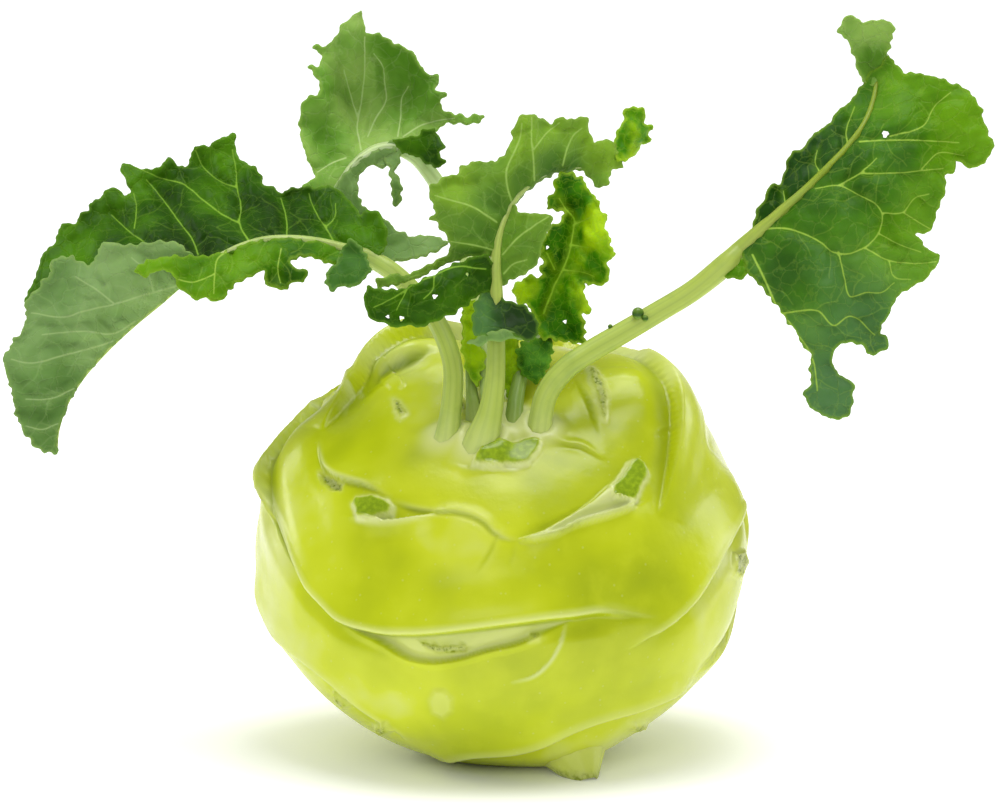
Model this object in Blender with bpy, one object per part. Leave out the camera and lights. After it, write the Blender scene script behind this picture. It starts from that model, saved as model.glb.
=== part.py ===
"""A fresh kohlrabi: the swollen pale green bulb with its leaf bases and cut stalk stubs, lying on a small
flat spot with its crown leaning forward, five leaves on long stalks and the small heart leaves between them.

Metres, +Z up, +X to the right, the crown leaning towards -Y. The origin is the middle of the flat spot.
The points of leaves are given in millimetres as (across, up, back), as seen when looking down at the part
by LOOK_DOWN: across to the right, up at right angles to the line of sight, back away from the eye.
"""

import math
from dataclasses import dataclass

import bmesh
import bpy
import numpy as np
from mathutils import Vector
from mathutils.geometry import delaunay_2d_cdt

MM = 0.001

# The bulb, a flattened ball whose axis leans forward
BULB_RADIUS = 45.0
BULB_HALF_HEIGHT = 34.3
BULB_LEAN = math.radians(26.0)
BULB_CENTRE = np.array([0.0, 9.13, 35.4])
CROWN_DIMPLE = 2.4
CROWN_DIMPLE_WIDTH = 11.0
BULB_DETAIL = 7
BULB_TRIANGLES = 8000
STUB_GAP = 0.3

# A leaf base's lip: how wide its step is, and how far its crease reaches beyond
LIP_WIDTH = 1.3
SCAR_FLANK = 0.3
CREASE_REACH = 5.5

# The low collar round the foot of each stalk
COLLAR_HEIGHT = 1.5
COLLAR_WIDTH = 2.4

# How the pixels that the bulb's front is given in lie: a pixel's size, and the middle and the resting height
PHOTO_MM = 0.1826
PHOTO_MIDDLE = 501.5
PHOTO_FLOOR = 752.0

# How far a point of the bulb may turn from the front, as its normal's part along the line of sight: to be
# met by a pixel, and to be lifted, which fades over TURN_FADE
MOST_TURNED = 0.05
MOST_LIFTED = 0.35
TURN_FADE = 0.3

# The line of sight that the leaves' points are given along
LOOK_DOWN = math.radians(12.0)

# The leaves
BLADE_THICKNESS = 0.7
BLADE_DEPTH = -9.0
INNER_SPACING = 5.0
EDGE_CLEARANCE = 2.1
ROW_SPACING = math.sqrt(3) / 2
MOST_STEEP = 2.4
SLOPE_STEP = 0.2
EASE = 0.02
RIPPLE_ACROSS = 0.55
RIPPLE_UP = 0.35
STEM_SIDES = 8
STEM_STEP = 4.5


@dataclass
class LeafBase:
    """A crescent left round a leaf stalk: a raised band whose upper edge is a lip over a crease."""

    lon: float
    lat: float
    turn: float
    span: float
    sag: float
    lip: float
    groove: float
    band: float


@dataclass
class Swell:
    """A broad, soft bulge of the bulb, or a hollow where its height is negative; the reach is in degrees."""

    lon: float
    lat: float
    reach: float
    height: float


@dataclass
class Lip:
    """An edge on the bulb's front, where a leaf base ends over a crease.

    The line is in pixels of the photograph, right and down, and the crease is on its left-hand side as it goes.
    The lip stands out by height and fades over the band, and the crease goes in by groove and fades over reach.
    """

    line: tuple
    height: float
    groove: float
    band: float
    reach: float = 5.0
    step: float = 1.2
    taper: float = 8.0


@dataclass
class Stub:
    """A cut or torn stalk on the bulb's front: a patch, outlined in pixels of the photograph, that stands out."""

    outline: tuple
    height: float
    upward: float
    flank: float = 1.2


@dataclass
class Scar:
    """A cut or torn stalk on the bulb's sides and back: a flat-topped step out of the bulb."""

    lon: float
    lat: float
    turn: float
    half_length: float
    half_width: float
    height: float
    upward: float


BACK_BASES = (
    LeafBase(lon=-101, lat=26, turn=-4, span=34, sag=2.0, lip=2.2, groove=0.8, band=11),
    LeafBase(lon=-142, lat=52, turn=0, span=24, sag=2.0, lip=3.4, groove=0.8, band=9),
    LeafBase(lon=108, lat=51, turn=0, span=28, sag=2.0, lip=2.6, groove=0.8, band=9),
    LeafBase(lon=172, lat=34, turn=4, span=40, sag=2.0, lip=1.9, groove=0.8, band=9),
    LeafBase(lon=-150, lat=14, turn=-5, span=40, sag=2.0, lip=1.9, groove=0.8, band=9),
    LeafBase(lon=140, lat=8, turn=5, span=40, sag=2.0, lip=1.9, groove=0.8, band=9),
    LeafBase(lon=-110, lat=-14, turn=-4, span=36, sag=2.5, lip=1.6, groove=0.7, band=9),
    LeafBase(lon=-178, lat=-16, turn=3, span=36, sag=2.5, lip=1.6, groove=0.7, band=9),
    LeafBase(lon=98, lat=-18, turn=4, span=34, sag=2.5, lip=1.6, groove=0.7, band=9),
)

SWELLS = (
    Swell(lon=101, lat=50, reach=18, height=5.6),
    Swell(lon=122, lat=58, reach=14, height=2.4),
    Swell(lon=-143, lat=53, reach=13, height=4.4),
    Swell(lon=-98, lat=36, reach=12, height=2.8),
    Swell(lon=-78, lat=-44, reach=21, height=-3.0),
    Swell(lon=84, lat=-16, reach=14, height=-1.2),
)

FRONT_LIPS = (
    Lip(line=((262, 448), (267, 469), (280, 505), (295, 545), (307, 580), (320, 602), (345, 617), (375, 627),
              (410, 629), (450, 627), (500, 623), (545, 616), (580, 612), (600, 611), (628, 612)),
        height=1.7, groove=0.9, band=9.0),
    Lip(line=((368, 634), (381, 642), (402, 651), (423, 660), (439, 662), (461, 657), (482, 651), (501, 642),
              (545, 632), (580, 618)),
        height=-0.7, groove=-0.5, band=3.0, reach=1.6, step=0.8),
    Lip(line=((256, 560), (267, 588), (281, 607), (291, 621), (307, 645), (324, 666), (340, 681), (353, 693),
              (376, 715), (404, 738)),
        height=1.3, groove=0.6, band=7.0),
    Lip(line=((292, 424), (298, 418), (329, 395), (354, 380), (372, 374)), height=1.5, groove=0.7, band=8.0),
    Lip(line=((366, 388), (373, 381), (389, 363), (411, 354), (432, 349)),
        height=2.3, groove=1.4, band=8.0, taper=6.0),
    Lip(line=((347, 416), (350, 398), (359, 372), (367, 350)),
        height=1.1, groove=0.2, band=4.0, reach=3.0, step=1.6),
    Lip(line=((318, 440), (326, 457), (333, 473), (346, 481), (362, 485), (374, 490), (393, 493), (405, 499),
              (422, 506), (439, 509), (451, 509), (470, 511), (479, 514), (491, 526), (500, 535), (520, 541)),
        height=1.0, groove=0.5, band=5.0, reach=7.0),
    Lip(line=((518, 541), (545, 530), (575, 522), (600, 513), (625, 507), (646, 499)),
        height=-1.0, groove=-1.2, band=3.0),
    Lip(line=((628, 640), (637, 636), (655, 625), (671, 611), (690, 590), (706, 565), (720, 540), (731, 514),
              (742, 488)),
        height=1.6, groove=0.9, band=9.0),
    Lip(line=((722, 482), (708, 462), (699, 443), (692, 425), (685, 407), (671, 384), (651, 365), (632, 354),
              (614, 338)),
        height=1.3, groove=0.6, band=10.0, step=1.4),
    Lip(line=((574, 377), (589, 404), (596, 425), (602, 444)), height=0.9, groove=0.4, band=3.0),
    Lip(line=((538, 443), (559, 444), (582, 446), (594, 452)), height=0.5, groove=0.4, band=3.0),
    Lip(line=((480, 743), (513, 742), (538, 735), (570, 723), (602, 713), (633, 703), (644, 700), (665, 695),
              (690, 688)),
        height=1.5, groove=0.9, band=6.0),
)

FRONT_STUBS = (
    Stub(outline=((480, 440), (520, 435), (543, 433), (540, 446), (528, 462), (508, 466), (490, 464), (476, 452)),
         height=1.3, upward=0.6),
    Stub(outline=((612, 490), (611, 480), (622, 462), (635, 456), (648, 463), (649, 470), (640, 492), (630, 500),
                  (618, 497)),
         height=2.4, upward=0.8),
    Stub(outline=((543, 530), (565, 517), (590, 502), (610, 487), (640, 498), (625, 506), (600, 513), (575, 521)),
         height=1.6, upward=0.6),
    Stub(outline=((353, 492), (362, 487), (380, 490), (394, 497), (392, 508), (376, 514), (360, 514), (353, 505)),
         height=1.8, upward=0.5),
    Stub(outline=((590, 366), (600, 372), (608, 395), (607, 420), (599, 414), (592, 392)), height=0.7, upward=0.3),
    Stub(outline=((735, 546), (746, 547), (750, 560), (742, 574), (735, 566)), height=1.0, upward=0.3),
    Stub(outline=((631, 723), (645, 721), (648, 728), (634, 731)), height=1.2, upward=0.0),
    Stub(outline=((372, 726), (384, 723), (389, 731), (377, 735)), height=1.2, upward=0.0),
)

BACK_SCARS = (
    Scar(lon=-122, lat=58, turn=60, half_length=5.0, half_width=1.4, height=1.6, upward=0.5),
    Scar(lon=112, lat=63, turn=70, half_length=4.6, half_width=1.6, height=1.2, upward=0.3),
    Scar(lon=172, lat=33, turn=0, half_length=5.0, half_width=2.2, height=2.6, upward=0.4),
    Scar(lon=-152, lat=12, turn=0, half_length=5.0, half_width=2.2, height=2.2, upward=0.4),
    Scar(lon=142, lat=6, turn=0, half_length=5.0, half_width=2.2, height=2.4, upward=0.4),
)

# The stub that the bulb leans on in front, and what is left of the root
FRONT_STUB_FOOT = np.array([15.4, -21.0, -1.0])
FRONT_STUB_TOP = np.array([12.0, -13.0, 8.0])
FRONT_STUB_RADII = (2.2, 9.6)
ROOT_FOOT = np.array([0.0, 27.5, -3.0])
ROOT_TOP = np.array([0.0, 20.5, 9.0])
ROOT_RADII = (6.6, 9.5)
PEG_UNEVENNESS = 0.06


@dataclass
class Blade:
    """One spread of a leaf: its outline and a few inner points, each as (across, up, back)."""

    outline: tuple
    inner: tuple = ()
    ripple: float = 0.5


@dataclass
class Leaf:
    """A leaf: its stalk and rib as (across, up, back, radius), and its blades, which overlap the rib.

    The blades' depths are counted from BLADE_DEPTH.
    """

    name: str
    stem: tuple
    blades: tuple


def beside(points, across, up):
    """The same points moved a little, so that a second blade overlaps the first along their rib."""
    return tuple((x + across, y + up, back) for x, y, back in points)


RIGHT_RIB = (
    (45, 93, -13), (50, 97.6, -13), (55, 102, -12), (59.5, 106.5, -11), (63, 110.3, -9.5), (65.7, 114, -8),
    (67.4, 118, -5), (68.3, 122, -2),
)
RIGHT_BLADE = Blade(
    outline=(
        (43.5, 91.6, -13), (44.4, 87.3, -14.5), (47.6, 84.2, -16.5), (50, 81, -18), (53, 76.6, -20),
        (55.9, 72.4, -21), (55.6, 69.6, -22), (55.9, 67.2, -22.4), (54.4, 65.7, -22.6), (56.2, 62.6, -22.6),
        (58.6, 61.3, -22.4), (61.2, 60.6, -22), (62.8, 61.4, -22), (63.6, 64.6, -22.2), (63.5, 67.6, -22.4),
        (61.6, 68.4, -22), (59.9, 70.6, -21.4), (59.7, 72.2, -21), (60.6, 73.9, -20.8), (62.6, 74.9, -20.2),
        (65.2, 74.4, -20), (66.4, 72.3, -20), (69.6, 73.2, -19.4), (70.1, 75, -19), (68.7, 76.2, -18.6),
        (68.6, 77.8, -18), (70.2, 80, -17.6), (71.2, 82.8, -17), (73.6, 84.2, -16.4), (76.8, 86.4, -15.4),
        (79.6, 90, -14), (77, 92, -13), (74.8, 94.4, -12), (77.6, 94.6, -12), (79.2, 98.6, -11.5),
        (80.2, 102, -11), (80.6, 105, -10.6), (82, 105.6, -10.4), (82.4, 107.8, -10.2), (84.9, 106.4, -10),
        (87.6, 107.2, -10), (89.4, 110.2, -9.4), (87.9, 113.2, -8.8), (87, 117.6, -8), (84.5, 120.6, -7),
        (80.2, 122.5, -6), (76.6, 123.6, -4.6), (73.2, 123.7, -3), (71.4, 125.4, -1.6), (70.2, 127.6, -1),
        (69.4, 125.4, -1), (67, 123.8, -0.6), (65.8, 121.8, -0.8), (63.2, 118.4, -1.6), (60.8, 116.4, -2.6),
        (60, 114.6, -3), (56.4, 112.5, -4.6), (55, 110.2, -5), (52, 108.7, -6.6), (51.6, 105.6, -7),
        (50.4, 103.4, -8), (48.2, 103, -9), (47.6, 100.4, -10), (46, 98.2, -11), (45.1, 95, -12),
    ),
    inner=RIGHT_RIB + ((65, 95, -18), (60, 84, -22), (75, 112, -12), (72, 103, -14), (54, 90, -17)),
)
RIGHT_FLAP = Blade(
    outline=(
        (69.4, 123.4, -1.4), (70.2, 127, -2), (70.8, 129.4, -3), (71.4, 131.4, -4), (70.2, 133.4, -5),
        (67.6, 133.2, -5.6), (65.4, 132.8, -5), (64.6, 134, -4.6), (62.4, 134.1, -4), (62, 132.6, -3.4),
        (60.9, 131.2, -2.6), (62.6, 129.8, -2), (64.2, 126.6, -1.4), (65.8, 122.2, -1.8), (67.6, 121.2, -2),
    ),
    inner=((67.5, 128, 0.4),),
    ripple=0.3,
)
RIGHT_FRINGE = Blade(
    outline=(
        (38.4, 88.6, -12.8), (39.4, 87.4, -13), (41, 86.4, -14), (42.8, 86, -14.6), (44.4, 87, -14.6),
        (44.6, 89.6, -13.6), (42.6, 90.4, -13),
    ),
    ripple=0.0,
)
RIGHT_LEAF = Leaf(
    name="leaf_right",
    stem=(
        (6.4, 54.6, -21, 2.6), (7.6, 59.5, -24, 2.2), (8.6, 65, -24.5, 2.0), (11, 69.8, -23.8, 1.95),
        (15.2, 73.7, -22.8, 1.9), (21, 77.2, -22, 1.9), (28, 80.8, -21.6, 1.85), (35, 84.6, -21.6, 1.9),
        (40.5, 88.8, -21.8, 2.0), (45, 93, -22, 1.8), (50, 97.6, -22, 1.4), (55, 102, -21, 1.15),
        (59.5, 106.5, -20, 1.0), (63, 110.3, -18.5, 0.85), (65.7, 114, -17, 0.7), (67.4, 118, -14, 0.6),
        (68.3, 122, -11, 0.5),
    ),
    blades=(RIGHT_BLADE, RIGHT_FLAP, RIGHT_FRINGE),
)

LEFT_RIB = (
    (-28.5, 91.5, -5.5), (-33, 92.7, -6), (-38, 93.3, -7), (-43, 93.2, -8), (-47.5, 92, -9), (-52, 89.8, -10),
    (-57, 86.3, -11.6), (-62, 82.2, -12.5), (-67, 78, -13), (-72, 73.2, -13.5), (-76, 68.6, -14),
    (-79, 63.6, -14.5), (-80.6, 58.4, -15), (-80.8, 54.6, -15.5),
)
LEFT_FAR_BLADE = Blade(
    outline=(
        (-22.6, 90.2, -5), (-20.8, 92.4, -4), (-20.6, 95.4, -3), (-22.2, 98.4, -1.5), (-24.2, 98.9, 0),
        (-25.4, 97.8, 1), (-27.4, 100, 4), (-29.2, 102, 6), (-31, 103.2, 8), (-33.4, 103, 9),
        (-36, 103.2, 10), (-38.6, 103, 10.6), (-40, 101.8, 11), (-41.4, 103, 11.6), (-43.4, 103.6, 12),
        (-44.8, 106.8, 14), (-47, 107.4, 14.6), (-48.4, 109, 15), (-48.7, 113, 17), (-51.4, 112.4, 17.6),
        (-53, 110.9, 18), (-56.4, 110.8, 18), (-57.2, 108.2, 17.4), (-57.8, 106.8, 17), (-59.2, 106.8, 17),
        (-60.3, 108.7, 17), (-61.8, 108.2, 16.8), (-62.6, 106.7, 16.4), (-66, 106.6, 16), (-69.4, 107.6, 16.4),
        (-69.8, 106.6, 16), (-68.4, 104, 15), (-67.6, 101.8, 14), (-69, 101.5, 13.6), (-70.3, 103.3, 13.6),
        (-72.2, 102.8, 13), (-73.4, 101.2, 12.6), (-75.2, 100.4, 12), (-75.4, 98.8, 11.6), (-77, 98.8, 11.4),
        (-77.6, 96.6, 11), (-80, 96.6, 10.6), (-81, 95, 10), (-81.4, 93, 9.4), (-83.4, 91, 8),
        (-84.2, 89, 7), (-84.6, 86.6, 5.6), (-86, 84.6, 4.4), (-86.8, 82.6, 3), (-86.2, 78, -1),
        (-86.8, 73, -5), (-86, 67.5, -9), (-84.6, 61, -12), (-82, 55, -14.8),
    ) + LEFT_RIB[::-1],
    inner=((-40, 98, 3), (-52, 100, 6), (-64, 96, 4), (-74, 88, 1)),
)
LEFT_NEAR_BLADE = Blade(
    outline=beside(LEFT_RIB[:5], 0.1, 0.35) + (
        (-52, 90.6, -10.5), (-55.4, 90.2, -14), (-58.6, 90.4, -17), (-61, 90, -19), (-64.4, 89.4, -20),
        (-66.6, 87.6, -20.4), (-65, 86.3, -20.8), (-63.2, 87.2, -20.8), (-61, 87.9, -20.4), (-58.9, 86.6, -20),
        (-58.6, 84.8, -20), (-57, 83.8, -19.4), (-56.1, 82.4, -19), (-53.4, 82.7, -18), (-51, 82, -17),
        (-49.6, 83.8, -15.4), (-48, 85.4, -14), (-44.4, 87.2, -13), (-42.8, 87.9, -12.6), (-43.1, 85, -13.4),
        (-41.8, 85, -13.4), (-39.2, 84.1, -13.4), (-37.6, 85.8, -13), (-35.6, 85.6, -13), (-35, 87.7, -12.4),
        (-37.4, 88.1, -12), (-38.4, 89.2, -11), (-37.2, 90.2, -10), (-34.6, 90.4, -9.6), (-32.8, 89.4, -9.4),
        (-31.4, 89.2, -9), (-30.2, 88.6, -8.6), (-28, 89, -8), (-26.5, 90.6, -6.4),
    ),
    inner=((-52, 87, -15), (-47, 89.6, -10.4)),
)
LEFT_NEAR_LOBE = Blade(
    outline=(
        (-28.8, 92, -6), (-28, 93.4, -6.8), (-26.4, 93.2, -7), (-25, 91.6, -8), (-24.2, 89.6, -9),
        (-23.7, 87.4, -10), (-25.4, 85.8, -11), (-26, 84.9, -11.6), (-29, 84.8, -12), (-31, 84, -12.4),
        (-32, 85.4, -12), (-31.8, 87.6, -11), (-30.2, 88.6, -10), (-29.4, 90.4, -7),
    ),
    ripple=0.3,
)
LEFT_FOLDED_BLADE = Blade(
    outline=beside(LEFT_RIB[6:], 0.25, -0.25) + (
        (-83.9, 55.2, -16.6), (-86.2, 58.2, -17), (-88, 61.6, -17), (-88.2, 65, -17), (-89.2, 66.9, -17),
        (-90, 71.6, -16.6), (-88.4, 75.2, -16.2), (-86.4, 77.2, -16), (-86, 79.8, -15.6), (-86.4, 82, -15.4),
        (-84.2, 84.2, -15), (-83, 86.4, -15), (-81.6, 86.8, -15), (-81.4, 89.4, -15), (-79.6, 90.2, -15),
        (-77.8, 90.5, -15), (-76, 89, -15), (-74.4, 88.6, -15), (-73.6, 89.8, -15), (-73, 92, -15),
        (-71.6, 92.9, -15), (-68, 92.3, -15), (-65.2, 92.7, -15), (-62.2, 93.2, -15), (-58.4, 92.7, -14.6),
        (-55.8, 90.4, -13.6), (-55.2, 88.2, -12),
    ),
    inner=((-75, 82, -18.5), (-84, 72, -19), (-67, 86, -17.5)),
    ripple=0.3,
)
LEFT_LEAF = Leaf(
    name="leaf_left",
    stem=(
        (-10.8, 53.6, -22, 2.7), (-9.8, 58.4, -25, 2.1), (-9, 64, -24.5, 1.8), (-8.8, 70, -22.5, 1.7),
        (-10.3, 75.5, -19.5, 1.7), (-12.6, 79.8, -17, 1.7), (-16, 84, -15, 1.7), (-20, 87.7, -14.2, 1.7),
        (-24.5, 90.3, -14, 1.6), (-28.5, 91.5, -14.5, 1.3), (-33, 92.7, -15, 1.1), (-38, 93.3, -16, 1.0),
        (-43, 93.2, -17, 0.95), (-47.5, 92, -18, 0.9), (-52, 89.8, -19, 0.85), (-57, 86.3, -20.6, 0.8),
        (-62, 82.2, -21.5, 0.75), (-67, 78, -22, 0.7), (-72, 73.2, -22.5, 0.65), (-76, 68.6, -23, 0.6),
        (-79, 63.6, -23.5, 0.55), (-80.6, 58.4, -24, 0.5), (-80.8, 54.6, -24.5, 0.45),
    ),
    blades=(LEFT_FAR_BLADE, LEFT_NEAR_BLADE, LEFT_NEAR_LOBE, LEFT_FOLDED_BLADE),
)

BACK_RIB = (
    (-19, 110.4, 21.5), (-22.4, 110.2, 21), (-25.4, 108.6, 19.5), (-28, 106.2, 17.5), (-30.2, 103.2, 15.5),
    (-31.8, 99.6, 14), (-32.8, 95.6, 13), (-33.2, 91.4, 12.6),
)
BACK_FAN = Blade(
    outline=(
        (-17, 109.4, 21.4), (-16, 111.2, 23), (-14.6, 112.8, 24.6), (-11.6, 114, 25), (-10, 115.2, 25),
        (-7.6, 115.1, 25), (-5.6, 114.8, 25), (-4.2, 115, 25), (-2.9, 116.2, 25), (-3.9, 116.9, 25),
        (-6, 116.2, 25.4), (-8.4, 116.8, 26), (-10.6, 117.3, 26), (-11.3, 118.6, 26), (-10, 120.5, 26),
        (-12.2, 121.2, 26.6), (-11.5, 122.6, 27), (-11.8, 124.2, 27), (-13.8, 124.1, 27), (-15, 126, 27),
        (-16.2, 128.2, 27), (-18, 129, 26.6), (-20, 130, 26), (-22.2, 131.4, 25.4), (-23.6, 131.7, 25),
        (-25, 131.2, 24.4), (-25.3, 133.4, 24), (-25.6, 136.1, 24), (-27.6, 134.6, 24), (-29.6, 132.9, 24),
        (-30.2, 131, 24), (-32.2, 129.1, 24), (-34, 129.6, 24), (-34.8, 129, 24), (-33.2, 127.8, 23.4),
        (-33, 126.4, 23), (-33.6, 125.4, 23), (-35.5, 125.5, 23), (-34.2, 124.2, 22.4), (-33.2, 122.6, 22),
        (-33.2, 121, 21.6), (-33.8, 120, 21), (-35.6, 120, 21), (-36.9, 117.4, 20), (-37.1, 114.6, 19.4),
        (-36.6, 111.4, 18), (-35.8, 109.4, 17.4), (-35.4, 108, 17), (-34.2, 106.8, 17), (-34, 105.4, 16.6),
        (-36.4, 103.4, 16.4), (-38, 99, 15.6), (-37, 94, 14), (-34.8, 90.4, 13),
    ) + BACK_RIB[::-1],
    inner=((-20, 121, 31), (-28, 120, 29), (-32, 111, 22)),
)
BACK_LOWER_BLADE = Blade(
    outline=beside(BACK_RIB, -0.25, 0.25) + (
        (-29, 88, 11.6), (-24, 88, 11), (-19.4, 89.6, 11), (-17, 90, 11), (-14, 90.6, 11.5),
        (-11.2, 92, 11.8), (-9.7, 93.2, 12), (-11, 94, 12.4), (-14, 94.1, 13), (-17, 94.4, 13.6),
        (-19.4, 95.6, 14), (-21.6, 97.4, 14.6), (-23.2, 98.8, 15), (-25, 99.4, 15.6), (-26.2, 101.6, 16.4),
        (-26.5, 104, 17.5), (-25.6, 106, 18.6), (-24, 107.2, 19.8), (-21.6, 106.8, 20.4), (-19.6, 108, 21),
    ),
    inner=((-27, 94, 16),),
    ripple=0.3,
)
BACK_CURL = Blade(
    outline=(
        (-16.4, 109.4, 21.2), (-15.4, 110.8, 20.6), (-13.8, 113.2, 19), (-12.2, 113.2, 18.4), (-11.6, 111.8, 18),
        (-10.2, 110.4, 17.6), (-11.6, 110, 17), (-10.6, 109, 16.6), (-10, 107.2, 16.6), (-11.4, 106.5, 17),
        (-13, 107.2, 18.4), (-14.4, 107.8, 20.6),
    ),
    ripple=0.3,
)
BACK_HANGER = Blade(
    outline=(
        (-20.6, 112.2, 21.2), (-21.6, 108.4, 20.6), (-20.6, 107.4, 19), (-20.2, 104, 18.4), (-20.1, 101, 18),
        (-19.4, 99.3, 18), (-18.6, 100.4, 18), (-18.2, 102.6, 18), (-18.6, 104.4, 18.4), (-19.6, 105.6, 18.8),
        (-19.2, 107, 19), (-18.4, 108.6, 20.6), (-18.2, 110.4, 21.2), (-19, 111.6, 21.4),
    ),
    inner=((-19.6, 110.2, 21.8),),
    ripple=0.0,
)
BACK_LEAF = Leaf(
    name="leaf_back",
    stem=(
        (-1.2, 59, -18, 2.2), (-1.8, 63, -20.4, 1.8), (-2.4, 69, -16.5, 1.6), (-3.2, 76, -10.5, 1.6),
        (-4.8, 84.6, -4, 1.6), (-7.2, 93.6, 3, 1.6), (-10.4, 101.4, 8.5, 1.6), (-13.2, 106, 11, 1.5),
        (-16, 109, 12.2, 1.4), (-19, 110.4, 12.5, 1.3), (-22.4, 110.2, 12, 1.2), (-25.4, 108.6, 10.5, 1.1),
        (-28, 106.2, 8.5, 1.0), (-30.2, 103.2, 6.5, 0.9), (-31.8, 99.6, 5, 0.8), (-32.8, 95.6, 4, 0.7),
        (-33.2, 91.4, 3.6, 0.6),
    ),
    blades=(BACK_FAN, BACK_LOWER_BLADE, BACK_CURL, BACK_HANGER),
)

FRONT_BLADE = Blade(
    outline=(
        (-1.2, 89, -15.4), (-2.5, 91, -16), (-5, 90.4, -17), (-8, 89.6, -18), (-12, 88, -19), (-16, 86, -20),
        (-20, 84.8, -21), (-22.5, 84.5, -21), (-22.6, 86.3, -21), (-20, 86.8, -20.4), (-17, 86.9, -19.6),
        (-13.6, 88.6, -18.8), (-11, 89.9, -18), (-9.6, 90.8, -17.6), (-9.2, 92.4, -17), (-9.6, 93.8, -16.8),
        (-11, 95.2, -17), (-11.4, 96.6, -17), (-13.4, 96.7, -17.2), (-12.2, 97.8, -17), (-11.9, 99, -17),
        (-13.3, 101.8, -17), (-12.8, 103.2, -17), (-10, 104.6, -16.2), (-8, 105.2, -15.4), (-7.2, 106.6, -15),
        (-5, 107.5, -14.4), (-2.8, 107.2, -13), (-1, 107.4, -12.4), (0.8, 108.8, -11.5), (1.8, 110.8, -10.6),
        (2, 113.2, -9.8), (3, 115.4, -9), (4.8, 116.4, -8), (6.4, 115.7, -7), (8.4, 115, -6), (9, 114.2, -5.4),
        (9.6, 115.3, -5), (12, 115.5, -3.6), (15.6, 115.7, -1), (16, 112.8, 0), (16.8, 110.9, 1),
        (19, 111.8, 3), (20.2, 111.6, 3.6), (20.8, 110, 4), (22, 108.6, 4.4), (22.2, 106.6, 4),
        (20.4, 106.2, 3), (19.4, 105, 2), (19.6, 103.7, 1), (17, 102.8, 0), (16.6, 104.2, 0.4), (14.8, 106, 1),
        (11.2, 106, -1.5), (7.8, 104.7, -4.5), (4.6, 102.4, -8), (2, 99.4, -11), (0.4, 96, -13), (-0.6, 92, -14.5),
    ),
    inner=((-8, 97, -20), (2, 108, -13.5), (10, 111, -7), (-5, 102, -18), (-5, 93, -18.5)),
)
FRONT_RIGHT_LOBE = Blade(
    outline=(
        (-1, 86.6, -15.6), (0.4, 84.6, -15), (1.2, 86.2, -15), (3, 86.6, -15.2), (4.6, 87.2, -15.4),
        (6.4, 88.9, -15.6), (7, 91, -16), (7.6, 93.2, -16.4), (8.6, 95, -16.8), (9.4, 96.6, -17),
        (9, 98, -16.6), (7.4, 97.8, -16), (6, 98.3, -15.4), (4.4, 97.9, -14.8), (3.4, 98.2, -14),
        (2.6, 99.4, -12.6), (1.6, 99.4, -11.6), (0.2, 96.5, -13), (-0.8, 92.5, -14.5), (-1.2, 89, -15.2),
    ),
    inner=((4, 92, -17.6),),
    ripple=0.3,
)
FRONT_DARK_LOBE = Blade(
    outline=(
        (-1.4, 84, -16.4), (-1.4, 88.4, -16.4), (-2.6, 90.6, -18), (-5, 90.2, -19), (-8, 89.2, -20),
        (-11.6, 87.2, -21.4), (-15, 85.6, -22.6), (-17.4, 84.4, -23.2), (-20, 84.2, -23.6), (-22.6, 84.2, -24),
        (-24.2, 85, -24.4), (-24.8, 83, -24.6), (-24.6, 80.4, -24.6), (-23.4, 78.6, -24.4), (-21, 78.2, -24),
        (-20, 77.3, -24), (-18.2, 77.7, -23.6), (-17, 78, -23.4), (-15.6, 77.4, -23), (-13, 78, -22.6),
        (-11, 79.2, -22), (-8.4, 80, -21), (-6.4, 81.4, -20), (-5.4, 82.4, -19.4), (-3.6, 83.6, -18),
    ),
    inner=((-14, 82, -24.5), (-7, 86, -21.5)),
)
FRONT_CUP = Blade(
    outline=(
        (-5, 75.8, -19.4), (-5.2, 79, -19.5), (-4.8, 82, -18.6), (-3.8, 83.8, -17.6), (-2.4, 84.4, -16.8),
        (-0.6, 82.8, -17), (1.4, 82.2, -18), (4, 81.4, -19), (5.8, 79.8, -19.6), (6.6, 78, -19.8),
        (6.6, 76.4, -19.8), (5.6, 75.2, -20), (4.6, 75, -20.6), (2.4, 76, -21.4), (0.6, 76.6, -21.4),
        (-3, 75.9, -20.8),
    ),
    inner=((1.5, 79.6, -16.4), (-2.6, 79.6, -17.4)),
    ripple=0.0,
)
FRONT_CUP_RIM = Blade(
    outline=(
        (-6.4, 74.5, -20), (-4, 76, -21), (-1, 76.9, -22.2), (0.8, 77, -22.4), (2.1, 76.4, -22.2),
        (3.4, 76.4, -21.8), (4.9, 74.9, -20.8), (3.6, 75.1, -21.2), (2.2, 75.5, -21.6), (0.6, 75.2, -21.8),
        (-1.4, 74.9, -21.4), (-4, 74.2, -20.6),
    ),
    ripple=0.0,
)
FRONT_FRILL = Blade(
    outline=(
        (20.2, 109.8, 4), (20.4, 111.4, 5), (21.4, 113.4, 6), (22.2, 115, 6.6), (22.4, 117.4, 7),
        (24, 117.8, 7.4), (26, 117.6, 8), (26.2, 116.2, 8.2), (25.6, 114.8, 8.4), (27.8, 114.4, 9),
        (26.8, 112.8, 8.6), (27.2, 111.6, 8.4), (25.4, 111, 7.6), (24.8, 109.6, 7), (22.6, 107.6, 5.4),
        (21.2, 107.8, 4.6),
    ),
    inner=((24, 113, 5),),
)
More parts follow.
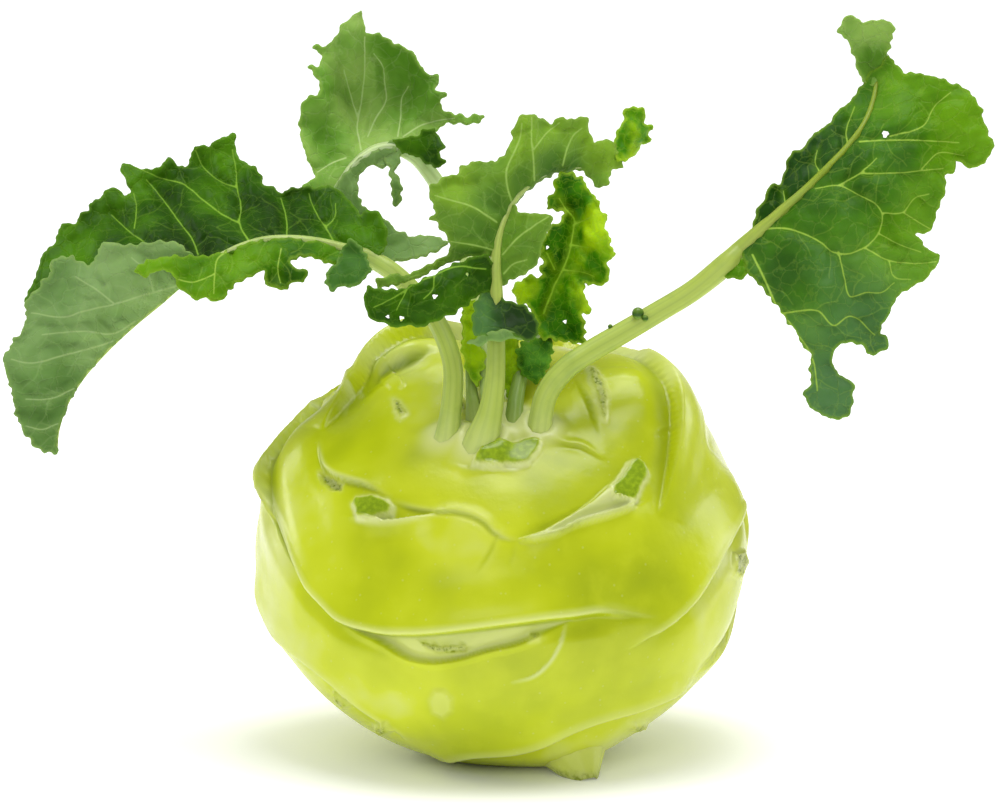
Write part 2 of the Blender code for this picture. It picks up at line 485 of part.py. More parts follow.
FRONT_LEAF = Leaf(
    name="leaf_front",
    stem=(
        (-5.2, 52.6, -24, 3.3), (-4.3, 57, -26.8, 2.7), (-3.2, 62, -27.2, 2.2), (-2.2, 68, -27, 1.9),
        (-1.5, 75, -26.4, 1.75), (-1.1, 80, -25.6, 1.6), (-1.2, 84.5, -25, 1.5), (-1.2, 88.5, -24.3, 1.3),
        (-0.8, 92.5, -23.5, 1.15), (0.2, 96.5, -22, 1.0), (2, 100, -20, 0.9), (4.6, 103, -17, 0.8),
        (7.8, 105.3, -13.5, 0.7), (11.2, 106.4, -10.5, 0.6), (14.8, 106.6, -8, 0.5),
    ),
    blades=(FRONT_BLADE, FRONT_RIGHT_LOBE, FRONT_DARK_LOBE, FRONT_CUP, FRONT_CUP_RIM, FRONT_FRILL),
)

INNER_BLADE = Blade(
    outline=(
        (7.2, 75.4, -6.4), (9.4, 75, -6.4), (12.6, 74.8, -6.4), (15.4, 74.8, -6.4), (14.9, 75.8, -6.4),
        (15.2, 78, -6.6), (14.6, 79.8, -7), (16.2, 80.4, -7.4), (16, 82, -7.4), (15, 84.2, -7),
        (15, 85.6, -6.8), (17.2, 84.8, -7), (18.4, 85.2, -7.2), (19.7, 86.9, -7.6), (19, 88.4, -7.8),
        (19.4, 89.8, -8.2), (20.9, 90.8, -8.6), (20, 91.6, -8.4), (20.1, 93.4, -8.2), (19.3, 93.8, -8),
        (19.4, 95, -7.6), (18.6, 96.4, -7.2), (19.5, 97.6, -7), (18.2, 98.8, -6.4), (17.4, 101.2, -5.4),
        (15.6, 102.6, -4.4), (14.6, 104.8, -3.6), (12.4, 105.6, -3.2), (10.2, 105.2, -3.4), (9.6, 103.6, -3.8),
        (9.7, 102, -4.4), (8, 100, -5), (8.2, 99, -5.2), (10.4, 98.4, -5), (11.6, 98.2, -5.4),
        (11, 96.8, -6), (9.4, 96, -6.8), (7.2, 93.8, -7.4), (7, 91.6, -7.6), (7.4, 89.6, -7.4),
        (6.8, 88, -7), (7.8, 86.8, -6.6), (6, 86.8, -6.8), (4.4, 86.8, -7), (2.8, 85.6, -7.6),
        (2.2, 83.8, -8), (2.4, 82, -8), (4.6, 81.6, -7.4), (5.6, 80.4, -7), (6.4, 78.6, -6.6), (6.4, 77, -6.4),
    ),
    inner=(
        (7.6, 79.6, -4.8), (8.8, 82.8, -4.4), (10.2, 86, -4.2), (11.4, 89.4, -4.2), (12.6, 93, -4.2),
        (13.2, 96.6, -3.6), (13, 100, -2.8), (16, 92, -6.6), (12, 78, -5),
    ),
    ripple=1.1,
)
INNER_LEAF = Leaf(
    name="leaf_inner",
    stem=(
        (1.8, 54, -21, 1.9), (2.6, 58, -23.6, 1.7), (3.1, 62, -22.8, 1.6), (4, 67, -20, 1.6), (5, 72, -16.6, 1.5),
        (6.4, 76.5, -14.4, 1.4), (7.6, 79.6, -13.8, 1.3), (8.8, 82.8, -13.4, 1.2), (10.2, 86, -13.2, 1.05),
        (11.4, 89.4, -13.2, 0.9), (12.6, 93, -13.2, 0.8), (13.2, 96.6, -12.6, 0.65), (13, 100, -11.8, 0.5),
    ),
    blades=(INNER_BLADE,),
)

DARK_HEART_LEAF = Leaf(
    name="heart_leaf_dark",
    stem=(
        (5, 58, -17, 1.4), (5.6, 62, -16, 1.2), (6, 66, -13, 0.9), (6.6, 70, -10.6, 0.7),
        (6.8, 73.4, -9.8, 0.5),
    ),
    blades=(
        Blade(
            outline=(
                (5.8, 65.4, -3.8), (3.8, 66.6, -2.6), (2.9, 69, -1.6), (3.2, 71.6, -1), (2.8, 73.4, -1),
                (4.6, 75.2, -1), (7, 75.8, -1), (9, 75.2, -1.2), (9.4, 73, -1.4), (8.4, 71.6, -1.6),
                (8, 69.6, -2), (7.4, 67, -3),
            ),
            inner=((6, 66.4, -3.2), (6.6, 70, -1.2), (6.8, 73, -0.2)),
        ),
    ),
)
BRIGHT_HEART_LEAF = Leaf(
    name="heart_leaf_bright",
    stem=(
        (0.8, 60, -17, 1.2), (0.9, 64, -14.6, 1.0), (1, 68, -12.8, 0.8), (1, 72, -12, 0.6), (1, 75.6, -12, 0.5),
    ),
    blades=(
        Blade(
            outline=(
                (0.9, 65, -4.8), (-0.2, 66.4, -4.2), (-0.6, 69.6, -3.8), (-0.4, 73, -3.4), (-0.2, 76.4, -3.4),
                (1.2, 77.4, -3.4), (2.6, 76.6, -3.4), (2.2, 74.4, -3.4), (2.6, 72.6, -3.4), (2.2, 70.4, -3.6),
                (2.2, 68, -4), (1.8, 66, -4.4),
            ),
            inner=((1, 68, -3.4), (1, 72, -2.8)),
            ripple=0.3,
        ),
    ),
)
TALL_HEART_LEAF = Leaf(
    name="heart_leaf_tall",
    stem=(
        (-4.6, 60, -20.6, 1.3), (-5.2, 64, -20, 1.1), (-5.6, 69, -18.6, 0.9), (-5.8, 75, -18, 0.7),
        (-5.8, 80.6, -18, 0.5),
    ),
    blades=(
        Blade(
            outline=(
                (-5.4, 67, -9.8), (-6.6, 69, -9.4), (-7.2, 73, -9.4), (-7, 77, -9.6), (-7.3, 80, -9.6),
                (-6.2, 82.6, -9.6), (-4.8, 82.4, -9.6), (-4.6, 79, -9.6), (-4.2, 75, -9.6), (-4.4, 71, -9.6),
            ),
            inner=((-5.8, 73, -8.8), (-5.8, 78, -8.8)),
            ripple=0.3,
        ),
    ),
)

LEAVES = (RIGHT_LEAF, LEFT_LEAF, BACK_LEAF, FRONT_LEAF, INNER_LEAF)
HEART_LEAVES = (DARK_HEART_LEAF, BRIGHT_HEART_LEAF, TALL_HEART_LEAF)


def sight_axes():
    """The three directions that a leaf's points are given along, as rows."""
    up = (0, math.sin(LOOK_DOWN), math.cos(LOOK_DOWN))
    back = (0, math.cos(LOOK_DOWN), -math.sin(LOOK_DOWN))
    return np.array([(1, 0, 0), up, back])


def unit(vectors):
    """The vectors at length 1."""
    return vectors / np.maximum(np.linalg.norm(vectors, axis=-1, keepdims=True), 1e-9)


def smooth(x):
    """0 below 0, 1 above 1, with a soft rise between."""
    x = np.clip(x, 0, 1)
    return x * x * (3 - 2 * x)


def through(knots, points, at):
    """A smooth curve through the points at the knots, read at the given places."""
    knots = np.asarray(knots, float)
    points = np.asarray(points, float)
    slopes = np.gradient(points, knots, axis=0)
    i = np.clip(np.searchsorted(knots, at, side="right") - 1, 0, len(knots) - 2)
    gap = (knots[i + 1] - knots[i])[:, None]
    t = (np.asarray(at) - knots[i])[:, None] / gap
    start = (2 * t**3 - 3 * t**2 + 1) * points[i] + (t**3 - 2 * t**2 + t) * gap * slopes[i]
    return start + (3 * t**2 - 2 * t**3) * points[i + 1] + (t**3 - t**2) * gap * slopes[i + 1]


def lengths_along(points):
    """How far along its line each point is."""
    steps = np.linalg.norm(np.diff(points, axis=0), axis=1)
    return np.concatenate([[0], np.cumsum(steps)])


def material(name, colour, roughness):
    """A plain surface of one colour, given as sRGB from 0 to 1."""
    made = bpy.data.materials.new(name)
    made.use_nodes = True
    shader = made.node_tree.nodes["Principled BSDF"]
    linear = [c / 12.92 if c <= 0.04045 else ((c + 0.055) / 1.055) ** 2.4 for c in colour]
    shader.inputs["Base Color"].default_value = (*linear, 1)
    shader.inputs["Roughness"].default_value = roughness
    shader.inputs["Metallic"].default_value = 0
    made.diffuse_color = (*linear, 1)
    return made


def new_object(name, points, faces, finish=None):
    """An object of these points, in millimetres, and faces, shaded smooth."""
    mesh = bpy.data.meshes.new(name)
    mesh.from_pydata((np.asarray(points) * MM).tolist(), [], faces)
    made = bpy.data.objects.new(name, mesh)
    bpy.context.collection.objects.link(made)
    if finish:
        mesh.materials.append(finish)
    mesh.shade_smooth()
    return made


def helper(made):
    """Marks a shape that only cuts or joins another."""
    made.hide_render = True
    made.display_type = "WIRE"
    return made


def add_boolean(target, operation, other, solver="EXACT"):
    """Joins or cuts the target with the other object."""
    boolean = target.modifiers.new(operation.title(), "BOOLEAN")
    boolean.operation = operation
    boolean.solver = solver
    boolean.object = other


# The bulb


def ball_direction(lon, lat):
    """The direction from the bulb's middle, in its own frame: lon from the front to the right, lat upward."""
    lon, lat = math.radians(lon), math.radians(lat)
    return np.array([math.sin(lon) * math.cos(lat), -math.cos(lon) * math.cos(lat), math.sin(lat)])


def local_axes(spot):
    """At a base or a scar: its outward direction, the one along it and the one up towards the crown."""
    out = ball_direction(spot.lon, spot.lat)
    level = unit(np.array([-out[1], out[0], 0.0]))
    rise = np.cross(out, level)
    turn = math.radians(spot.turn)
    along = math.cos(turn) * level + math.sin(turn) * rise
    return out, along, np.cross(out, along)


def along_and_up(spot, directions):
    """How far along and how far up from the middle of a base or a scar each direction is, in millimetres."""
    out, along, up = local_axes(spot)
    p = BULB_RADIUS * np.arctan2(directions @ along, directions @ out)
    q = BULB_RADIUS * np.arcsin(np.clip(directions @ up, -1, 1))
    return p, q


def base_height(base, directions):
    """How far a leaf base stands out of the ball, or its crease goes in, in millimetres."""
    p, q = along_and_up(base, directions)
    reach = np.clip(1 - (p / base.span) ** 2, 0, 1)
    q = q - base.sag * (p / base.span) ** 2
    below = 0.5 + 0.5 * np.cos(np.pi * np.clip(-q / base.band, 0, 1))
    step = smooth(q / LIP_WIDTH)
    fade = 0.5 + 0.5 * np.cos(np.pi * np.clip((q - LIP_WIDTH) / CREASE_REACH, 0, 1))
    above = base.lip * (1 - step) - base.groove * step * fade
    return reach**0.8 * np.where(q < 0, base.lip * below, above)


def distance_to_line(line, spots, closed=False):
    """How far each spot is from a line of points, and how far along the line its nearest point is."""
    ends = np.roll(line, -1, axis=0) if closed else line[1:]
    starts = line if closed else line[:-1]
    nearest = np.full(len(spots), np.inf)
    along = np.zeros(len(spots))
    passed = 0.0
    for start, end in zip(starts, ends):
        run = end - start
        length = np.linalg.norm(run)
        share = np.clip((spots - start) @ run / max(length**2, 1e-9), 0, 1)
        far = np.linalg.norm(spots - start - share[:, None] * run, axis=1)
        closer = far < nearest
        nearest[closer] = far[closer]
        along[closer] = passed + share[closer] * length
        passed += length
    return nearest, along


def on_front(pixels, met):
    """Pixels laid on the bulb's front, as the (across, up, back) of its points that they meet."""
    spots = (np.array(pixels, float) - (PHOTO_MIDDLE, PHOTO_FLOOR)) * (PHOTO_MM, -PHOTO_MM)
    near = [np.argmin(np.linalg.norm(met[:, :2] - spot, axis=1)) for spot in spots]
    return np.column_stack([spots, met[near, 2]])


def lip_lift(lip, met, seen, normals):
    """How far a lip lifts each of the bulb's points seen, or its crease sinks it, in millimetres."""
    knots = on_front(lip.line, met)
    run = lengths_along(knots)
    spacing = 1.5
    line = through(run, knots, np.linspace(0, run[-1], max(4, round(run[-1] / spacing))))
    run = lengths_along(line)
    far, along = distance_to_line(line, seen)
    nearest = np.column_stack([np.interp(along, run, line[:, k]) for k in range(3)])
    ahead = np.gradient(line, run, axis=0)
    ahead = unit(np.column_stack([np.interp(along, run, ahead[:, k]) for k in range(3)]))
    on_crease_side = ((seen - nearest) * np.cross(normals, ahead)).sum(axis=1) > 0
    q = np.where(on_crease_side, far, -far)
    below = 0.5 + 0.5 * np.cos(np.pi * np.clip(-q / lip.band, 0, 1))
    step = smooth(q / lip.step)
    fade = 0.5 + 0.5 * np.cos(np.pi * np.clip((q - lip.step) / lip.reach, 0, 1))
    above = lip.height * (1 - step) - lip.groove * step * fade
    share = smooth(np.minimum(along, run[-1] - along) / lip.taper)
    return share * np.where(q < 0, lip.height * below, above)


def dress_front(points, outward):
    """Raises the front's lips, stubs and collars: how far each point moves, in millimetres."""
    axes = sight_axes()
    seen, normals = points @ axes.T, outward @ axes.T
    moved = np.zeros_like(points)
    met = seen[normals[:, 2] < MOST_TURNED]
    front = np.flatnonzero(normals[:, 2] < MOST_LIFTED)
    share = smooth((MOST_LIFTED - normals[front, 2]) / TURN_FADE)
    for lip in FRONT_LIPS:
        lift = share * lip_lift(lip, met, seen[front], normals[front])
        moved[front] += lift[:, None] * outward[front]
    for stub in FRONT_STUBS:
        outline = on_front(stub.outline, met)[:, :2]
        spots = seen[front, :2]
        far = distance_to_line(outline, spots, closed=True)[0]
        far = np.where(inside(outline, spots), far, -far)
        rise = share * stub.height * smooth(0.5 + far / stub.flank)
        moved[front] += rise[:, None] * unit(outward[front] + (0.0, 0.0, stub.upward))
    for leaf in LEAVES:
        foot = np.array(leaf.stem, float)[:3]
        away = distance_to_line(foot[:, :3], seen)[0] - foot[1, 3]
        collar = COLLAR_HEIGHT * np.exp(-((away / COLLAR_WIDTH) ** 2))
        moved += collar[:, None] * (unit(foot[2, :3] - foot[0, :3]) @ axes)
    return moved


def bulb_points(directions):
    """The bulb's surface in each direction, in millimetres in the part's frame."""
    half = np.array([BULB_RADIUS, BULB_RADIUS, BULB_HALF_HEIGHT])
    points = directions * half
    normals = unit(directions / half)
    height = np.zeros(len(directions))
    for base in BACK_BASES:
        height += base_height(base, directions)
    for swell in SWELLS:
        away = np.arccos(np.clip(directions @ ball_direction(swell.lon, swell.lat), -1, 1))
        height += swell.height * np.exp(-((away / math.radians(swell.reach)) ** 2))
    from_axis = np.hypot(points[:, 0], points[:, 1])
    dimple = CROWN_DIMPLE * np.exp(-((from_axis / CROWN_DIMPLE_WIDTH) ** 2)) * (directions[:, 2] > 0)
    points = points + normals * (height - dimple)[:, None]
    for scar in BACK_SCARS:
        out, _, up = local_axes(scar)
        p, q = along_and_up(scar, directions)
        within = 1 - ((p / scar.half_length) ** 4 + (q / scar.half_width) ** 4) ** 0.25
        lift = scar.height * smooth(within / SCAR_FLANK + 2 * SCAR_FLANK)
        points = points + lift[:, None] * unit(out + scar.upward * up)
    points = points @ lean_matrix() + BULB_CENTRE
    return points + dress_front(points, normals @ lean_matrix())


def lean_matrix():
    """Rows are the bulb's own axes in the part's frame."""
    c, s = math.cos(BULB_LEAN), math.sin(BULB_LEAN)
    return np.array([(1, 0, 0), (0, c, s), (0, -s, c)])


def tapered_peg(name, foot, top, radii, sides=14):
    """A short round peg between two points, to be joined to the bulb."""
    axis = unit(top - foot)
    across = unit(np.cross(axis, (0.0, 1.0, 0.0)))
    other = np.cross(axis, across)
    points = []
    for end, radius in ((foot, radii[0]), (top, radii[1])):
        for k in range(sides):
            turn = 2 * math.pi * k / sides
            uneven = radius * (1 + PEG_UNEVENNESS * math.sin(3 * turn + 1))
            points.append(end + uneven * (math.cos(turn) * across + math.sin(turn) * other))
    faces = [[k, (k + 1) % sides, sides + (k + 1) % sides, sides + k] for k in range(sides)]
    faces.append(list(range(sides))[::-1])
    faces.append(list(range(sides, 2 * sides)))
    return helper(new_object(name, points, faces))


def floor_cutter():
    """A block below the resting plane, which trims the bulb's flat spots level."""
    shape = bmesh.new()
    bmesh.ops.create_cube(shape, size=1)
    mesh = bpy.data.meshes.new("floor_cutter")
    wide, deep = 120.0, 20.0
    bmesh.ops.scale(shape, vec=(wide * MM, wide * MM, deep * MM), verts=shape.verts)
    bmesh.ops.translate(shape, vec=(0, 0, -deep / 2 * MM), verts=shape.verts)
    shape.to_mesh(mesh)
    shape.free()
    made = bpy.data.objects.new("floor_cutter", mesh)
    bpy.context.collection.objects.link(made)
    return helper(made)


def make_bulb(finish):
    """The bulb with its leaf bases, scars, front stub and root, trimmed level where it rests."""
    ball = bmesh.new()
    bmesh.ops.create_icosphere(ball, subdivisions=BULB_DETAIL, radius=1)
    directions = unit(np.array([v.co for v in ball.verts], float))
    faces = [[v.index for v in f.verts] for f in ball.faces]
    ball.free()
    bulb = new_object("bulb", bulb_points(directions), faces, finish)
    thin = bulb.modifiers.new("Fewer faces", "DECIMATE")
    thin.ratio = BULB_TRIANGLES / len(faces)
    add_boolean(bulb, "UNION", tapered_peg("front_stub", FRONT_STUB_FOOT, FRONT_STUB_TOP, FRONT_STUB_RADII))
    add_boolean(bulb, "UNION", tapered_peg("root_end", ROOT_FOOT, ROOT_TOP, ROOT_RADII))
    add_boolean(bulb, "DIFFERENCE", floor_cutter())
    return bulb


def clearance_of(bulb):
    """The bulb grown by the gap that the stalks keep to it, as a cutter for their ends."""
    bpy.context.view_layer.update()
    seen = bulb.evaluated_get(bpy.context.evaluated_depsgraph_get())
    mesh = bpy.data.meshes.new_from_object(seen)
    points = np.array([v.co + v.normal * STUB_GAP * MM for v in mesh.vertices])
    mesh.vertices.foreach_set("co", points.ravel())
    made = bpy.data.objects.new("bulb_clearance", mesh)
    bpy.context.collection.objects.link(made)
    return helper(made)


# The leaves


def depth_field(known):
    """The back of any place (across, up), from the known points, as the smoothest plate through them."""
    known = np.array(known, float)
    places, backs = known[:, :2], known[:, 2]

    def bend(far):
        return far**2 * np.log(np.maximum(far, 1e-6))

    far = np.linalg.norm(places[:, None] - places[None], axis=2)
    flat = np.hstack([np.ones((len(known), 1)), places])
    whole = np.block([[bend(far) + EASE * np.eye(len(known)), flat], [flat.T, np.zeros((3, 3))]])
    weights = np.linalg.solve(whole, np.concatenate([backs, np.zeros(3)]))

    def back_at(spots):
        far = np.linalg.norm(spots[:, None] - places[None], axis=2)
        return bend(far) @ weights[:-3] + weights[-3] + spots @ weights[-2:]

    return back_at


def inside(outline, spots):
    """Which of the spots lie within the outline."""
    found = np.zeros(len(spots), bool)
    for (x0, y0), (x1, y1) in zip(outline, np.roll(outline, -1, axis=0)):
        crosses = (y0 > spots[:, 1]) != (y1 > spots[:, 1])
        reach = (x1 - x0) * (spots[:, 1] - y0) / (y1 - y0 if y1 != y0 else 1) + x0
        found ^= crosses & (spots[:, 0] < reach)
    return found


def inner_spots(outline):
    """Evenly spread places within the outline, clear of its edge."""
    low, high = outline.min(axis=0), outline.max(axis=0)
    rows = []
    for k, up in enumerate(np.arange(low[1], high[1], INNER_SPACING * ROW_SPACING)):
        across = np.arange(low[0] + (k % 2) * INNER_SPACING / 2, high[0], INNER_SPACING)
        rows.append(np.column_stack([across, np.full(len(across), up)]))
    spots = np.vstack(rows)
    spots = spots[inside(outline, spots)]
    return spots[distance_to_line(outline, spots, closed=True)[0] > EDGE_CLEARANCE]


def blade_mesh(blade):
    """A blade as a thin closed sheet whose two faces are split into the same triangles."""
    outline = np.array(blade.outline, float)[:, :2]
    back_at = depth_field(blade.outline + blade.inner)
    spots = np.vstack([outline, inner_spots(outline)])
    loop = [list(range(len(outline)))]
    flat, _, triangles, *_ = delaunay_2d_cdt([Vector(spot) for spot in spots], [], loop, 1, 1e-4)
    flat = np.array([tuple(spot) for spot in flat])
    back = back_at(flat)
    slope_across = back_at(flat + (SLOPE_STEP, 0)) - back_at(flat - (SLOPE_STEP, 0))
    slope_up = back_at(flat + (0, SLOPE_STEP)) - back_at(flat - (0, SLOPE_STEP))
    slope = np.hypot(slope_across, slope_up) / (2 * SLOPE_STEP)
    steep = np.minimum(np.sqrt(1 + slope**2), MOST_STEEP)
    wave = np.sin(flat[:, 0] * RIPPLE_ACROSS + flat[:, 1] * RIPPLE_UP)
    back = back + blade.ripple * wave * steep + BLADE_DEPTH
    half = BLADE_THICKNESS / 2 * steep
    axes = sight_axes()
    front = np.column_stack([flat, back - half]) @ axes
    rear = np.column_stack([flat, back + half]) @ axes
    faces = []
    edges = {}
    for a, b, c in (list(face) for face in triangles):
        turned = np.cross(flat[b] - flat[a], flat[c] - flat[a]) < 0
        a, b, c = (a, c, b) if turned else (a, b, c)
        faces += [(a, b, c), (a + len(flat), c + len(flat), b + len(flat))]
        for one, two in ((a, b), (b, c), (c, a)):
            edges[(one, two)] = True
    for one, two in edges:
        if (two, one) not in edges:
            far_one, far_two = one + len(flat), two + len(flat)
            faces += [(two, one, far_one), (two, far_one, far_two)]
    return np.vstack([front, rear]), faces


def stem_mesh(stem):
    """A stalk and rib as a round tube that tapers along its points."""
    stem = np.array(stem, float)
    points = stem[:, :3] @ sight_axes()
    knots = lengths_along(points)
    places = np.linspace(0, knots[-1], max(8, round(knots[-1] / STEM_STEP)))
    middle = through(knots, points, places)
    radius = through(knots, stem[:, 3:], places)[:, 0]
    along = unit(np.gradient(middle, places, axis=0))
    side = unit(np.cross(along, (0.3, 1.0, 0.0)))
    other = np.cross(along, side)
    vertices = []
    faces = []
    for k in range(STEM_SIDES):
        turn = 2 * math.pi * k / STEM_SIDES
        vertices.append(middle + radius[:, None] * (math.cos(turn) * side + math.sin(turn) * other))
    vertices = np.stack(vertices, axis=1).reshape(-1, 3)
    for i in range(len(places) - 1):
        for k in range(STEM_SIDES):
            a, b = i * STEM_SIDES + k, i * STEM_SIDES + (k + 1) % STEM_SIDES
            faces.append((a, b, b + STEM_SIDES, a + STEM_SIDES))
    faces.append(tuple(range(STEM_SIDES))[::-1])
    faces.append(tuple(range(len(vertices) - STEM_SIDES, len(vertices))))
    return vertices, faces


def make_leaf(leaf, finish, clearance):
    """A leaf: its stalk and rib joined with its blades, its foot trimmed clear of the bulb.

    The blades are thin, and the exact solver leaves such sheets open, so these joins use the manifold one.
    """
    made = new_object(leaf.name, *stem_mesh(leaf.stem), finish)
    for number, blade in enumerate(leaf.blades):
        sheet = helper(new_object(f"{leaf.name}_blade_{number}", *blade_mesh(blade)))
        add_boolean(made, "UNION", sheet, "MANIFOLD")
    add_boolean(made, "DIFFERENCE", clearance, "MANIFOLD")


def clear_scene():
    """Removes whatever the file holds at the start."""
    for old in list(bpy.data.objects):
        bpy.data.objects.remove(old, do_unlink=True)


def main():
    """Builds every piece of the kohlrabi."""
    clear_scene()
    bpy.context.scene.unit_settings.system = "METRIC"
    skin = material("bulb skin", (0.72, 0.79, 0.16), 0.45)
    blade = material("leaf blade", (0.36, 0.55, 0.12), 0.5)
    young = material("young leaf", (0.47, 0.66, 0.16), 0.5)
    bulb = make_bulb(skin)
    clearance = clearance_of(bulb)
    for leaf in LEAVES:
        make_leaf(leaf, blade, clearance)
    for leaf in HEART_LEAVES:
        make_leaf(leaf, young, clearance)


main()
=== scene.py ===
"""The looks of a fresh kohlrabi: a waxy lime-green bulb ringed with leaf bases, veined leaves with torn and
ruffled edges, crinkled heart leaves, and a few beads of water.

Sizes are in millimetres and are scaled once, by MM. +Z is up, +X to the right, and the crown leans towards
-Y. The points of leaves are given as (across, up, back), as seen when looking down by LOOK_DOWN: across to
the right, up at right angles to the line of sight, back away from the eye. The lines on the bulb's front are
given in pixels of the photograph, right and down, and PHOTO_MM, PHOTO_MIDDLE and PHOTO_FLOOR turn them into
millimetres.
"""

import logging
import math
from collections.abc import Callable
from dataclasses import dataclass
from enum import Enum

import bpy
import numpy as np
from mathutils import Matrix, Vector
from mathutils.geometry import delaunay_2d_cdt


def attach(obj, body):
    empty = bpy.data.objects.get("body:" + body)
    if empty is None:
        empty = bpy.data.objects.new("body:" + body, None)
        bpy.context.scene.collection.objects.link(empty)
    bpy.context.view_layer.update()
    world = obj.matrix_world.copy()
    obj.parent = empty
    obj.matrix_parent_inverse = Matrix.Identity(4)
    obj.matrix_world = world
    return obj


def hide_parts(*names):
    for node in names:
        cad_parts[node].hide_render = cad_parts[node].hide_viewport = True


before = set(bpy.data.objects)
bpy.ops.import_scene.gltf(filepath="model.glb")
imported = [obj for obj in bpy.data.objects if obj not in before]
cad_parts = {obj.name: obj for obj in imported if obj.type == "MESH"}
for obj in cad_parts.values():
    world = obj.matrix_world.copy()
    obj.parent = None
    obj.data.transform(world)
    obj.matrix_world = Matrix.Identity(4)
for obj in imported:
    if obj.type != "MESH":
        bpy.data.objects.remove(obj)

LOG = logging.getLogger("kohlrabi")
MM = 0.001
LOOK_DOWN = math.radians(12.0)

# The middle depth of the blades, and how finely a leaf is made
BLADE_DEPTH = -9.0
MARGIN_STEP = 0.42
INNER_STEP = 0.46
VEIN_STEP = 0.4
ROW_STEP = INNER_STEP * 0.866
BLADE_THICKNESS = 0.42

# How closely a blade's depth keeps to its points, its broad ripples, and what its slope is held at
EASE = 0.02
RIPPLE_ACROSS = 0.55
RIPPLE_UP = 0.35
SLOPE_STEP = 0.2
MOST_STEEP = 2.4
FAR_FROM_VEIN = 4.0

# How light is bent
PLANT_IOR = 1.42
WATER_IOR = 1.33

# How finely a line on the bulb is laid, how many bends its depth may have, and how far a lip reaches round it
LAID_STEP = 0.6
LONG_LINE = 12.0
LONG_BENDS = 6
SHORT_BENDS = 3
LIP_REACH = 12.0

# Which of the bulb's points face the front, by how far back their normal goes, and where its relief fades out
FACES_FRONT = 0.05
RELIEF_END = 0.35
RELIEF_FADE = 0.3

# How much finer the ball's front is: which way that part faces, and where it ends
FINER_UPWARD = 0.3
FINER_FROM = 0.15

# A lip's rolled edge as a share of its height, and how far behind the line it is and how wide
ROLL_SHARE = 0.22
ROLL_BACK = 0.5
ROLL_WIDTH = 0.6

# Where the pale of a lip ends beyond its line, where the painted shade of its hollow is as a share of its
# step, and how wide
PALE_END = 0.3
CREASE_AT = 0.7
CREASE_WIDTH = 0.45

# How the photograph's pixels lie: a pixel's size, and where the middle and the resting height are
PHOTO_MM = 0.1826
PHOTO_MIDDLE = 501.5
PHOTO_FLOOR = 752.0

# How far round a stub is looked at, how its edge wavers, how rough a torn face is, and how wide its rim is
STUB_REACH = 4.0
WAVER = 0.12
WAVER_SIZE = 1.6
TORN_ROUGH = 0.2
TORN_SIZE = 1.1
RIM_WIDTH = 0.5

Points = tuple[tuple[float, ...], ...]
Place = tuple[float, float, float]
Value = float | tuple | bpy.types.NodeSocket


class Side(Enum):
    """Which side of a blade faces the front."""

    UPPER = "upper"
    UNDER = "under"


# Helpers


def unit(vectors: np.ndarray) -> np.ndarray:
    """The vectors at length 1."""
    return vectors / np.maximum(np.linalg.norm(vectors, axis=-1, keepdims=True), 1e-9)


def smooth(x: np.ndarray) -> np.ndarray:
    """0 below 0, 1 above 1, with a soft rise between."""
    x = np.clip(x, 0, 1)
    return x * x * (3 - 2 * x)


def sight_axes() -> np.ndarray:
    """The directions across, up and back, as rows."""
    up = (0, math.sin(LOOK_DOWN), math.cos(LOOK_DOWN))
    back = (0, math.cos(LOOK_DOWN), -math.sin(LOOK_DOWN))
    return np.array([(1, 0, 0), up, back])


def lengths_along(points: np.ndarray) -> np.ndarray:
    """How far along its line each point is."""
    steps = np.linalg.norm(np.diff(points, axis=0), axis=1)
    return np.concatenate([[0], np.cumsum(steps)])


def through(knots: np.ndarray, points: np.ndarray, at: np.ndarray) -> np.ndarray:
    """Reads a smooth curve through points.

    Args:
        knots: Where along the curve each point lies.
        points: The points, one a row.
        at: Where to read the curve.

    Returns:
        The curve's points there, one a row.
    """
    slopes = np.gradient(points, knots, axis=0)
    i = np.clip(np.searchsorted(knots, at, side="right") - 1, 0, len(knots) - 2)
    gap = (knots[i + 1] - knots[i])[:, None]
    t = (at - knots[i])[:, None] / gap
    start = (2 * t**3 - 3 * t**2 + 1) * points[i] + (t**3 - 2 * t**2 + t) * gap * slopes[i]
    return start + (3 * t**2 - 2 * t**3) * points[i + 1] + (t**3 - t**2) * gap * slopes[i + 1]


def uneven(places: np.ndarray, size: float, seed: int) -> np.ndarray:
    """Soft random unevenness from -1 to 1, made of waves that run every way.

    Args:
        places: The places, one a row, in millimetres.
        size: How far apart its bumps are, in millimetres.
        seed: What fixes the waves.

    Returns:
        The unevenness at each place.
    """
    draw = np.random.default_rng(seed)
    total = np.zeros(len(places))
    waves = 9
    for _ in range(waves):
        way = unit(draw.normal(size=places.shape[1]))
        length = size * draw.uniform(0.7, 1.5)
        total += np.sin(2 * np.pi * (places @ way) / length + draw.uniform(0, 2 * np.pi))
    return np.clip(total / (0.45 * waves), -1, 1)


def distance_to_line(
    line: np.ndarray, spots: np.ndarray, closed: bool = False
) -> tuple[np.ndarray, np.ndarray]:
    """How far spots are from a line of points.

    Args:
        line: The line's points.
        spots: The places.
        closed: Whether the line returns to its start.

    Returns:
        Each spot's distance to the line, and how far along the line its nearest point is.
    """
    ends = np.roll(line, -1, axis=0) if closed else line[1:]
    starts = line if closed else line[:-1]
    nearest = np.full(len(spots), np.inf)
    along = np.zeros(len(spots))
    passed = 0.0
    for start, end in zip(starts, ends):
        run = end - start
        length = float(np.linalg.norm(run))
        share = np.clip((spots - start) @ run / max(length**2, 1e-9), 0, 1)
        far = np.linalg.norm(spots - start - share[:, None] * run, axis=1)
        closer = far < nearest
        nearest[closer] = far[closer]
        along[closer] = passed + share[closer] * length
        passed += length
    return nearest, along


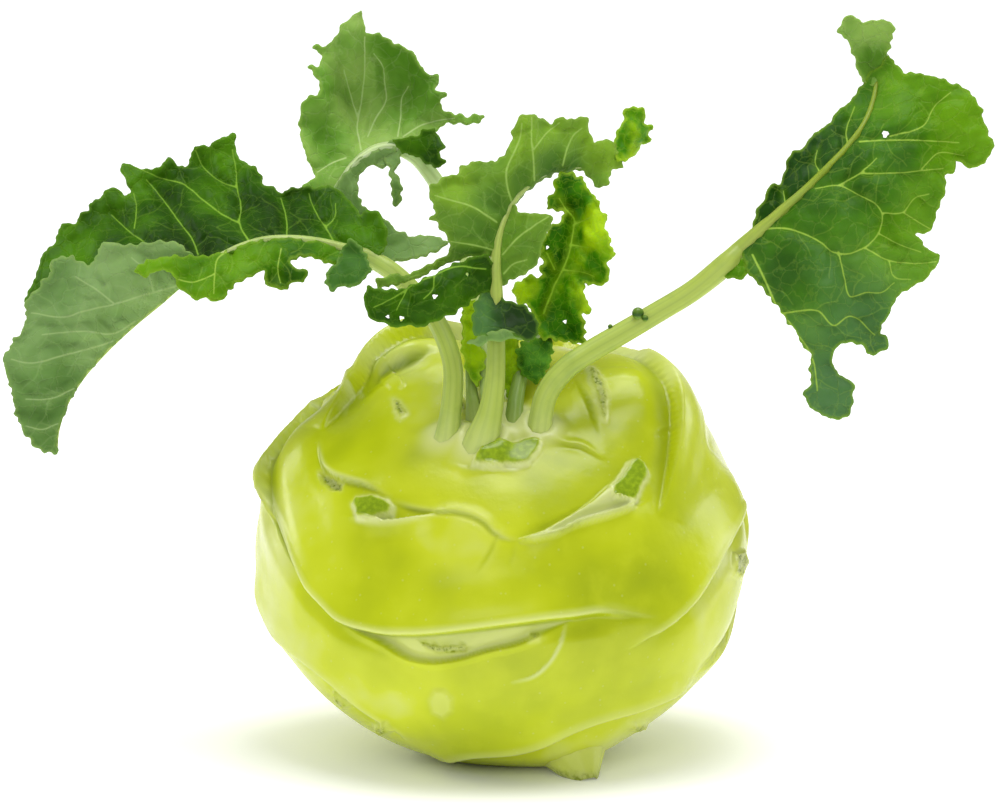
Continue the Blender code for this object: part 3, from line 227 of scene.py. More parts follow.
def inside(outline: np.ndarray, spots: np.ndarray) -> np.ndarray:
    """Finds which spots lie within an outline.

    Args:
        outline: The outline's points, which close on themselves.
        spots: The places, one a row.

    Returns:
        Whether each spot is inside.
    """
    found = np.zeros(len(spots), bool)
    for (x0, y0), (x1, y1) in zip(outline, np.roll(outline, -1, axis=0)):
        crosses = (y0 > spots[:, 1]) != (y1 > spots[:, 1])
        reach = (x1 - x0) * (spots[:, 1] - y0) / (y1 - y0 if y1 != y0 else 1) + x0
        found ^= crosses & (spots[:, 0] < reach)
    return found


def depth_field(known: Points) -> Callable[[np.ndarray], np.ndarray]:
    """Fits the smoothest plate through known depths.

    Args:
        known: Points (across, up, back).

    Returns:
        A function that gives the back of any places (across, up).
    """
    places = np.array(known, float)[:, :2]
    backs = np.array(known, float)[:, 2]

    def bend(far: np.ndarray) -> np.ndarray:
        """How much a point bends the plate at a distance from it."""
        return far**2 * np.log(np.maximum(far, 1e-6))

    far = np.linalg.norm(places[:, None] - places[None], axis=2)
    flat = np.hstack([np.ones((len(places), 1)), places])
    whole = np.block([[bend(far) + EASE * np.eye(len(places)), flat], [flat.T, np.zeros((3, 3))]])
    weights = np.linalg.solve(whole, np.concatenate([backs, np.zeros(3)]))

    def back_at(spots: np.ndarray) -> np.ndarray:
        """The plate's back at places (across, up)."""
        far = np.linalg.norm(spots[:, None] - places[None], axis=2)
        return bend(far) @ weights[:-3] + weights[-3] + spots @ weights[-2:]

    return back_at


def hex_colour(code: str) -> tuple[float, float, float, float]:
    """An sRGB hex colour as linear red, green, blue and alpha."""
    parts = [int(code[i : i + 2], 16) / 255 for i in (1, 3, 5)]
    linear = [c / 12.92 if c <= 0.04045 else ((c + 0.055) / 1.055) ** 2.4 for c in parts]
    return (*linear, 1.0)


def add_node(material: bpy.types.Material, kind: str, settings: dict, inputs: dict) -> bpy.types.Node:
    """Adds a node to a material.

    Args:
        material: The material.
        kind: The node's type.
        settings: Its settings by name.
        inputs: What goes in each input, by name or number: a value, or another node's output.

    Returns:
        The node.
    """
    made = material.node_tree.nodes.new(kind)
    for name, value in settings.items():
        setattr(made, name, value)
    for name, value in inputs.items():
        if isinstance(value, bpy.types.NodeSocket):
            material.node_tree.links.new(value, made.inputs[name])
        else:
            made.inputs[name].default_value = value
    return made


def new_material(name: str) -> bpy.types.Material:
    """An empty node material of that name."""
    made = bpy.data.materials.new(name)
    made.use_nodes = True
    made.node_tree.nodes.clear()
    return made


def finish_material(material: bpy.types.Material, inputs: dict) -> bpy.types.Material:
    """Ends a material in one Principled shader with these inputs."""
    shader = add_node(material, "ShaderNodeBsdfPrincipled", {}, inputs)
    add_node(material, "ShaderNodeOutputMaterial", {}, {"Surface": shader.outputs["BSDF"]})
    return material


def blend_colours(
    material: bpy.types.Material, share: Value, first: Value, second: Value
) -> bpy.types.NodeSocket:
    """Mixes two colours.

    Args:
        material: The material.
        share: How much of the second colour there is, from 0 to 1.
        first: The colour where the share is 0.
        second: The colour where the share is 1.

    Returns:
        The mix.
    """
    settings = {"data_type": "RGBA", "blend_type": "MIX"}
    mixed = add_node(material, "ShaderNodeMix", settings, {0: share, 6: first, 7: second})
    return mixed.outputs[2]


def ramp(
    material: bpy.types.Material, value: Value, low: float, high: float, at_low: float, at_high: float
) -> bpy.types.NodeSocket:
    """Turns a value from low..high to at_low..at_high, and holds it at the ends.

    Args:
        material: The material.
        value: The value.
        low: Where the ramp begins.
        high: Where the ramp ends.
        at_low: What it gives up to low.
        at_high: What it gives from high on.

    Returns:
        The value on the ramp.
    """
    inputs = {"Value": value, 1: low, 2: high, 3: at_low, 4: at_high}
    return add_node(material, "ShaderNodeMapRange", {}, inputs).outputs[0]


def read_attribute(material: bpy.types.Material, name: str) -> bpy.types.NodeSocket:
    """What a mesh attribute holds at each point."""
    return add_node(material, "ShaderNodeAttribute", {"attribute_name": name}, {}).outputs["Fac"]


def object_places(material: bpy.types.Material) -> bpy.types.NodeSocket:
    """The places in the object's own axes."""
    return add_node(material, "ShaderNodeTexCoord", {}, {}).outputs["Object"]


def noise(
    material: bpy.types.Material, place: Value, size: float, detail: float, output: str = "Fac"
) -> bpy.types.NodeSocket:
    """Makes soft, cloudy noise.

    Args:
        material: The material.
        place: Where it is read.
        size: How far apart its clouds are, in millimetres.
        detail: How many finer layers it has.
        output: Fac for one number from 0 to 1, or Color for three.

    Returns:
        The noise.
    """
    inputs = {"Vector": place, "Scale": 1 / (size * MM), "Detail": detail}
    return add_node(material, "ShaderNodeTexNoise", {}, inputs).outputs[output]


def reckon(material: bpy.types.Material, operation: str, *values: Value) -> bpy.types.NodeSocket:
    """What ADD, MULTIPLY or MULTIPLY_ADD makes of the values."""
    return add_node(material, "ShaderNodeMath", {"operation": operation}, dict(enumerate(values))).outputs[0]


def relief(
    material: bpy.types.Material, height: Value, strength: float, depth: float
) -> bpy.types.NodeSocket:
    """Makes a fine relief that only the light sees.

    Args:
        material: The material.
        height: The relief's height, from 0 to 1.
        strength: How strongly it shows.
        depth: How deep it is, in millimetres.

    Returns:
        The surface's direction.
    """
    inputs = {"Height": height, "Strength": strength, "Distance": depth * MM}
    return add_node(material, "ShaderNodeBump", {}, inputs).outputs[0]


def deselect_all() -> None:
    """Leaves nothing selected."""
    bpy.ops.object.select_all(action="DESELECT")


def add_mesh(name: str, points: np.ndarray, faces: list, materials: list) -> bpy.types.Object:
    """Makes an object from points and faces.

    Args:
        name: The object's name.
        points: The points in millimetres, one a row.
        faces: The points of each face.
        materials: The materials, in order.

    Returns:
        The object, shaded smooth.
    """
    mesh = bpy.data.meshes.new(name)
    mesh.from_pydata((points * MM).tolist(), [], faces)
    made = bpy.data.objects.new(name, mesh)
    bpy.context.collection.objects.link(made)
    for finish in materials:
        mesh.materials.append(finish)
    mesh.shade_smooth()
    return made


def write_attribute(made: bpy.types.Object, name: str, values: np.ndarray) -> None:
    """Stores a number for each point of a mesh."""
    made.data.attributes.new(name, "FLOAT", "POINT").data.foreach_set("value", values.astype(np.float32))


def apply_modifier(made: bpy.types.Object, kind: str, settings: dict) -> None:
    """Adds a modifier to an object and applies it.

    Args:
        made: The object.
        kind: The modifier's type.
        settings: Its settings by name.
    """
    deselect_all()
    made.select_set(True)
    bpy.context.view_layer.objects.active = made
    modifier = made.modifiers.new(kind.title(), kind)
    for name, value in settings.items():
        setattr(modifier, name, value)
    bpy.ops.object.modifier_apply(modifier=modifier.name)


def add_drop(name: str, place: np.ndarray, radius: float, finish: bpy.types.Material) -> bpy.types.Object:
    """Adds a bead of water.

    Args:
        name: The object's name.
        place: Its middle, in millimetres.
        radius: Its radius, in millimetres.
        finish: Its material.

    Returns:
        The bead.
    """
    deselect_all()
    bpy.ops.mesh.primitive_uv_sphere_add(segments=24, ring_count=16, radius=radius * MM, location=place * MM)
    bpy.ops.object.transform_apply(location=True, rotation=True, scale=True)
    made = bpy.context.object
    made.name = name
    made.data.materials.append(finish)
    made.data.shade_smooth()
    heights = np.array([vertex.co.z for vertex in made.data.vertices]) / MM
    # The bead's height is kept for its painted reflection
    write_attribute(made, "tone_and_painted_light", (heights - place[2]) / radius)
    for blank in ("vein", "fine_vein", "margin", "bloom", "run", "string"):
        write_attribute(made, blank, np.zeros(len(heights)))
    return made


def join(name: str, parts: list[bpy.types.Object]) -> bpy.types.Object:
    """Joins objects into one.

    Args:
        name: The name of the whole.
        parts: The objects, of which the first one stays.

    Returns:
        The whole.
    """
    deselect_all()
    for part in parts:
        part.select_set(True)
    bpy.context.view_layer.objects.active = parts[0]
    bpy.ops.object.join()
    parts[0].name = name
    parts[0].data.name = name
    return parts[0]


def hand_in(made: bpy.types.Object, slot: str, *nodes: str) -> None:
    """Puts a finished piece in the frame, in place of the solids that it stands for.

    Args:
        made: The piece.
        slot: Its material slot; not used.
        nodes: The CAD nodes that it replaces.
    """
    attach(made, "root")
    if nodes:
        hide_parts(*nodes)
    made.data.calc_loop_triangles()
    LOG.info("%s: %d triangles", made.name, len(made.data.loop_triangles))


# Finishes


@dataclass(frozen=True)
class LeafFinish:
    """One side of a brassica leaf: waxy skin over a net of veins.

    The upper side is deep green and satin. The underside is greyer and duller, from its bloom of wax, and its
    veins are paler. The green drifts softly over the blade, and it is fresher beside the veins. Over that lie
    painted shade, dark where the blade lies in shadow, and painted light, fresh where light falls on it.
    """

    name: str
    # dark, deep and fresh are the leaf's own greens; dark also serves as painted shade and fresh as painted
    # light
    dark: str
    deep: str
    fresh: str
    vein: str
    margin: str
    wax: str = "#557d4e"
    roughness: float = 0.45
    fine: float = 0.17
    net: float = 0.16
    drift_size: float = 11.0
    cell_size: float = 3.2

    def make(self) -> bpy.types.Material:
        """Makes the material, which reads the blade's attributes tone, bloom, vein, fine_vein and margin; the
        tone carries painted shade and painted light.

        Returns:
            The material.
        """
        made = new_material(self.name)
        place = object_places(made)
        from_vein = read_attribute(made, "vein")
        drift = noise(made, place, self.drift_size, 3.0)
        # The drift is the blade's own uneven green; the attribute added to it is painted shade and painted
        # light
        tone_and_painted_light = reckon(made, "MULTIPLY_ADD", drift, 3.0, -1.3)
        tone_and_painted_light = reckon(made, "ADD", tone_and_painted_light, read_attribute(made, "tone_and_painted_light"))
        tissue = blend_colours(
            made, ramp(made, tone_and_painted_light, -1.0, 0.0, 0, 1), hex_colour(self.dark), hex_colour(self.deep)
        )
        tissue = blend_colours(made, ramp(made, tone_and_painted_light, 0.0, 1.0, 0, 1), tissue, hex_colour(self.fresh))
        near_vein = ramp(made, from_vein, 0.0, 1.4, 0.3, 0.0)
        tissue = blend_colours(made, near_vein, tissue, hex_colour(self.fresh))
        tissue = blend_colours(made, read_attribute(made, "bloom"), tissue, hex_colour(self.wax))
        wander = noise(made, place, 1.5, 2.0, "Color")
        warped = add_node(
            made, "ShaderNodeVectorMath", {"operation": "MULTIPLY_ADD"},
            {0: wander, 1: (1.5 * MM, 1.5 * MM, 1.5 * MM), 2: place},
        ).outputs[0]
        cells = add_node(
            made, "ShaderNodeTexVoronoi", {"feature": "DISTANCE_TO_EDGE"},
            {"Vector": warped, "Scale": 1 / (self.cell_size * MM)},
        ).outputs["Distance"]
        net = ramp(made, cells, 0.0, 0.06, 1.0, 0.0)
        net_share = reckon(made, "MULTIPLY", net, self.net)
        tissue = blend_colours(made, net_share, tissue, hex_colour(self.vein))
        fine = ramp(made, read_attribute(made, "fine_vein"), -0.05, 0.12, self.fine, 0.0)
        tissue = blend_colours(made, fine, tissue, hex_colour(self.vein))
        at_margin = ramp(made, read_attribute(made, "margin"), 0.0, 0.6, 0.6, 0.0)
        tissue = blend_colours(made, at_margin, tissue, hex_colour(self.margin))
        at_vein = ramp(made, from_vein, -0.05, 0.14, 0.92, 0.0)
        colour = blend_colours(made, at_vein, tissue, hex_colour(self.vein))
        grain = noise(made, place, 0.9, 3.0)
        height = reckon(made, "MULTIPLY_ADD", net, -0.8, grain)
        bump = relief(made, height, 0.5, 0.22)
        return finish_material(made, {
            "Base Color": colour, "Roughness": self.roughness, "Normal": bump, "IOR": PLANT_IOR,
            "Specular IOR Level": 0.1,
            "Subsurface Weight": 0.12, "Subsurface Radius": (0.5, 1.0, 0.1), "Subsurface Scale": 0.8 * MM,
        })


@dataclass(frozen=True)
class StalkFinish:
    """A leaf stalk: smooth, juicy and pale green, with faint lengthwise strings and a nearly white foot.

    The stalk's colour turns into the rib's over a run that is given in millimetres from its foot.
    """

    name: str
    foot: str
    stalk: str
    rib: str
    string: str = "#84a040"
    rib_run: tuple[float, float] = (34.0, 62.0)

    def make(self) -> bpy.types.Material:
        """Makes the material, which reads the stalk's attributes run and string.

        Returns:
            The material.
        """
        made = new_material(self.name)
        run = read_attribute(made, "run")
        place = object_places(made)
        colour = blend_colours(
            made, ramp(made, run, 0.0, 10.0, 0, 1), hex_colour(self.foot), hex_colour(self.stalk)
        )
        colour = blend_colours(made, ramp(made, run, *self.rib_run, 0, 1), colour, hex_colour(self.rib))
        drift = noise(made, place, 5, 3.0)
        colour = blend_colours(made, ramp(made, drift, 0.5, 0.7, 0.0, 0.35), colour, hex_colour(self.string))
        string = read_attribute(made, "string")
        colour = blend_colours(made, ramp(made, string, 0.2, 1.0, 0.0, 0.3), colour, hex_colour(self.string))
        bump = relief(made, drift, 0.25, 0.3)
        return finish_material(made, {
            "Base Color": colour, "Roughness": 0.42, "Normal": bump, "IOR": PLANT_IOR,
            "Subsurface Weight": 0.3, "Subsurface Radius": (1.0, 1.2, 0.35), "Subsurface Scale": 1.4 * MM,
        })


@dataclass(frozen=True)
class DropFinish:
    """A bead of water on a stalk, with a painted reflection: the dark green of the leaves above over a light
    lower rim.
    """

    name: str = "water bead"
    # dark and light are the colours of the painted reflection: the leaves above, and the lower rim
    dark: str = "#2f560c"
    light: str = "#8fb24c"

    def make(self) -> bpy.types.Material:
        """Makes the material, which reads the bead's attribute tone, its height, for its painted reflection.

        Returns:
            The material.
        """
        made = new_material(self.name)
        high = read_attribute(made, "tone_and_painted_light")
        # Painted reflection: light at the lower rim, the dark leaves above it, and a paler top as a painted
        # highlight
        colour = blend_colours(
            made, ramp(made, high, -0.9, -0.2, 0, 1), hex_colour(self.light), hex_colour(self.dark)
        )
        colour = blend_colours(made, ramp(made, high, 0.0, 0.8, 0, 0.5), colour, hex_colour(self.light))
        return finish_material(made, {"Base Color": colour, "Roughness": 0.04, "IOR": WATER_IOR})


@dataclass(frozen=True)
class BulbFinish:
    """The bulb's skin: taut and waxy, lime green over pale flesh, so light sinks in and it glows a little.

    The lips and the bands under them are pale, with a painted highlight along some edges, the creases are
    olive, which is painted shade, torn stubs are stringy, and cut ones are wet and green. Painted shade
    deepens the lime where shade falls, and painted highlight pales it where light falls.
    """

    name: str = "kohlrabi skin"
    # lime, deep and glow are the skin's own greens and pale its pale skin; deep also serves as painted shade,
    # and glow and pale as painted highlight
    lime: str = "#bcc90c"
    deep: str = "#9fae0a"
    glow: str = "#cdd826"
    pale: str = "#d9e09a"
    # The olive of the creases is painted shade
    crease: str = "#7c8f14"
    torn: str = "#b6bf66"
    torn_dark: str = "#76871c"
    cut: str = "#7f9a08"
    cut_wet: str = "#9db816"

    def make(self) -> bpy.types.Material:
        """Makes the material, which reads the bulb's attributes tone, pale, crease, torn and cut; the tone
        carries painted shade and painted highlight, the pale some painted highlight, and the crease painted
        shade.

        Returns:
            The material.
        """
        made = new_material(self.name)
        place = object_places(made)
        clouds = noise(made, place, 22, 3.0)
        mottle = noise(made, place, 5, 4.0)
        # The clouds are the skin's own uneven green; the attribute added to them is painted shade toward deep
        # and painted highlight toward glow and pale
        tone_and_painted_light = reckon(made, "MULTIPLY_ADD", clouds, 2.6, -1.3)
        tone_and_painted_light = reckon(made, "ADD", tone_and_painted_light, read_attribute(made, "tone_and_painted_light"))
        colour = blend_colours(
            made, ramp(made, tone_and_painted_light, -0.9, 0.0, 0, 1), hex_colour(self.deep), hex_colour(self.lime)
        )
        colour = blend_colours(made, ramp(made, tone_and_painted_light, 0.0, 0.5, 0, 0.8), colour, hex_colour(self.glow))
        colour = blend_colours(made, ramp(made, tone_and_painted_light, 0.4, 1.1, 0, 0.8), colour, hex_colour(self.pale))
        colour = blend_colours(made, ramp(made, mottle, 0.5, 0.74, 0, 0.3), colour, hex_colour(self.glow))
        dots = add_node(
            made, "ShaderNodeTexVoronoi", {"feature": "F1"}, {"Vector": place, "Scale": 1 / (2.2 * MM)}
        ).outputs["Distance"]
        colour = blend_colours(made, ramp(made, dots, 0.06, 0.14, 0.18, 0.0), colour, hex_colour(self.pale))
        # Pale lips, scars and collars; along the upper left lip the pale is a painted highlight
        colour = blend_colours(made, read_attribute(made, "pale"), colour, hex_colour(self.pale))
        # Painted shade in the creases, in olive
        colour = blend_colours(made, read_attribute(made, "crease"), colour, hex_colour(self.crease))
        fibres = noise(made, place, 0.8, 5.0)
        rag = blend_colours(
            made, ramp(made, fibres, 0.36, 0.5, 0, 1), hex_colour(self.torn_dark), hex_colour(self.torn)
        )
        torn = read_attribute(made, "torn")
        colour = blend_colours(made, torn, colour, rag)
        wet = blend_colours(
            made, ramp(made, fibres, 0.4, 0.75, 0, 1), hex_colour(self.cut), hex_colour(self.cut_wet)
        )
        colour = blend_colours(made, read_attribute(made, "cut"), colour, wet)
        ragged = reckon(made, "MULTIPLY", fibres, torn)
        height = reckon(made, "MULTIPLY_ADD", mottle, 0.4, ragged)
        bump = relief(made, height, 0.5, 0.8)
        return finish_material(made, {
            "Base Color": colour, "Roughness": 0.26, "Normal": bump, "IOR": PLANT_IOR,
            "Specular IOR Level": 0.5,
            "Subsurface Weight": 0.2, "Subsurface Radius": (1.0, 1.1, 0.2), "Subsurface Scale": 2.0 * MM,
        })


UPPER = LeafFinish(
    name="leaf upper side", dark="#1a4201", deep="#3f7303", fresh="#66990e", vein="#a3c64c", margin="#86ad2e",
    net=0.12,
)
DARK_UPPER = LeafFinish(
    name="dark leaf upper side", dark="#142e00", deep="#275000", fresh="#4b7e06", vein="#86b238",
    margin="#6a9628", net=0.12,
)
BLUISH_UPPER = LeafFinish(
    name="bluish leaf upper side", dark="#20480e", deep="#33631a", fresh="#528030", vein="#93b95a",
    margin="#7ea64a", roughness=0.52, net=0.12,
)
BACK_UPPER = LeafFinish(
    name="back leaf upper side", dark="#467a10", deep="#6a9a32", fresh="#96b95a", vein="#bcd48c",
    margin="#92b650", roughness=0.5, net=0.14,
)
UNDER = LeafFinish(
    name="leaf underside", dark="#4d7430", deep="#678c46", fresh="#86a662", vein="#9ab574", margin="#8fae5c",
    roughness=0.6, net=0.16,
)
FRONT_UNDER = LeafFinish(
    name="front leaf underside", dark="#3f6a1c", deep="#5a8328", fresh="#7ca42a", vein="#9dbf5c",
    margin="#8fb048", roughness=0.55, net=0.16,
)
YOUNG_UPPER = LeafFinish(
    name="young leaf", dark="#1c5200", deep="#458404", fresh="#a6cc0e", vein="#9cc634", margin="#b2d636",
    net=0.3, drift_size=5.0, cell_size=1.7,
)
YOUNG_DARK = LeafFinish(
    name="dark heart leaf", dark="#123a04", deep="#265a0c", fresh="#5a962a", vein="#86b82a", margin="#80b42a",
    net=0.35, drift_size=4.0, cell_size=1.3,
)
STALK = StalkFinish(name="leaf stalk", foot="#cfda88", stalk="#afc255", rib="#b4cc74")
RIGHT_STALK = StalkFinish(
    name="right leaf stalk", foot="#cfda88", stalk="#afc255", rib="#8aa022", rib_run=(52.0, 76.0),
)
PALE_STALK = StalkFinish(name="back leaf stalk", foot="#c9d888", stalk="#b4ca70", rib="#c4dc96")
SHADED_STALK = StalkFinish(name="inner leaf stalk", foot="#a9ba62", stalk="#7d9a38", rib="#8fb04a")
DROP = DropFinish()
SKIN = BulbFinish()

LEAF_FINISHES = (
    UPPER, DARK_UPPER, BLUISH_UPPER, BACK_UPPER, UNDER, FRONT_UNDER, YOUNG_UPPER, YOUNG_DARK, STALK,
    RIGHT_STALK, PALE_STALK, SHADED_STALK, DROP,
)

# The leaves


@dataclass(frozen=True)
class Vein:
    """A vein through its points (across, up), which thins towards its tip."""

    points: Points
    width: float = 0.5


@dataclass(frozen=True)
class Blade:
    """One spread of a leaf.

    The outline and the inner points are (across, up, back), with the back counted from BLADE_DEPTH, the tones
    are (across, up, from dark -1 to fresh 1), painted shade where the blade lies in shadow and painted light
    where light falls on it, the blooms are (across, up, share of wax), and the holes are (across, up,
    radius).
    The ripple, ruffle, crinkle and teeth are how high or deep each of them is.
    """

    outline: Points
    inner: Points = ()
    ripple: float = 0.5
    shows: Side = Side.UPPER
    upper: LeafFinish = UPPER
    under: LeafFinish = UNDER
    veins: tuple[Vein, ...] = ()
    tones_and_painted_light: Points = ()
    blooms: Points = ()
    holes: Points = ()
    ruffle: float = 0.8
    crinkle: float = 0.12
    teeth: float = 0.3


@dataclass(frozen=True)
class Leaf:
    """A leaf: its stalk and rib as (across, up, back, radius), and its blades, which overlap the rib.

    The rib sinks by a share of its radius behind a blade that shows its upper side. Beads of water on it are
    the drops (across, up, back, radius).
    """

    name: str
    stem: Points
    blades: tuple[Blade, ...]
    stalk: StalkFinish = STALK
    slot: str = "leaf_blade"
    rib_sink: float = 0.8
    drops: Points = ()


def beside(points: Points, across: float, up: float) -> Points:
    """Moves points a little, so that a second blade overlaps the first along their rib.

    Args:
        points: The points (across, up, back).
        across: How far they move to the right.
        up: How far they move up.

    Returns:
        The moved points.
    """
    return tuple((x + across, y + up, back) for x, y, back in points)


RIGHT_VEINS = (
    Vein(((51.5, 80), (57.5, 80.3), (60, 77.8), (62.7, 79.4), (67.5, 76)), 0.6),
    Vein(((45.5, 90.5), (47.6, 86), (50, 81), (53, 77), (56, 72), (57, 66)), 0.8),
    Vein(((45, 94.5), (49, 95.3), (52, 95.2), (55, 94.2), (58, 92.6), (60, 91), (62.5, 90.7), (65.5, 91.8),
          (68.5, 95.3), (68.8, 98.2), (67.4, 100), (65, 101.2), (61, 103), (57, 102.5)), 0.62),
    Vein(((68.8, 98.2), (72.6, 98.3), (75, 101), (77.5, 101.7)), 0.45),
    Vein(((72.6, 98.3), (78, 95)), 0.36),
    Vein(((65.5, 91.8), (70, 89.5), (75, 89), (79, 89.2)), 0.5),
    Vein(((61, 91), (62, 86), (62.8, 83), (66, 83.8), (68.5, 83.7), (71, 85.5)), 0.5),
    Vein(((68, 94.5), (72, 92.5), (76, 91)), 0.36),
    Vein(((61, 103), (65, 105.3), (68, 108)), 0.5),
    Vein(((65, 105.3), (70, 105.3), (80, 106.3)), 0.5),
    Vein(((65, 111), (70, 111.3), (83, 111)), 0.5),
    Vein(((70.5, 112), (76.5, 114), (79, 118), (81.5, 120)), 0.45),
    Vein(((51.5, 99.5), (51.2, 102)), 0.36),
    Vein(((58, 105), (57, 107.5), (57.3, 109.5)), 0.4),
    Vein(((63, 110), (62.7, 113), (64.3, 117.5)), 0.4),
    Vein(((76, 106), (79, 109), (84, 108.6)), 0.3),
    Vein(((70, 89.5), (71, 86.5), (74, 86)), 0.3),
)
# Painted shade and painted light on the right leaf: its left half, which faces away, dark, and its right half
# fresh
RIGHT_TONES_AND_PAINTED_LIGHT = (
    (49, 100, -1.5), (53, 105, -1.4), (56, 109, -1.3), (61, 115, -0.9), (64, 120, -0.3), (47, 88, -0.5),
    (58, 66, -0.6), (66, 80, -0.3), (62, 100, -0.2), (68, 93, 0.5), (66, 97, 0.3), (75, 101, 1.1),
    (78, 96, 0.9), (77, 104, 0.6), (84, 109, 1.0), (82, 117, 0.9), (76, 116, 0.3), (72, 122, 0.9),
    (70, 118, 0.4), (55, 84, -0.3), (86, 111, 0.6), (52, 94, -0.4), (60, 94, -0.6), (70, 108, -0.4),
    (64, 106, -0.9), (74, 111, -0.6), (58, 100, -0.5), (54, 97, -0.2), (72, 88, 0.6),
)
RIGHT_BLOOMS = (
    (60, 63, 0.8), (58, 68, 0.75), (57, 76, 0.55), (64, 78, 0.6), (68, 84, 0.5), (60, 86, 0.4), (52, 90, 0.1),
    (70, 95, 0.0), (66, 105, 0.05), (50, 100, 0.0), (78, 110, 0.0), (75, 90, 0.15), (60, 96, 0.1),
    (70, 108, 0.15), (82, 116, 0.0), (54, 84, 0.1),
)
LEFT_FAR_VEINS = (
    Vein(((-30, 92), (-32, 95.5), (-34.5, 100), (-35, 102)), 0.5),
    Vein(((-32, 95.5), (-30.3, 97.5), (-30.2, 100)), 0.36),
    Vein(((-39, 93), (-39.2, 97), (-40.3, 101)), 0.5),
    Vein(((-45.7, 92.8), (-47.7, 96.3), (-47.5, 99.5), (-48.2, 103), (-48.6, 107), (-49.2, 110)), 0.6),
    Vein(((-48.2, 103), (-51, 104), (-54.5, 106.8), (-56, 110)), 0.4),
    Vein(((-47.7, 96.3), (-51, 98), (-54.5, 100.7), (-58, 103.5), (-62, 104.8), (-67, 106.8)), 0.5),
    Vein(((-55, 90.5), (-56, 93), (-59, 97), (-62, 101), (-65, 104.5)), 0.5),
    Vein(((-65, 93), (-68.5, 95.5), (-71.2, 98)), 0.45),
    Vein(((-66.8, 95.5), (-66.6, 99), (-67.2, 102)), 0.36),
)
# Painted shade and painted light on the far left blade
LEFT_FAR_TONES_AND_PAINTED_LIGHT = (
    (-24, 95, 0.3), (-32, 98, -0.1), (-42, 99, -0.5), (-52, 104, 0.2), (-60, 99, -0.4), (-66, 104, 0.7),
    (-72, 98, 0.2), (-78, 92, 0.5), (-50, 111, 0.9), (-58, 92, -0.8), (-47, 94, -0.7), (-36, 95, -0.4),
    (-70, 94, -0.4), (-57, 106, 0.3),
)
# Painted shade and painted light on the near left blade
LEFT_NEAR_TONES_AND_PAINTED_LIGHT = (
    (-39, 86.5, -1.3), (-57, 87, 0.3), (-50, 88.5, 0.6), (-53, 84.5, 0.6), (-61, 88.6, 0.7), (-45, 89.6, 0.3),
    (-36, 87, -1.0), (-33, 90.4, -0.2), (-42.5, 87.5, -0.6),
)
# Painted shade and painted light on the back leaf
BACK_TONES_AND_PAINTED_LIGHT = (
    (-20, 127, -0.8), (-14, 124, -1.0), (-16, 120, -0.3), (-27, 125, 0.7), (-30, 118, 0.6), (-24, 113, 0.9),
    (-33, 112, -0.4), (-34, 108, 0.2), (-12, 116, 0.5), (-22, 118, 0.4), (-34, 121, -0.4), (-26, 133, 0.1),
    (-19, 123, -0.5), (-32, 99, 0.3), (-13, 120.5, -0.7),
)
LEFT_NEAR_VEINS = (
    Vein(((-50, 91), (-51.5, 89.8), (-52, 87), (-52.2, 83.5)), 0.5),
    Vein(((-52, 87), (-56, 85.5), (-60, 86.5)), 0.36),
    Vein(((-40, 91.6), (-40.5, 88), (-40, 85.4)), 0.4),
)
LEFT_FOLDED_VEINS = (
    Vein(((-57.4, 85.6), (-61, 84.4), (-65, 83.3), (-70, 81.7), (-75, 80.5), (-79, 79.3), (-85, 80)), 0.6),
    Vein(((-70, 81.7), (-73, 84), (-77, 86.5)), 0.45),
    Vein(((-66.5, 78.6), (-70, 76.5), (-76, 76.8), (-83, 76)), 0.5),
    Vein(((-70.5, 75), (-73.5, 74), (-79, 72.5), (-85, 71), (-88.6, 71.6)), 0.5),
    Vein(((-63, 83.7), (-64, 87), (-67, 90)), 0.4),
    Vein(((-77.5, 66.4), (-82, 64.5), (-86, 64.5)), 0.4),
    Vein(((-80.4, 60), (-83.4, 59), (-86, 59.6)), 0.3),
)
BACK_VEINS = (
    Vein(((-25.7, 110), (-26.5, 114), (-26, 118), (-25.4, 122), (-25.2, 131)), 0.6),
    Vein(((-26.5, 116), (-28, 121), (-29, 125)), 0.45),
    Vein(((-24.5, 112.5), (-23, 116), (-21.3, 119), (-21.5, 123), (-22, 126), (-23.5, 128)), 0.5),
    Vein(((-19, 112.5), (-18.5, 116), (-18.3, 119.5), (-17, 122)), 0.45),
    Vein(((-18, 112.5), (-15, 114.5), (-12, 115.5), (-8.5, 116)), 0.5),
    Vein(((-28.5, 108.5), (-31, 107.6), (-34, 105.7)), 0.5),
)
FRONT_VEINS = (
    Vein(((-1, 96.5), (-3, 97.8), (-5.5, 99.2), (-8, 100), (-12, 101.2)), 0.55),
    Vein(((1.8, 100), (1, 102.5), (0.8, 105.3), (2, 108.5), (3.5, 112), (3.7, 114.5)), 0.55),
    Vein(((5.8, 104.2), (5.6, 109), (5.4, 112), (5.3, 115.5)), 0.5),
    Vein(((5.6, 109.5), (8, 112.5), (10.5, 114.7)), 0.4),
    Vein(((11, 107), (11.8, 110), (13, 112.5), (14.5, 113.8)), 0.45),
    Vein(((-1.6, 91.5), (-5, 92.4), (-9, 93)), 0.45),
)
FRONT_LOBE_VEINS = (
    Vein(((0.3, 90.6), (2, 92.5), (3.5, 94), (6, 95.8), (8.5, 97.4)), 0.5),
    Vein(((0.4, 87.2), (2, 88.8), (4.5, 89.7)), 0.4),
)
FRONT_DARK_VEINS = (
    Vein(((-3, 88), (-8, 88.3), (-12, 86.8), (-16, 85), (-20, 82.5), (-23, 81)), 0.55),
    Vein(((-12.2, 86.5), (-12.5, 84), (-14, 82.5)), 0.4),
    Vein(((-17, 84.4), (-19, 80.5)), 0.36),
)
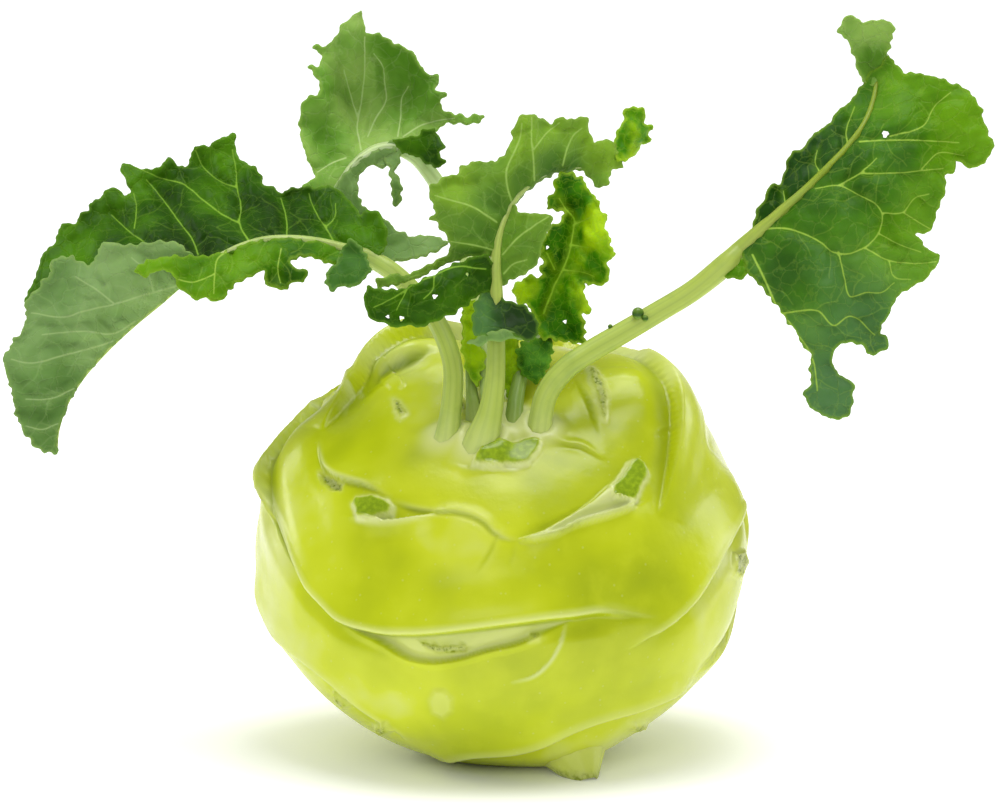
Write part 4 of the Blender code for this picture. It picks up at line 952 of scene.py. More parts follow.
INNER_VEINS = (
    Vein(((7.5, 80), (10, 86), (12, 90), (13, 95), (13.2, 97), (11.5, 99), (10.5, 101)), 0.7),
    Vein(((9.5, 88), (8, 91)), 0.45),
    Vein(((11, 88), (14, 87.6), (17, 86.8)), 0.45),
    Vein(((12.4, 92.5), (16, 92)), 0.45),
    Vein(((13, 96), (16.4, 97.4)), 0.45),
)

RIGHT_RIB = (
    (45, 93, -13), (50, 97.6, -13), (55, 102, -12), (59.5, 106.5, -11), (63, 110.3, -9.5), (65.7, 114, -8),
    (67.4, 118, -5), (68.3, 122, -2),
)
RIGHT_BLADE = Blade(
    veins=RIGHT_VEINS, tones_and_painted_light=RIGHT_TONES_AND_PAINTED_LIGHT, blooms=RIGHT_BLOOMS, holes=((69.6, 112.5, 0.7),),
    outline=(
        (43.5, 91.6, -13), (44.4, 87.3, -14.5), (47.6, 84.2, -16.5), (50, 81, -18), (53, 76.6, -20),
        (55.9, 72.4, -21), (55.6, 69.6, -22), (55.9, 67.2, -22.4), (54.4, 65.7, -22.6), (56.2, 62.6, -22.6),
        (58.6, 61.3, -22.4), (61.2, 60.6, -22), (62.8, 61.4, -22), (63.6, 64.6, -22.2), (63.5, 67.6, -22.4),
        (61.6, 68.4, -22), (59.9, 70.6, -21.4), (59.7, 72.2, -21), (60.6, 73.9, -20.8), (62.6, 74.9, -20.2),
        (65.2, 74.4, -20), (66.4, 72.3, -20), (69.6, 73.2, -19.4), (70.1, 75, -19), (68.7, 76.2, -18.6),
        (68.6, 77.8, -18), (70.2, 80, -17.6), (71.2, 82.8, -17), (73.6, 84.2, -16.4), (76.8, 86.4, -15.4),
        (79.6, 90, -14), (77, 92, -13), (74.8, 94.4, -12), (77.6, 94.6, -12), (79.2, 98.6, -11.5),
        (80.2, 102, -11), (80.6, 105, -10.6), (82, 105.6, -10.4), (82.4, 107.8, -10.2), (84.9, 106.4, -10),
        (87.6, 107.2, -10), (89.4, 110.2, -9.4), (87.9, 113.2, -8.8), (87, 117.6, -8), (84.5, 120.6, -7),
        (80.2, 122.5, -6), (76.6, 123.6, -4.6), (73.2, 123.7, -3), (71.4, 125.4, -1.6), (70.2, 127.6, -1),
        (69.4, 125.4, -1), (67, 123.8, -0.6), (65.8, 121.8, -0.8), (63.2, 118.4, -1.6), (60.8, 116.4, -2.6),
        (60, 114.6, -3), (56.4, 112.5, -4.6), (55, 110.2, -5), (52, 108.7, -6.6), (51.6, 105.6, -7),
        (50.4, 103.4, -8), (48.2, 103, -9), (47.6, 100.4, -10), (46, 98.2, -11), (45.1, 95, -12),
    ),
    inner=RIGHT_RIB + ((65, 95, -18), (60, 84, -22), (75, 112, -12), (72, 103, -14), (54, 90, -17)),
)
RIGHT_FLAP = Blade(
    # The back leaf's paler colours and a fresh patch are painted light on the flap, which the lamps leave
    # dark
    shows=Side.UNDER, under=BACK_UPPER, tones_and_painted_light=((67, 126, -0.2), (66, 131, 1.2)),
    outline=(
        (69.4, 123.4, -1.4), (70.2, 127, -2), (70.8, 129.4, -3), (71.4, 131.4, -4), (70.2, 133.4, -5),
        (67.6, 133.2, -5.6), (65.4, 132.8, -5), (64.6, 134, -4.6), (62.4, 134.1, -4), (62, 132.6, -3.4),
        (60.9, 131.2, -2.6), (62.6, 129.8, -2), (64.2, 126.6, -1.4), (65.8, 122.2, -1.8), (67.6, 121.2, -2),
    ),
    inner=((67.5, 128, 0.4),),
    ripple=0.3,
)
RIGHT_FRINGE = Blade(
    ruffle=0.3,
    outline=(
        (38.4, 88.6, -12.8), (39.4, 87.4, -13), (41, 86.4, -14), (42.8, 86, -14.6), (44.4, 87, -14.6),
        (44.6, 89.6, -13.6), (42.6, 90.4, -13),
    ),
    ripple=0.0,
)
RIGHT_LEAF = Leaf(
    name="leaf_right",
    stem=(
        (6.5, 54.6, -21, 2.6), (6.9, 60, -24, 2.1), (8.3, 65.7, -24.5, 2.0), (11.8, 70.1, -23.8, 1.95),
        (15.5, 72.7, -22.8, 1.95), (21.5, 76.2, -22, 1.95), (28, 80, -21.6, 1.9), (35, 84.3, -21.6, 1.9),
        (40.5, 88.8, -21.8, 2.0), (45, 93, -22, 1.7), (50, 97.6, -22, 1.25), (55, 102, -21, 1.0),
        (59.5, 106.5, -20, 0.85), (63, 110.3, -18.5, 0.72), (65.7, 114, -17, 0.6), (67.4, 118, -14, 0.5),
        (68.3, 122, -11, 0.4),
    ),
    blades=(RIGHT_BLADE, RIGHT_FLAP, RIGHT_FRINGE),
    stalk=RIGHT_STALK,
    drops=((24.7, 80, -23.4, 1.1), (26, 79.1, -23.8, 0.6), (19.7, 77.6, -22.6, 0.45)),
)

LEFT_RIB = (
    (-28.5, 91.5, -5.5), (-33, 92.7, -6), (-38, 93.3, -7), (-43, 93.2, -8), (-47.5, 92, -9), (-52, 89.8, -10),
    (-57, 86.3, -11.6), (-62, 82.2, -12.5), (-67, 78, -13), (-72, 73.2, -13.5), (-76, 68.6, -14),
    (-79, 63.6, -14.5), (-80.6, 58.4, -15), (-80.8, 54.6, -15.5),
)
LEFT_FAR_BLADE = Blade(
    veins=LEFT_FAR_VEINS, tones_and_painted_light=LEFT_FAR_TONES_AND_PAINTED_LIGHT, upper=DARK_UPPER,
    outline=(
        (-22.6, 90.2, -5), (-20.8, 92.4, -4), (-20.6, 95.4, -3), (-22.2, 98.4, -1.5), (-24.2, 98.9, 0),
        (-25.4, 97.8, 1), (-27.4, 100, 4), (-29.2, 102, 6), (-31, 103.2, 8), (-33.4, 103, 9),
        (-36, 103.2, 10), (-38.6, 103, 10.6), (-40, 101.8, 11), (-41.4, 103, 11.6), (-43.4, 103.6, 12),
        (-44.8, 106.8, 14), (-47, 107.4, 14.6), (-48.4, 109, 15), (-48.7, 113, 17), (-51.4, 112.4, 17.6),
        (-53, 110.9, 18), (-56.4, 110.8, 18), (-57.2, 108.2, 17.4), (-57.8, 106.8, 17), (-59.2, 106.8, 17),
        (-60.3, 108.7, 17), (-61.8, 108.2, 16.8), (-62.6, 106.7, 16.4), (-66, 106.6, 16),
        (-69.4, 107.6, 16.4), (-69.8, 106.6, 16), (-68.4, 104, 15), (-67.6, 101.8, 14), (-69, 101.5, 13.6),
        (-70.3, 103.3, 13.6), (-72.2, 102.8, 13), (-73.4, 101.2, 12.6), (-75.2, 100.4, 12),
        (-75.4, 98.8, 11.6), (-77, 98.8, 11.4), (-77.6, 96.6, 11), (-80, 96.6, 10.6), (-81, 95, 10),
        (-81.4, 93, 9.4), (-83.4, 91, 8), (-84.2, 89, 7), (-84.6, 86.6, 5.6), (-86, 84.6, 4.4),
        (-86.8, 82.6, 3), (-86.2, 78, -1), (-86.8, 73, -5), (-86, 67.5, -9), (-84.6, 61, -12),
        (-82, 55, -14.8),
    ) + LEFT_RIB[::-1],
    inner=((-40, 98, 3), (-52, 100, 6), (-64, 96, 4), (-74, 88, 1)),
)
LEFT_NEAR_BLADE = Blade(
    veins=LEFT_NEAR_VEINS, tones_and_painted_light=LEFT_NEAR_TONES_AND_PAINTED_LIGHT,
    outline=beside(LEFT_RIB[:5], 0.1, 0.35) + (
        (-52, 90.6, -10.5), (-55.4, 90.2, -14), (-58.6, 90.4, -17), (-61, 90, -19), (-64.4, 89.4, -20),
        (-66.6, 87.6, -20.4), (-65, 86.3, -20.8), (-63.2, 87.2, -20.8), (-61, 87.9, -20.4),
        (-58.9, 86.6, -20), (-58.6, 84.8, -20), (-57, 83.8, -19.4), (-56.1, 82.4, -19), (-53.4, 82.7, -18),
        (-51, 82, -17), (-49.6, 83.8, -15.4), (-48, 85.4, -14), (-44.4, 87.2, -13), (-42.8, 87.9, -12.6),
        (-43.1, 85, -13.4), (-41.8, 85, -13.4), (-39.2, 84.1, -13.4), (-37.6, 85.8, -13),
        (-35.6, 85.6, -13), (-35, 87.7, -12.4), (-37.4, 88.1, -12), (-38.4, 89.2, -11), (-37.2, 90.2, -10),
        (-34.6, 90.4, -9.6), (-32.8, 89.4, -9.4), (-31.4, 89.2, -9), (-30.2, 88.6, -8.6), (-28, 89, -8),
        (-26.5, 90.6, -6.4),
    ),
    inner=((-52, 87, -15), (-47, 89.6, -10.4)),
)
LEFT_NEAR_LOBE = Blade(
    upper=BLUISH_UPPER,
    outline=(
        (-28.8, 92, -6), (-28, 93.4, -6.8), (-26.4, 93.2, -7), (-25, 91.6, -8), (-24.2, 89.6, -9),
        (-23.7, 87.4, -10), (-25.4, 85.8, -11), (-26, 84.9, -11.6), (-29, 84.8, -12), (-31, 84, -12.4),
        (-32, 85.4, -12), (-31.8, 87.6, -11), (-30.2, 88.6, -10), (-29.4, 90.4, -7),
    ),
    ripple=0.3,
)
LEFT_FOLDED_BLADE = Blade(
    shows=Side.UNDER, veins=LEFT_FOLDED_VEINS,
    tones_and_painted_light=((-64, 90, 0.3), (-76, 82, 0.6), (-70, 77, 0.2), (-83, 72, 0.1), (-78, 66, -0.3), (-84, 60, -0.5),
           (-80, 88, 0.4), (-60, 85, 0.9)),
    blooms=((-64, 90, 0.0), (-78, 84, 0.15), (-84, 60, 0.0), (-74, 76, 0.05)),
    outline=beside(LEFT_RIB[6:], 0.25, -0.25) + (
        (-83.9, 55.2, -16.6), (-86.2, 58.2, -17), (-88, 61.6, -17), (-88.2, 65, -17), (-89.2, 66.9, -17),
        (-90, 71.6, -16.6), (-88.4, 75.2, -16.2), (-86.4, 77.2, -16), (-86, 79.8, -15.6), (-86.4, 82, -15.4),
        (-84.2, 84.2, -15), (-83, 86.4, -15), (-81.6, 86.8, -15), (-81.4, 89.4, -15), (-79.6, 90.2, -15),
        (-77.8, 90.5, -15), (-76, 89, -15), (-74.4, 88.6, -15), (-73.6, 89.8, -15), (-73, 92, -15),
        (-71.6, 92.9, -15), (-68, 92.3, -15), (-65.2, 92.7, -15), (-62.2, 93.2, -15), (-58.4, 92.7, -14.6),
        (-55.8, 90.4, -13.6), (-55.2, 88.2, -12),
    ),
    inner=((-75, 82, -18.5), (-84, 72, -19), (-67, 86, -17.5)),
    ripple=0.3,
)
LEFT_LEAF = Leaf(
    name="leaf_left",
    stem=(
        (-10.8, 53.6, -22, 2.7), (-9.8, 58.4, -25, 2.1), (-9, 64, -24.5, 1.8), (-8.8, 70, -22.5, 1.7),
        (-10.3, 75.5, -19.5, 1.7), (-12.6, 79.8, -17, 1.7), (-16, 84, -15, 1.7), (-20, 87.7, -14.2, 1.7),
        (-24.5, 90.3, -14, 1.6), (-28.5, 91.5, -14.5, 1.3), (-33, 92.7, -15, 1.1), (-38, 93.3, -16, 1.0),
        (-43, 93.2, -17, 0.85), (-47.5, 92, -18, 0.7), (-52, 89.8, -19, 0.6), (-57, 86.3, -20.6, 0.6),
        (-62, 82.2, -21.5, 0.75), (-67, 78, -22, 0.7), (-72, 73.2, -22.5, 0.65), (-76, 68.6, -23, 0.6),
        (-79, 63.6, -23.5, 0.55), (-80.6, 58.4, -24, 0.5), (-80.8, 54.6, -24.5, 0.45),
    ),
    blades=(LEFT_FAR_BLADE, LEFT_NEAR_BLADE, LEFT_NEAR_LOBE, LEFT_FOLDED_BLADE),
)

BACK_RIB = (
    (-19, 110.4, 21.5), (-22.4, 110.2, 21), (-25.4, 108.6, 19.5), (-28, 106.2, 17.5), (-30.2, 103.2, 15.5),
    (-31.8, 99.6, 14), (-32.8, 95.6, 13), (-33.2, 91.4, 12.6),
)
BACK_FAN = Blade(
    veins=BACK_VEINS, upper=BACK_UPPER, tones_and_painted_light=BACK_TONES_AND_PAINTED_LIGHT,
    outline=(
        (-17, 109.4, 21.4), (-16, 111.2, 23), (-14.6, 112.8, 24.6), (-11.6, 114, 25), (-10, 115.2, 25),
        (-7.6, 115.1, 25), (-5.6, 114.8, 25), (-4.2, 115, 25), (-2.9, 116.2, 25), (-3.9, 116.9, 25),
        (-6, 116.2, 25.4), (-8.4, 116.8, 26), (-10.6, 117.3, 26), (-11.3, 118.6, 26), (-10, 120.5, 26),
        (-12.2, 121.2, 26.6), (-11.5, 122.6, 27), (-11.8, 124.2, 27), (-13.8, 124.1, 27), (-15, 126, 27),
        (-16.2, 128.2, 27), (-18, 129, 26.6), (-20, 130, 26), (-22.2, 131.4, 25.4), (-23.6, 131.7, 25),
        (-25, 131.2, 24.4), (-25.3, 133.4, 24), (-25.6, 136.1, 24), (-27.6, 134.6, 24), (-29.6, 132.9, 24),
        (-30.2, 131, 24), (-32.2, 129.1, 24), (-34, 129.6, 24), (-34.8, 129, 24), (-33.2, 127.8, 23.4),
        (-33, 126.4, 23), (-33.6, 125.4, 23), (-35.5, 125.5, 23), (-34.2, 124.2, 22.4), (-33.2, 122.6, 22),
        (-33.2, 121, 21.6), (-33.8, 120, 21), (-35.6, 120, 21), (-36.9, 117.4, 20), (-37.1, 114.6, 19.4),
        (-36.6, 111.4, 18), (-35.8, 109.4, 17.4), (-35.4, 108, 17), (-34.2, 106.8, 17), (-34, 105.4, 16.6),
        (-36.4, 103.4, 16.4), (-38, 99, 15.6), (-37, 94, 14), (-34.8, 90.4, 13),
    ) + BACK_RIB[::-1],
    inner=((-20, 121, 31), (-28, 120, 29), (-32, 111, 22)),
)
BACK_LOWER_BLADE = Blade(
    shows=Side.UNDER,
    outline=beside(BACK_RIB, -0.25, 0.25) + (
        (-29, 88, 11.6), (-24, 88, 11), (-19.4, 89.6, 11), (-17, 90, 11), (-14, 90.6, 11.5),
        (-11.2, 92, 11.8), (-9.7, 93.2, 12), (-11, 94, 12.4), (-14, 94.1, 13), (-17, 94.4, 13.6),
        (-19.4, 95.6, 14), (-21.6, 97.4, 14.6), (-23.2, 98.8, 15), (-25, 99.4, 15.6), (-26.2, 101.6, 16.4),
        (-26.5, 104, 17.5), (-25.6, 106, 18.6), (-24, 107.2, 19.8), (-21.6, 106.8, 20.4), (-19.6, 108, 21),
    ),
    inner=((-27, 94, 16),),
    ripple=0.3,
)
BACK_CURL = Blade(
    upper=DARK_UPPER,
    outline=(
        (-20, 112, 19.4), (-17.6, 112.3, 19.2), (-15.6, 112.5, 19), (-14, 114, 18.6), (-12, 114, 18.2),
        (-11.4, 111.8, 17.8), (-10.1, 110.4, 17.4), (-11.6, 109.6, 17), (-10.2, 107.9, 16.6),
        (-11.4, 106.5, 17), (-13.2, 107.3, 17.8), (-14.9, 108.7, 18.4), (-17.2, 109.2, 19),
        (-18.8, 109.9, 19.4),
    ),
    ripple=0.3,
)
BACK_HANGER = Blade(
    shows=Side.UNDER,
    outline=(
        (-20.6, 112.2, 21.2), (-21.6, 108.4, 20.6), (-20.6, 107.4, 19), (-20.2, 104, 18.4), (-20.1, 101, 18),
        (-19.4, 99.3, 18), (-18.6, 100.4, 18), (-18.2, 102.6, 18), (-18.6, 104.4, 18.4), (-19.6, 105.6, 18.8),
        (-19.2, 107, 19), (-18.4, 108.6, 20.6), (-18.2, 110.4, 21.2), (-19, 111.6, 21.4),
    ),
    inner=((-19.6, 110.2, 21.8),),
    ripple=0.0,
)
BACK_LEAF = Leaf(
    name="leaf_back",
    stalk=PALE_STALK,
    stem=(
        (-1.2, 59, -18, 2.2), (-1.8, 63, -20.4, 1.8), (-2.4, 69, -16.5, 1.6), (-3.2, 76, -10.5, 1.6),
        (-4.8, 84.6, -4, 1.6), (-7.2, 93.6, 3, 1.6), (-10.4, 101.4, 8.5, 1.6), (-13.2, 106, 11, 1.5),
        (-16, 109, 12.2, 1.4), (-19, 110.4, 12.5, 1.3), (-22.4, 110.2, 12, 1.2), (-25.4, 108.6, 10.5, 1.1),
        (-28, 106.2, 8.5, 0.75), (-30.2, 103.2, 6.5, 0.55), (-31.8, 99.6, 5, 0.42), (-32.8, 95.6, 4, 0.35),
        (-33.2, 91.4, 3.6, 0.3),
    ),
    blades=(BACK_FAN, BACK_LOWER_BLADE, BACK_CURL, BACK_HANGER),
)

# Painted shade and painted light on the front leaf's underside
FRONT_TONES_AND_PAINTED_LIGHT = (
    (3, 113, 0.9), (-8, 103, 0.7), (-4, 92, -0.6), (0, 101, -0.7), (5, 103.5, -0.9), (11, 107.5, -0.9),
    (14, 113, 0.4), (18, 108, 0.9), (8, 112, 0.6), (-10, 97, 0.1), (-3, 105, 0.3), (-15, 87.5, 0.3),
    (-1, 97, -0.3), (12, 111, 0.2),
)
FRONT_BLADE = Blade(
    shows=Side.UNDER, veins=FRONT_VEINS, under=FRONT_UNDER, tones_and_painted_light=FRONT_TONES_AND_PAINTED_LIGHT,
    outline=(
        (-1.2, 89, -15.4), (-2.5, 91, -16), (-5, 90.4, -17), (-8, 89.6, -18), (-12, 88, -19), (-16, 86, -20),
        (-20, 84.8, -21), (-22.5, 84.5, -21), (-22.6, 86.3, -21), (-20, 86.8, -20.4), (-17, 86.9, -19.6),
        (-13.6, 88.6, -18.8), (-11, 89.9, -18), (-9.6, 90.8, -17.6), (-9.2, 92.4, -17), (-9.6, 93.8, -16.8),
        (-11, 95.2, -17), (-11.4, 96.6, -17), (-13.4, 96.7, -17.2), (-12.2, 97.8, -17), (-11.9, 99, -17),
        (-13.3, 101.8, -17), (-12.8, 103.2, -17), (-10, 104.6, -16.2), (-8, 105.2, -15.4), (-7.2, 106.6, -15),
        (-5, 107.5, -14.4), (-2.8, 107.2, -13), (-1, 107.4, -12.4), (0.8, 108.8, -11.5), (1.8, 110.8, -10.6),
        (2, 113.2, -9.8), (3, 115.4, -9), (4.8, 116.4, -8), (6.4, 115.7, -7), (8.4, 115, -6),
        (9, 114.2, -5.4), (9.6, 115.3, -5), (12, 115.5, -3.6), (15.6, 115.7, -1), (16, 112.8, 0),
        (16.8, 110.9, 1), (19, 111.8, 3), (20.2, 111.6, 3.6), (20.8, 110, 4), (22, 108.6, 4.4),
        (22.2, 106.6, 4), (20.4, 106.2, 3), (19.4, 105, 2), (19.6, 103.7, 1), (17, 102.8, 0),
        (16.6, 104.2, 0.4), (14.8, 106, 1), (11.2, 106, -1.5), (7.8, 104.7, -4.5), (4.6, 102.4, -8),
        (2, 99.4, -11), (0.4, 96, -13), (-0.6, 92, -14.5),
    ),
    inner=((-8, 97, -20), (2, 108, -13.5), (10, 111, -7), (-5, 102, -18), (-5, 93, -18.5)),
)
FRONT_RIGHT_LOBE = Blade(
    shows=Side.UNDER, veins=FRONT_LOBE_VEINS, under=FRONT_UNDER,
    outline=(
        (-1, 86.6, -15.6), (0.4, 84.6, -15), (1.2, 86.2, -15), (3, 86.6, -15.2), (4.6, 87.2, -15.4),
        (6.4, 88.9, -15.6), (7, 91, -16), (7.6, 93.2, -16.4), (8.6, 95, -16.8), (9.4, 96.6, -17),
        (9, 98, -16.6), (7.4, 97.8, -16), (6, 98.3, -15.4), (4.4, 97.9, -14.8), (3.4, 98.2, -14),
        (2.6, 99.4, -12.6), (1.6, 99.4, -11.6), (0.2, 96.5, -13), (-0.8, 92.5, -14.5), (-1.2, 89, -15.2),
    ),
    inner=((4, 92, -17.6),),
    ripple=0.3,
)
FRONT_DARK_LOBE = Blade(
    veins=FRONT_DARK_VEINS, upper=DARK_UPPER,
    holes=((-12, 83, 0.5), (-18, 79, 0.5), (-20.5, 79.3, 0.4), (-6.2, 87, 0.4)),
    outline=(
        (-1.4, 84, -16.4), (-1.4, 88.4, -16.4), (-2.6, 90.6, -18), (-5, 90.2, -19), (-8, 89.2, -20),
        (-11.6, 87.2, -21.4), (-15, 85.6, -22.6), (-17.4, 84.4, -23.2), (-20, 84.2, -23.6),
        (-22.6, 84.2, -24), (-24.2, 85, -24.4), (-24.8, 83, -24.6), (-24.6, 80.4, -24.6),
        (-23.4, 78.6, -24.4), (-21, 78.2, -24), (-20, 77.3, -24), (-18.2, 77.7, -23.6), (-17, 78, -23.4),
        (-15.6, 77.4, -23), (-13, 78, -22.6), (-11, 79.2, -22), (-8.4, 80, -21), (-6.4, 81.4, -20),
        (-5.4, 82.4, -19.4), (-3.6, 83.6, -18),
    ),
    inner=((-14, 82, -24.5), (-7, 86, -21.5)),
)
FRONT_CUP = Blade(
    upper=DARK_UPPER, ruffle=0.3,
    # The cup's inside is painted dark as shade, and its left side painted light
    tones_and_painted_light=((1.5, 79, -1.8), (5, 78, -1.4), (-3.4, 80, 0.9), (2, 82, -1.0), (-0.8, 80, -0.8), (-3.4, 77, 0.6)),
    blooms=((1.5, 79, 0.0), (5, 78, 0.1), (-3.6, 80, 0.75), (2, 82, 0.1), (-0.6, 80, 0.15), (-3.6, 77, 0.6)),
    outline=(
        (-5, 75.8, -19.4), (-5.2, 79, -19.5), (-4.8, 82, -18.6), (-3.8, 83.8, -17.6), (-2.4, 84.4, -16.8),
        (-0.6, 82.8, -17), (1.4, 82.2, -18), (4, 81.4, -19), (5.8, 79.8, -19.6), (6.6, 78, -19.8),
        (6.6, 76.4, -19.8), (5.6, 75.2, -20), (4.6, 75, -20.6), (2.4, 76, -21.4), (0.6, 76.6, -21.4),
        (-3, 75.9, -20.8),
    ),
    inner=((1.5, 79.6, -18.8), (-1.4, 80.4, -19.4), (-2.6, 79.6, -19.6)),
    ripple=0.0,
)
FRONT_CUP_RIM = Blade(
    shows=Side.UNDER, ruffle=0.2,
    outline=(
        (-6.4, 74.5, -20), (-4, 76, -21), (-1, 76.9, -22.2), (0.8, 77, -22.4), (2.1, 76.4, -22.2),
        (3.4, 76.4, -21.8), (4.9, 74.9, -20.8), (3.6, 75.1, -21.2), (2.2, 75.5, -21.6), (0.6, 75.2, -21.8),
        (-1.4, 74.9, -21.4), (-4, 74.2, -20.6),
    ),
    ripple=0.0,
)
FRONT_FRILL = Blade(
    upper=YOUNG_UPPER, crinkle=0.3,
    outline=(
        (20.2, 109.8, 4), (20.4, 111.4, 5), (21.4, 113.4, 6), (22.2, 115, 6.6), (22.4, 117.4, 7),
        (24, 117.8, 7.4), (26, 117.6, 8), (26.2, 116.2, 8.2), (25.6, 114.8, 8.4), (27.8, 114.4, 9),
        (26.8, 112.8, 8.6), (27.2, 111.6, 8.4), (25.4, 111, 7.6), (24.8, 109.6, 7), (22.6, 107.6, 5.4),
        (21.2, 107.8, 4.6),
    ),
    inner=((24, 113, 5),),
)
FRONT_LEAF = Leaf(
    name="leaf_front",
    stem=(
        (-4.6, 52.6, -24, 3.7), (-3.6, 57, -26.8, 3.1), (-2.1, 62, -27.2, 2.2), (-1.2, 68, -27, 1.75),
        (-1.0, 75, -26.4, 1.55), (-1.1, 80, -25.6, 1.5), (-1.2, 84.5, -25, 1.35), (-1.2, 88.5, -24.3, 1.1),
        (-0.8, 92.5, -23.5, 0.9), (0.2, 96.5, -22, 0.75), (2, 100, -20, 0.62), (4.6, 103, -17, 0.52),
        (7.8, 105.3, -13.5, 0.42), (11.2, 106.4, -10.5, 0.32), (14.8, 106.6, -8, 0.2),
    ),
    blades=(FRONT_BLADE, FRONT_RIGHT_LOBE, FRONT_DARK_LOBE, FRONT_CUP, FRONT_CUP_RIM, FRONT_FRILL),
)

# Painted shade and painted light on the inner leaf, freshest on its right where light falls
INNER_TONES_AND_PAINTED_LIGHT = (
    (17.1, 97, 1.3), (16.5, 93, 1.1), (18.2, 95, 1.2), (11.4, 98.6, -0.9), (12.5, 93, -1.0), (9, 88, -1.6),
    (10.5, 91, -1.2), (17.1, 90, -0.6), (18.4, 86.4, -0.4), (14.5, 88, 0.2), (5.9, 85.2, 0.7),
    (3.3, 83.3, 0.9), (7.7, 81.8, -0.7), (12.5, 79.9, -0.5), (13.3, 76.9, -1.3), (10.3, 77, -0.4),
    (15, 80.4, 1.1), (11.8, 103.4, -1.2), (10, 103, 0.2), (14, 101, -0.4), (7.8, 92, -0.3), (13.5, 84, 0.6),
)
INNER_BLADE = Blade(
    veins=INNER_VEINS, upper=YOUNG_UPPER, under=YOUNG_UPPER, crinkle=0.55, teeth=0.5, tones_and_painted_light=INNER_TONES_AND_PAINTED_LIGHT,
    holes=((8.3, 92, 0.4), (11.5, 78.5, 0.4)),
    outline=(
        (7.2, 75.4, -6.4), (9.4, 75, -6.4), (12.6, 74.8, -6.4), (15.4, 74.8, -6.4), (14.9, 75.8, -6.4),
        (15.2, 78, -6.6), (14.6, 79.8, -7), (16.2, 80.4, -7.4), (16, 82, -7.4), (15, 84.2, -7),
        (15, 85.6, -6.8), (17.2, 84.8, -7), (18.4, 85.2, -7.2), (19.7, 86.9, -7.6), (19, 88.4, -7.8),
        (19.4, 89.8, -8.2), (20.9, 90.8, -8.6), (20, 91.6, -8.4), (20.1, 93.4, -8.2), (19.3, 93.8, -8),
        (19.4, 95, -7.6), (18.6, 96.4, -7.2), (19.5, 97.6, -7), (18.2, 98.8, -6.4), (17.4, 101.2, -5.4),
        (15.6, 102.6, -4.4), (14.6, 104.8, -3.6), (12.4, 105.6, -3.2), (10.2, 105.2, -3.4),
        (9.6, 103.6, -3.8), (9.7, 102, -4.4), (8, 100, -5), (8.2, 99, -5.2), (10.4, 98.4, -5),
        (11.6, 98.2, -5.4), (11, 96.8, -6), (9.4, 96, -6.8), (7.2, 93.8, -7.4), (7, 91.6, -7.6),
        (7.4, 89.6, -7.4), (6.8, 88, -7), (7.8, 86.8, -6.6), (6, 86.8, -6.8), (4.4, 86.8, -7),
        (2.8, 85.6, -7.6), (2.2, 83.8, -8), (2.4, 82, -8), (4.6, 81.6, -7.4), (5.6, 80.4, -7),
        (6.4, 78.6, -6.6), (6.4, 77, -6.4),
    ),
    inner=(
        (7.6, 79.6, -4.8), (8.8, 82.8, -4.4), (10.2, 86, -4.2), (11.4, 89.4, -4.2), (12.6, 93, -4.2),
        (13.2, 96.6, -3.6), (13, 100, -2.8), (16, 92, -6.6), (12, 78, -5),
    ),
    ripple=1.1,
)
INNER_LEAF = Leaf(
    name="leaf_inner",
    stem=(
        (1.7, 54, -21, 1.9), (2, 58, -22.6, 1.8), (2.3, 62, -20.8, 1.5), (3.1, 67, -16.6, 1.3),
        (4.3, 72, -12.8, 1.2), (6, 76.5, -12, 1.15), (7.5, 79.6, -12.6, 1.1), (8.8, 82.8, -13.4, 1.2),
        (10.2, 86, -13.2, 1.05), (11.4, 89.4, -13.2, 0.9), (12.6, 93, -13.2, 0.8),
        (13.2, 96.6, -12.6, 0.65), (13, 100, -11.8, 0.5),
    ),
    blades=(INNER_BLADE,),
    stalk=SHADED_STALK,
    rib_sink=2.6,
)

# Painted light and painted shade on the heart leaves, which sit deep among the others
DARK_HEART_LEAF = Leaf(
    name="heart_leaf_dark",
    slot="young_leaf",
    rib_sink=2.2,
    stalk=SHADED_STALK,
    stem=(
        (5, 58, -17, 1.4), (5.6, 62, -16, 1.2), (6, 66, -13, 0.9), (6.6, 70, -10.6, 0.7),
        (6.8, 73.4, -9.8, 0.5),
    ),
    blades=(
        Blade(
            upper=YOUNG_DARK, under=YOUNG_DARK, crinkle=0.6, teeth=0.5, ruffle=0.9, 
            tones_and_painted_light=((5, 74, 0.6), (8, 73, -0.2), (5, 70, -0.4), (7.5, 70.5, 0.3)),
            outline=(
                (5.8, 67.4, -7.4), (3.8, 68.6, -7.6), (2.9, 70, -7.6), (3.2, 72, -7), (2.8, 73.4, -6.6),
                (4.6, 75.2, -6), (7, 75.8, -5.6), (9, 75.2, -5.8), (9.6, 73, -6.2), (8.8, 71.6, -6.6),
                (8.4, 69.8, -7), (7.6, 68, -7.4),
            ),
            inner=((6, 69, -8.2), (6.4, 71, -8), (6.8, 73, -7)),
        ),
    ),
)
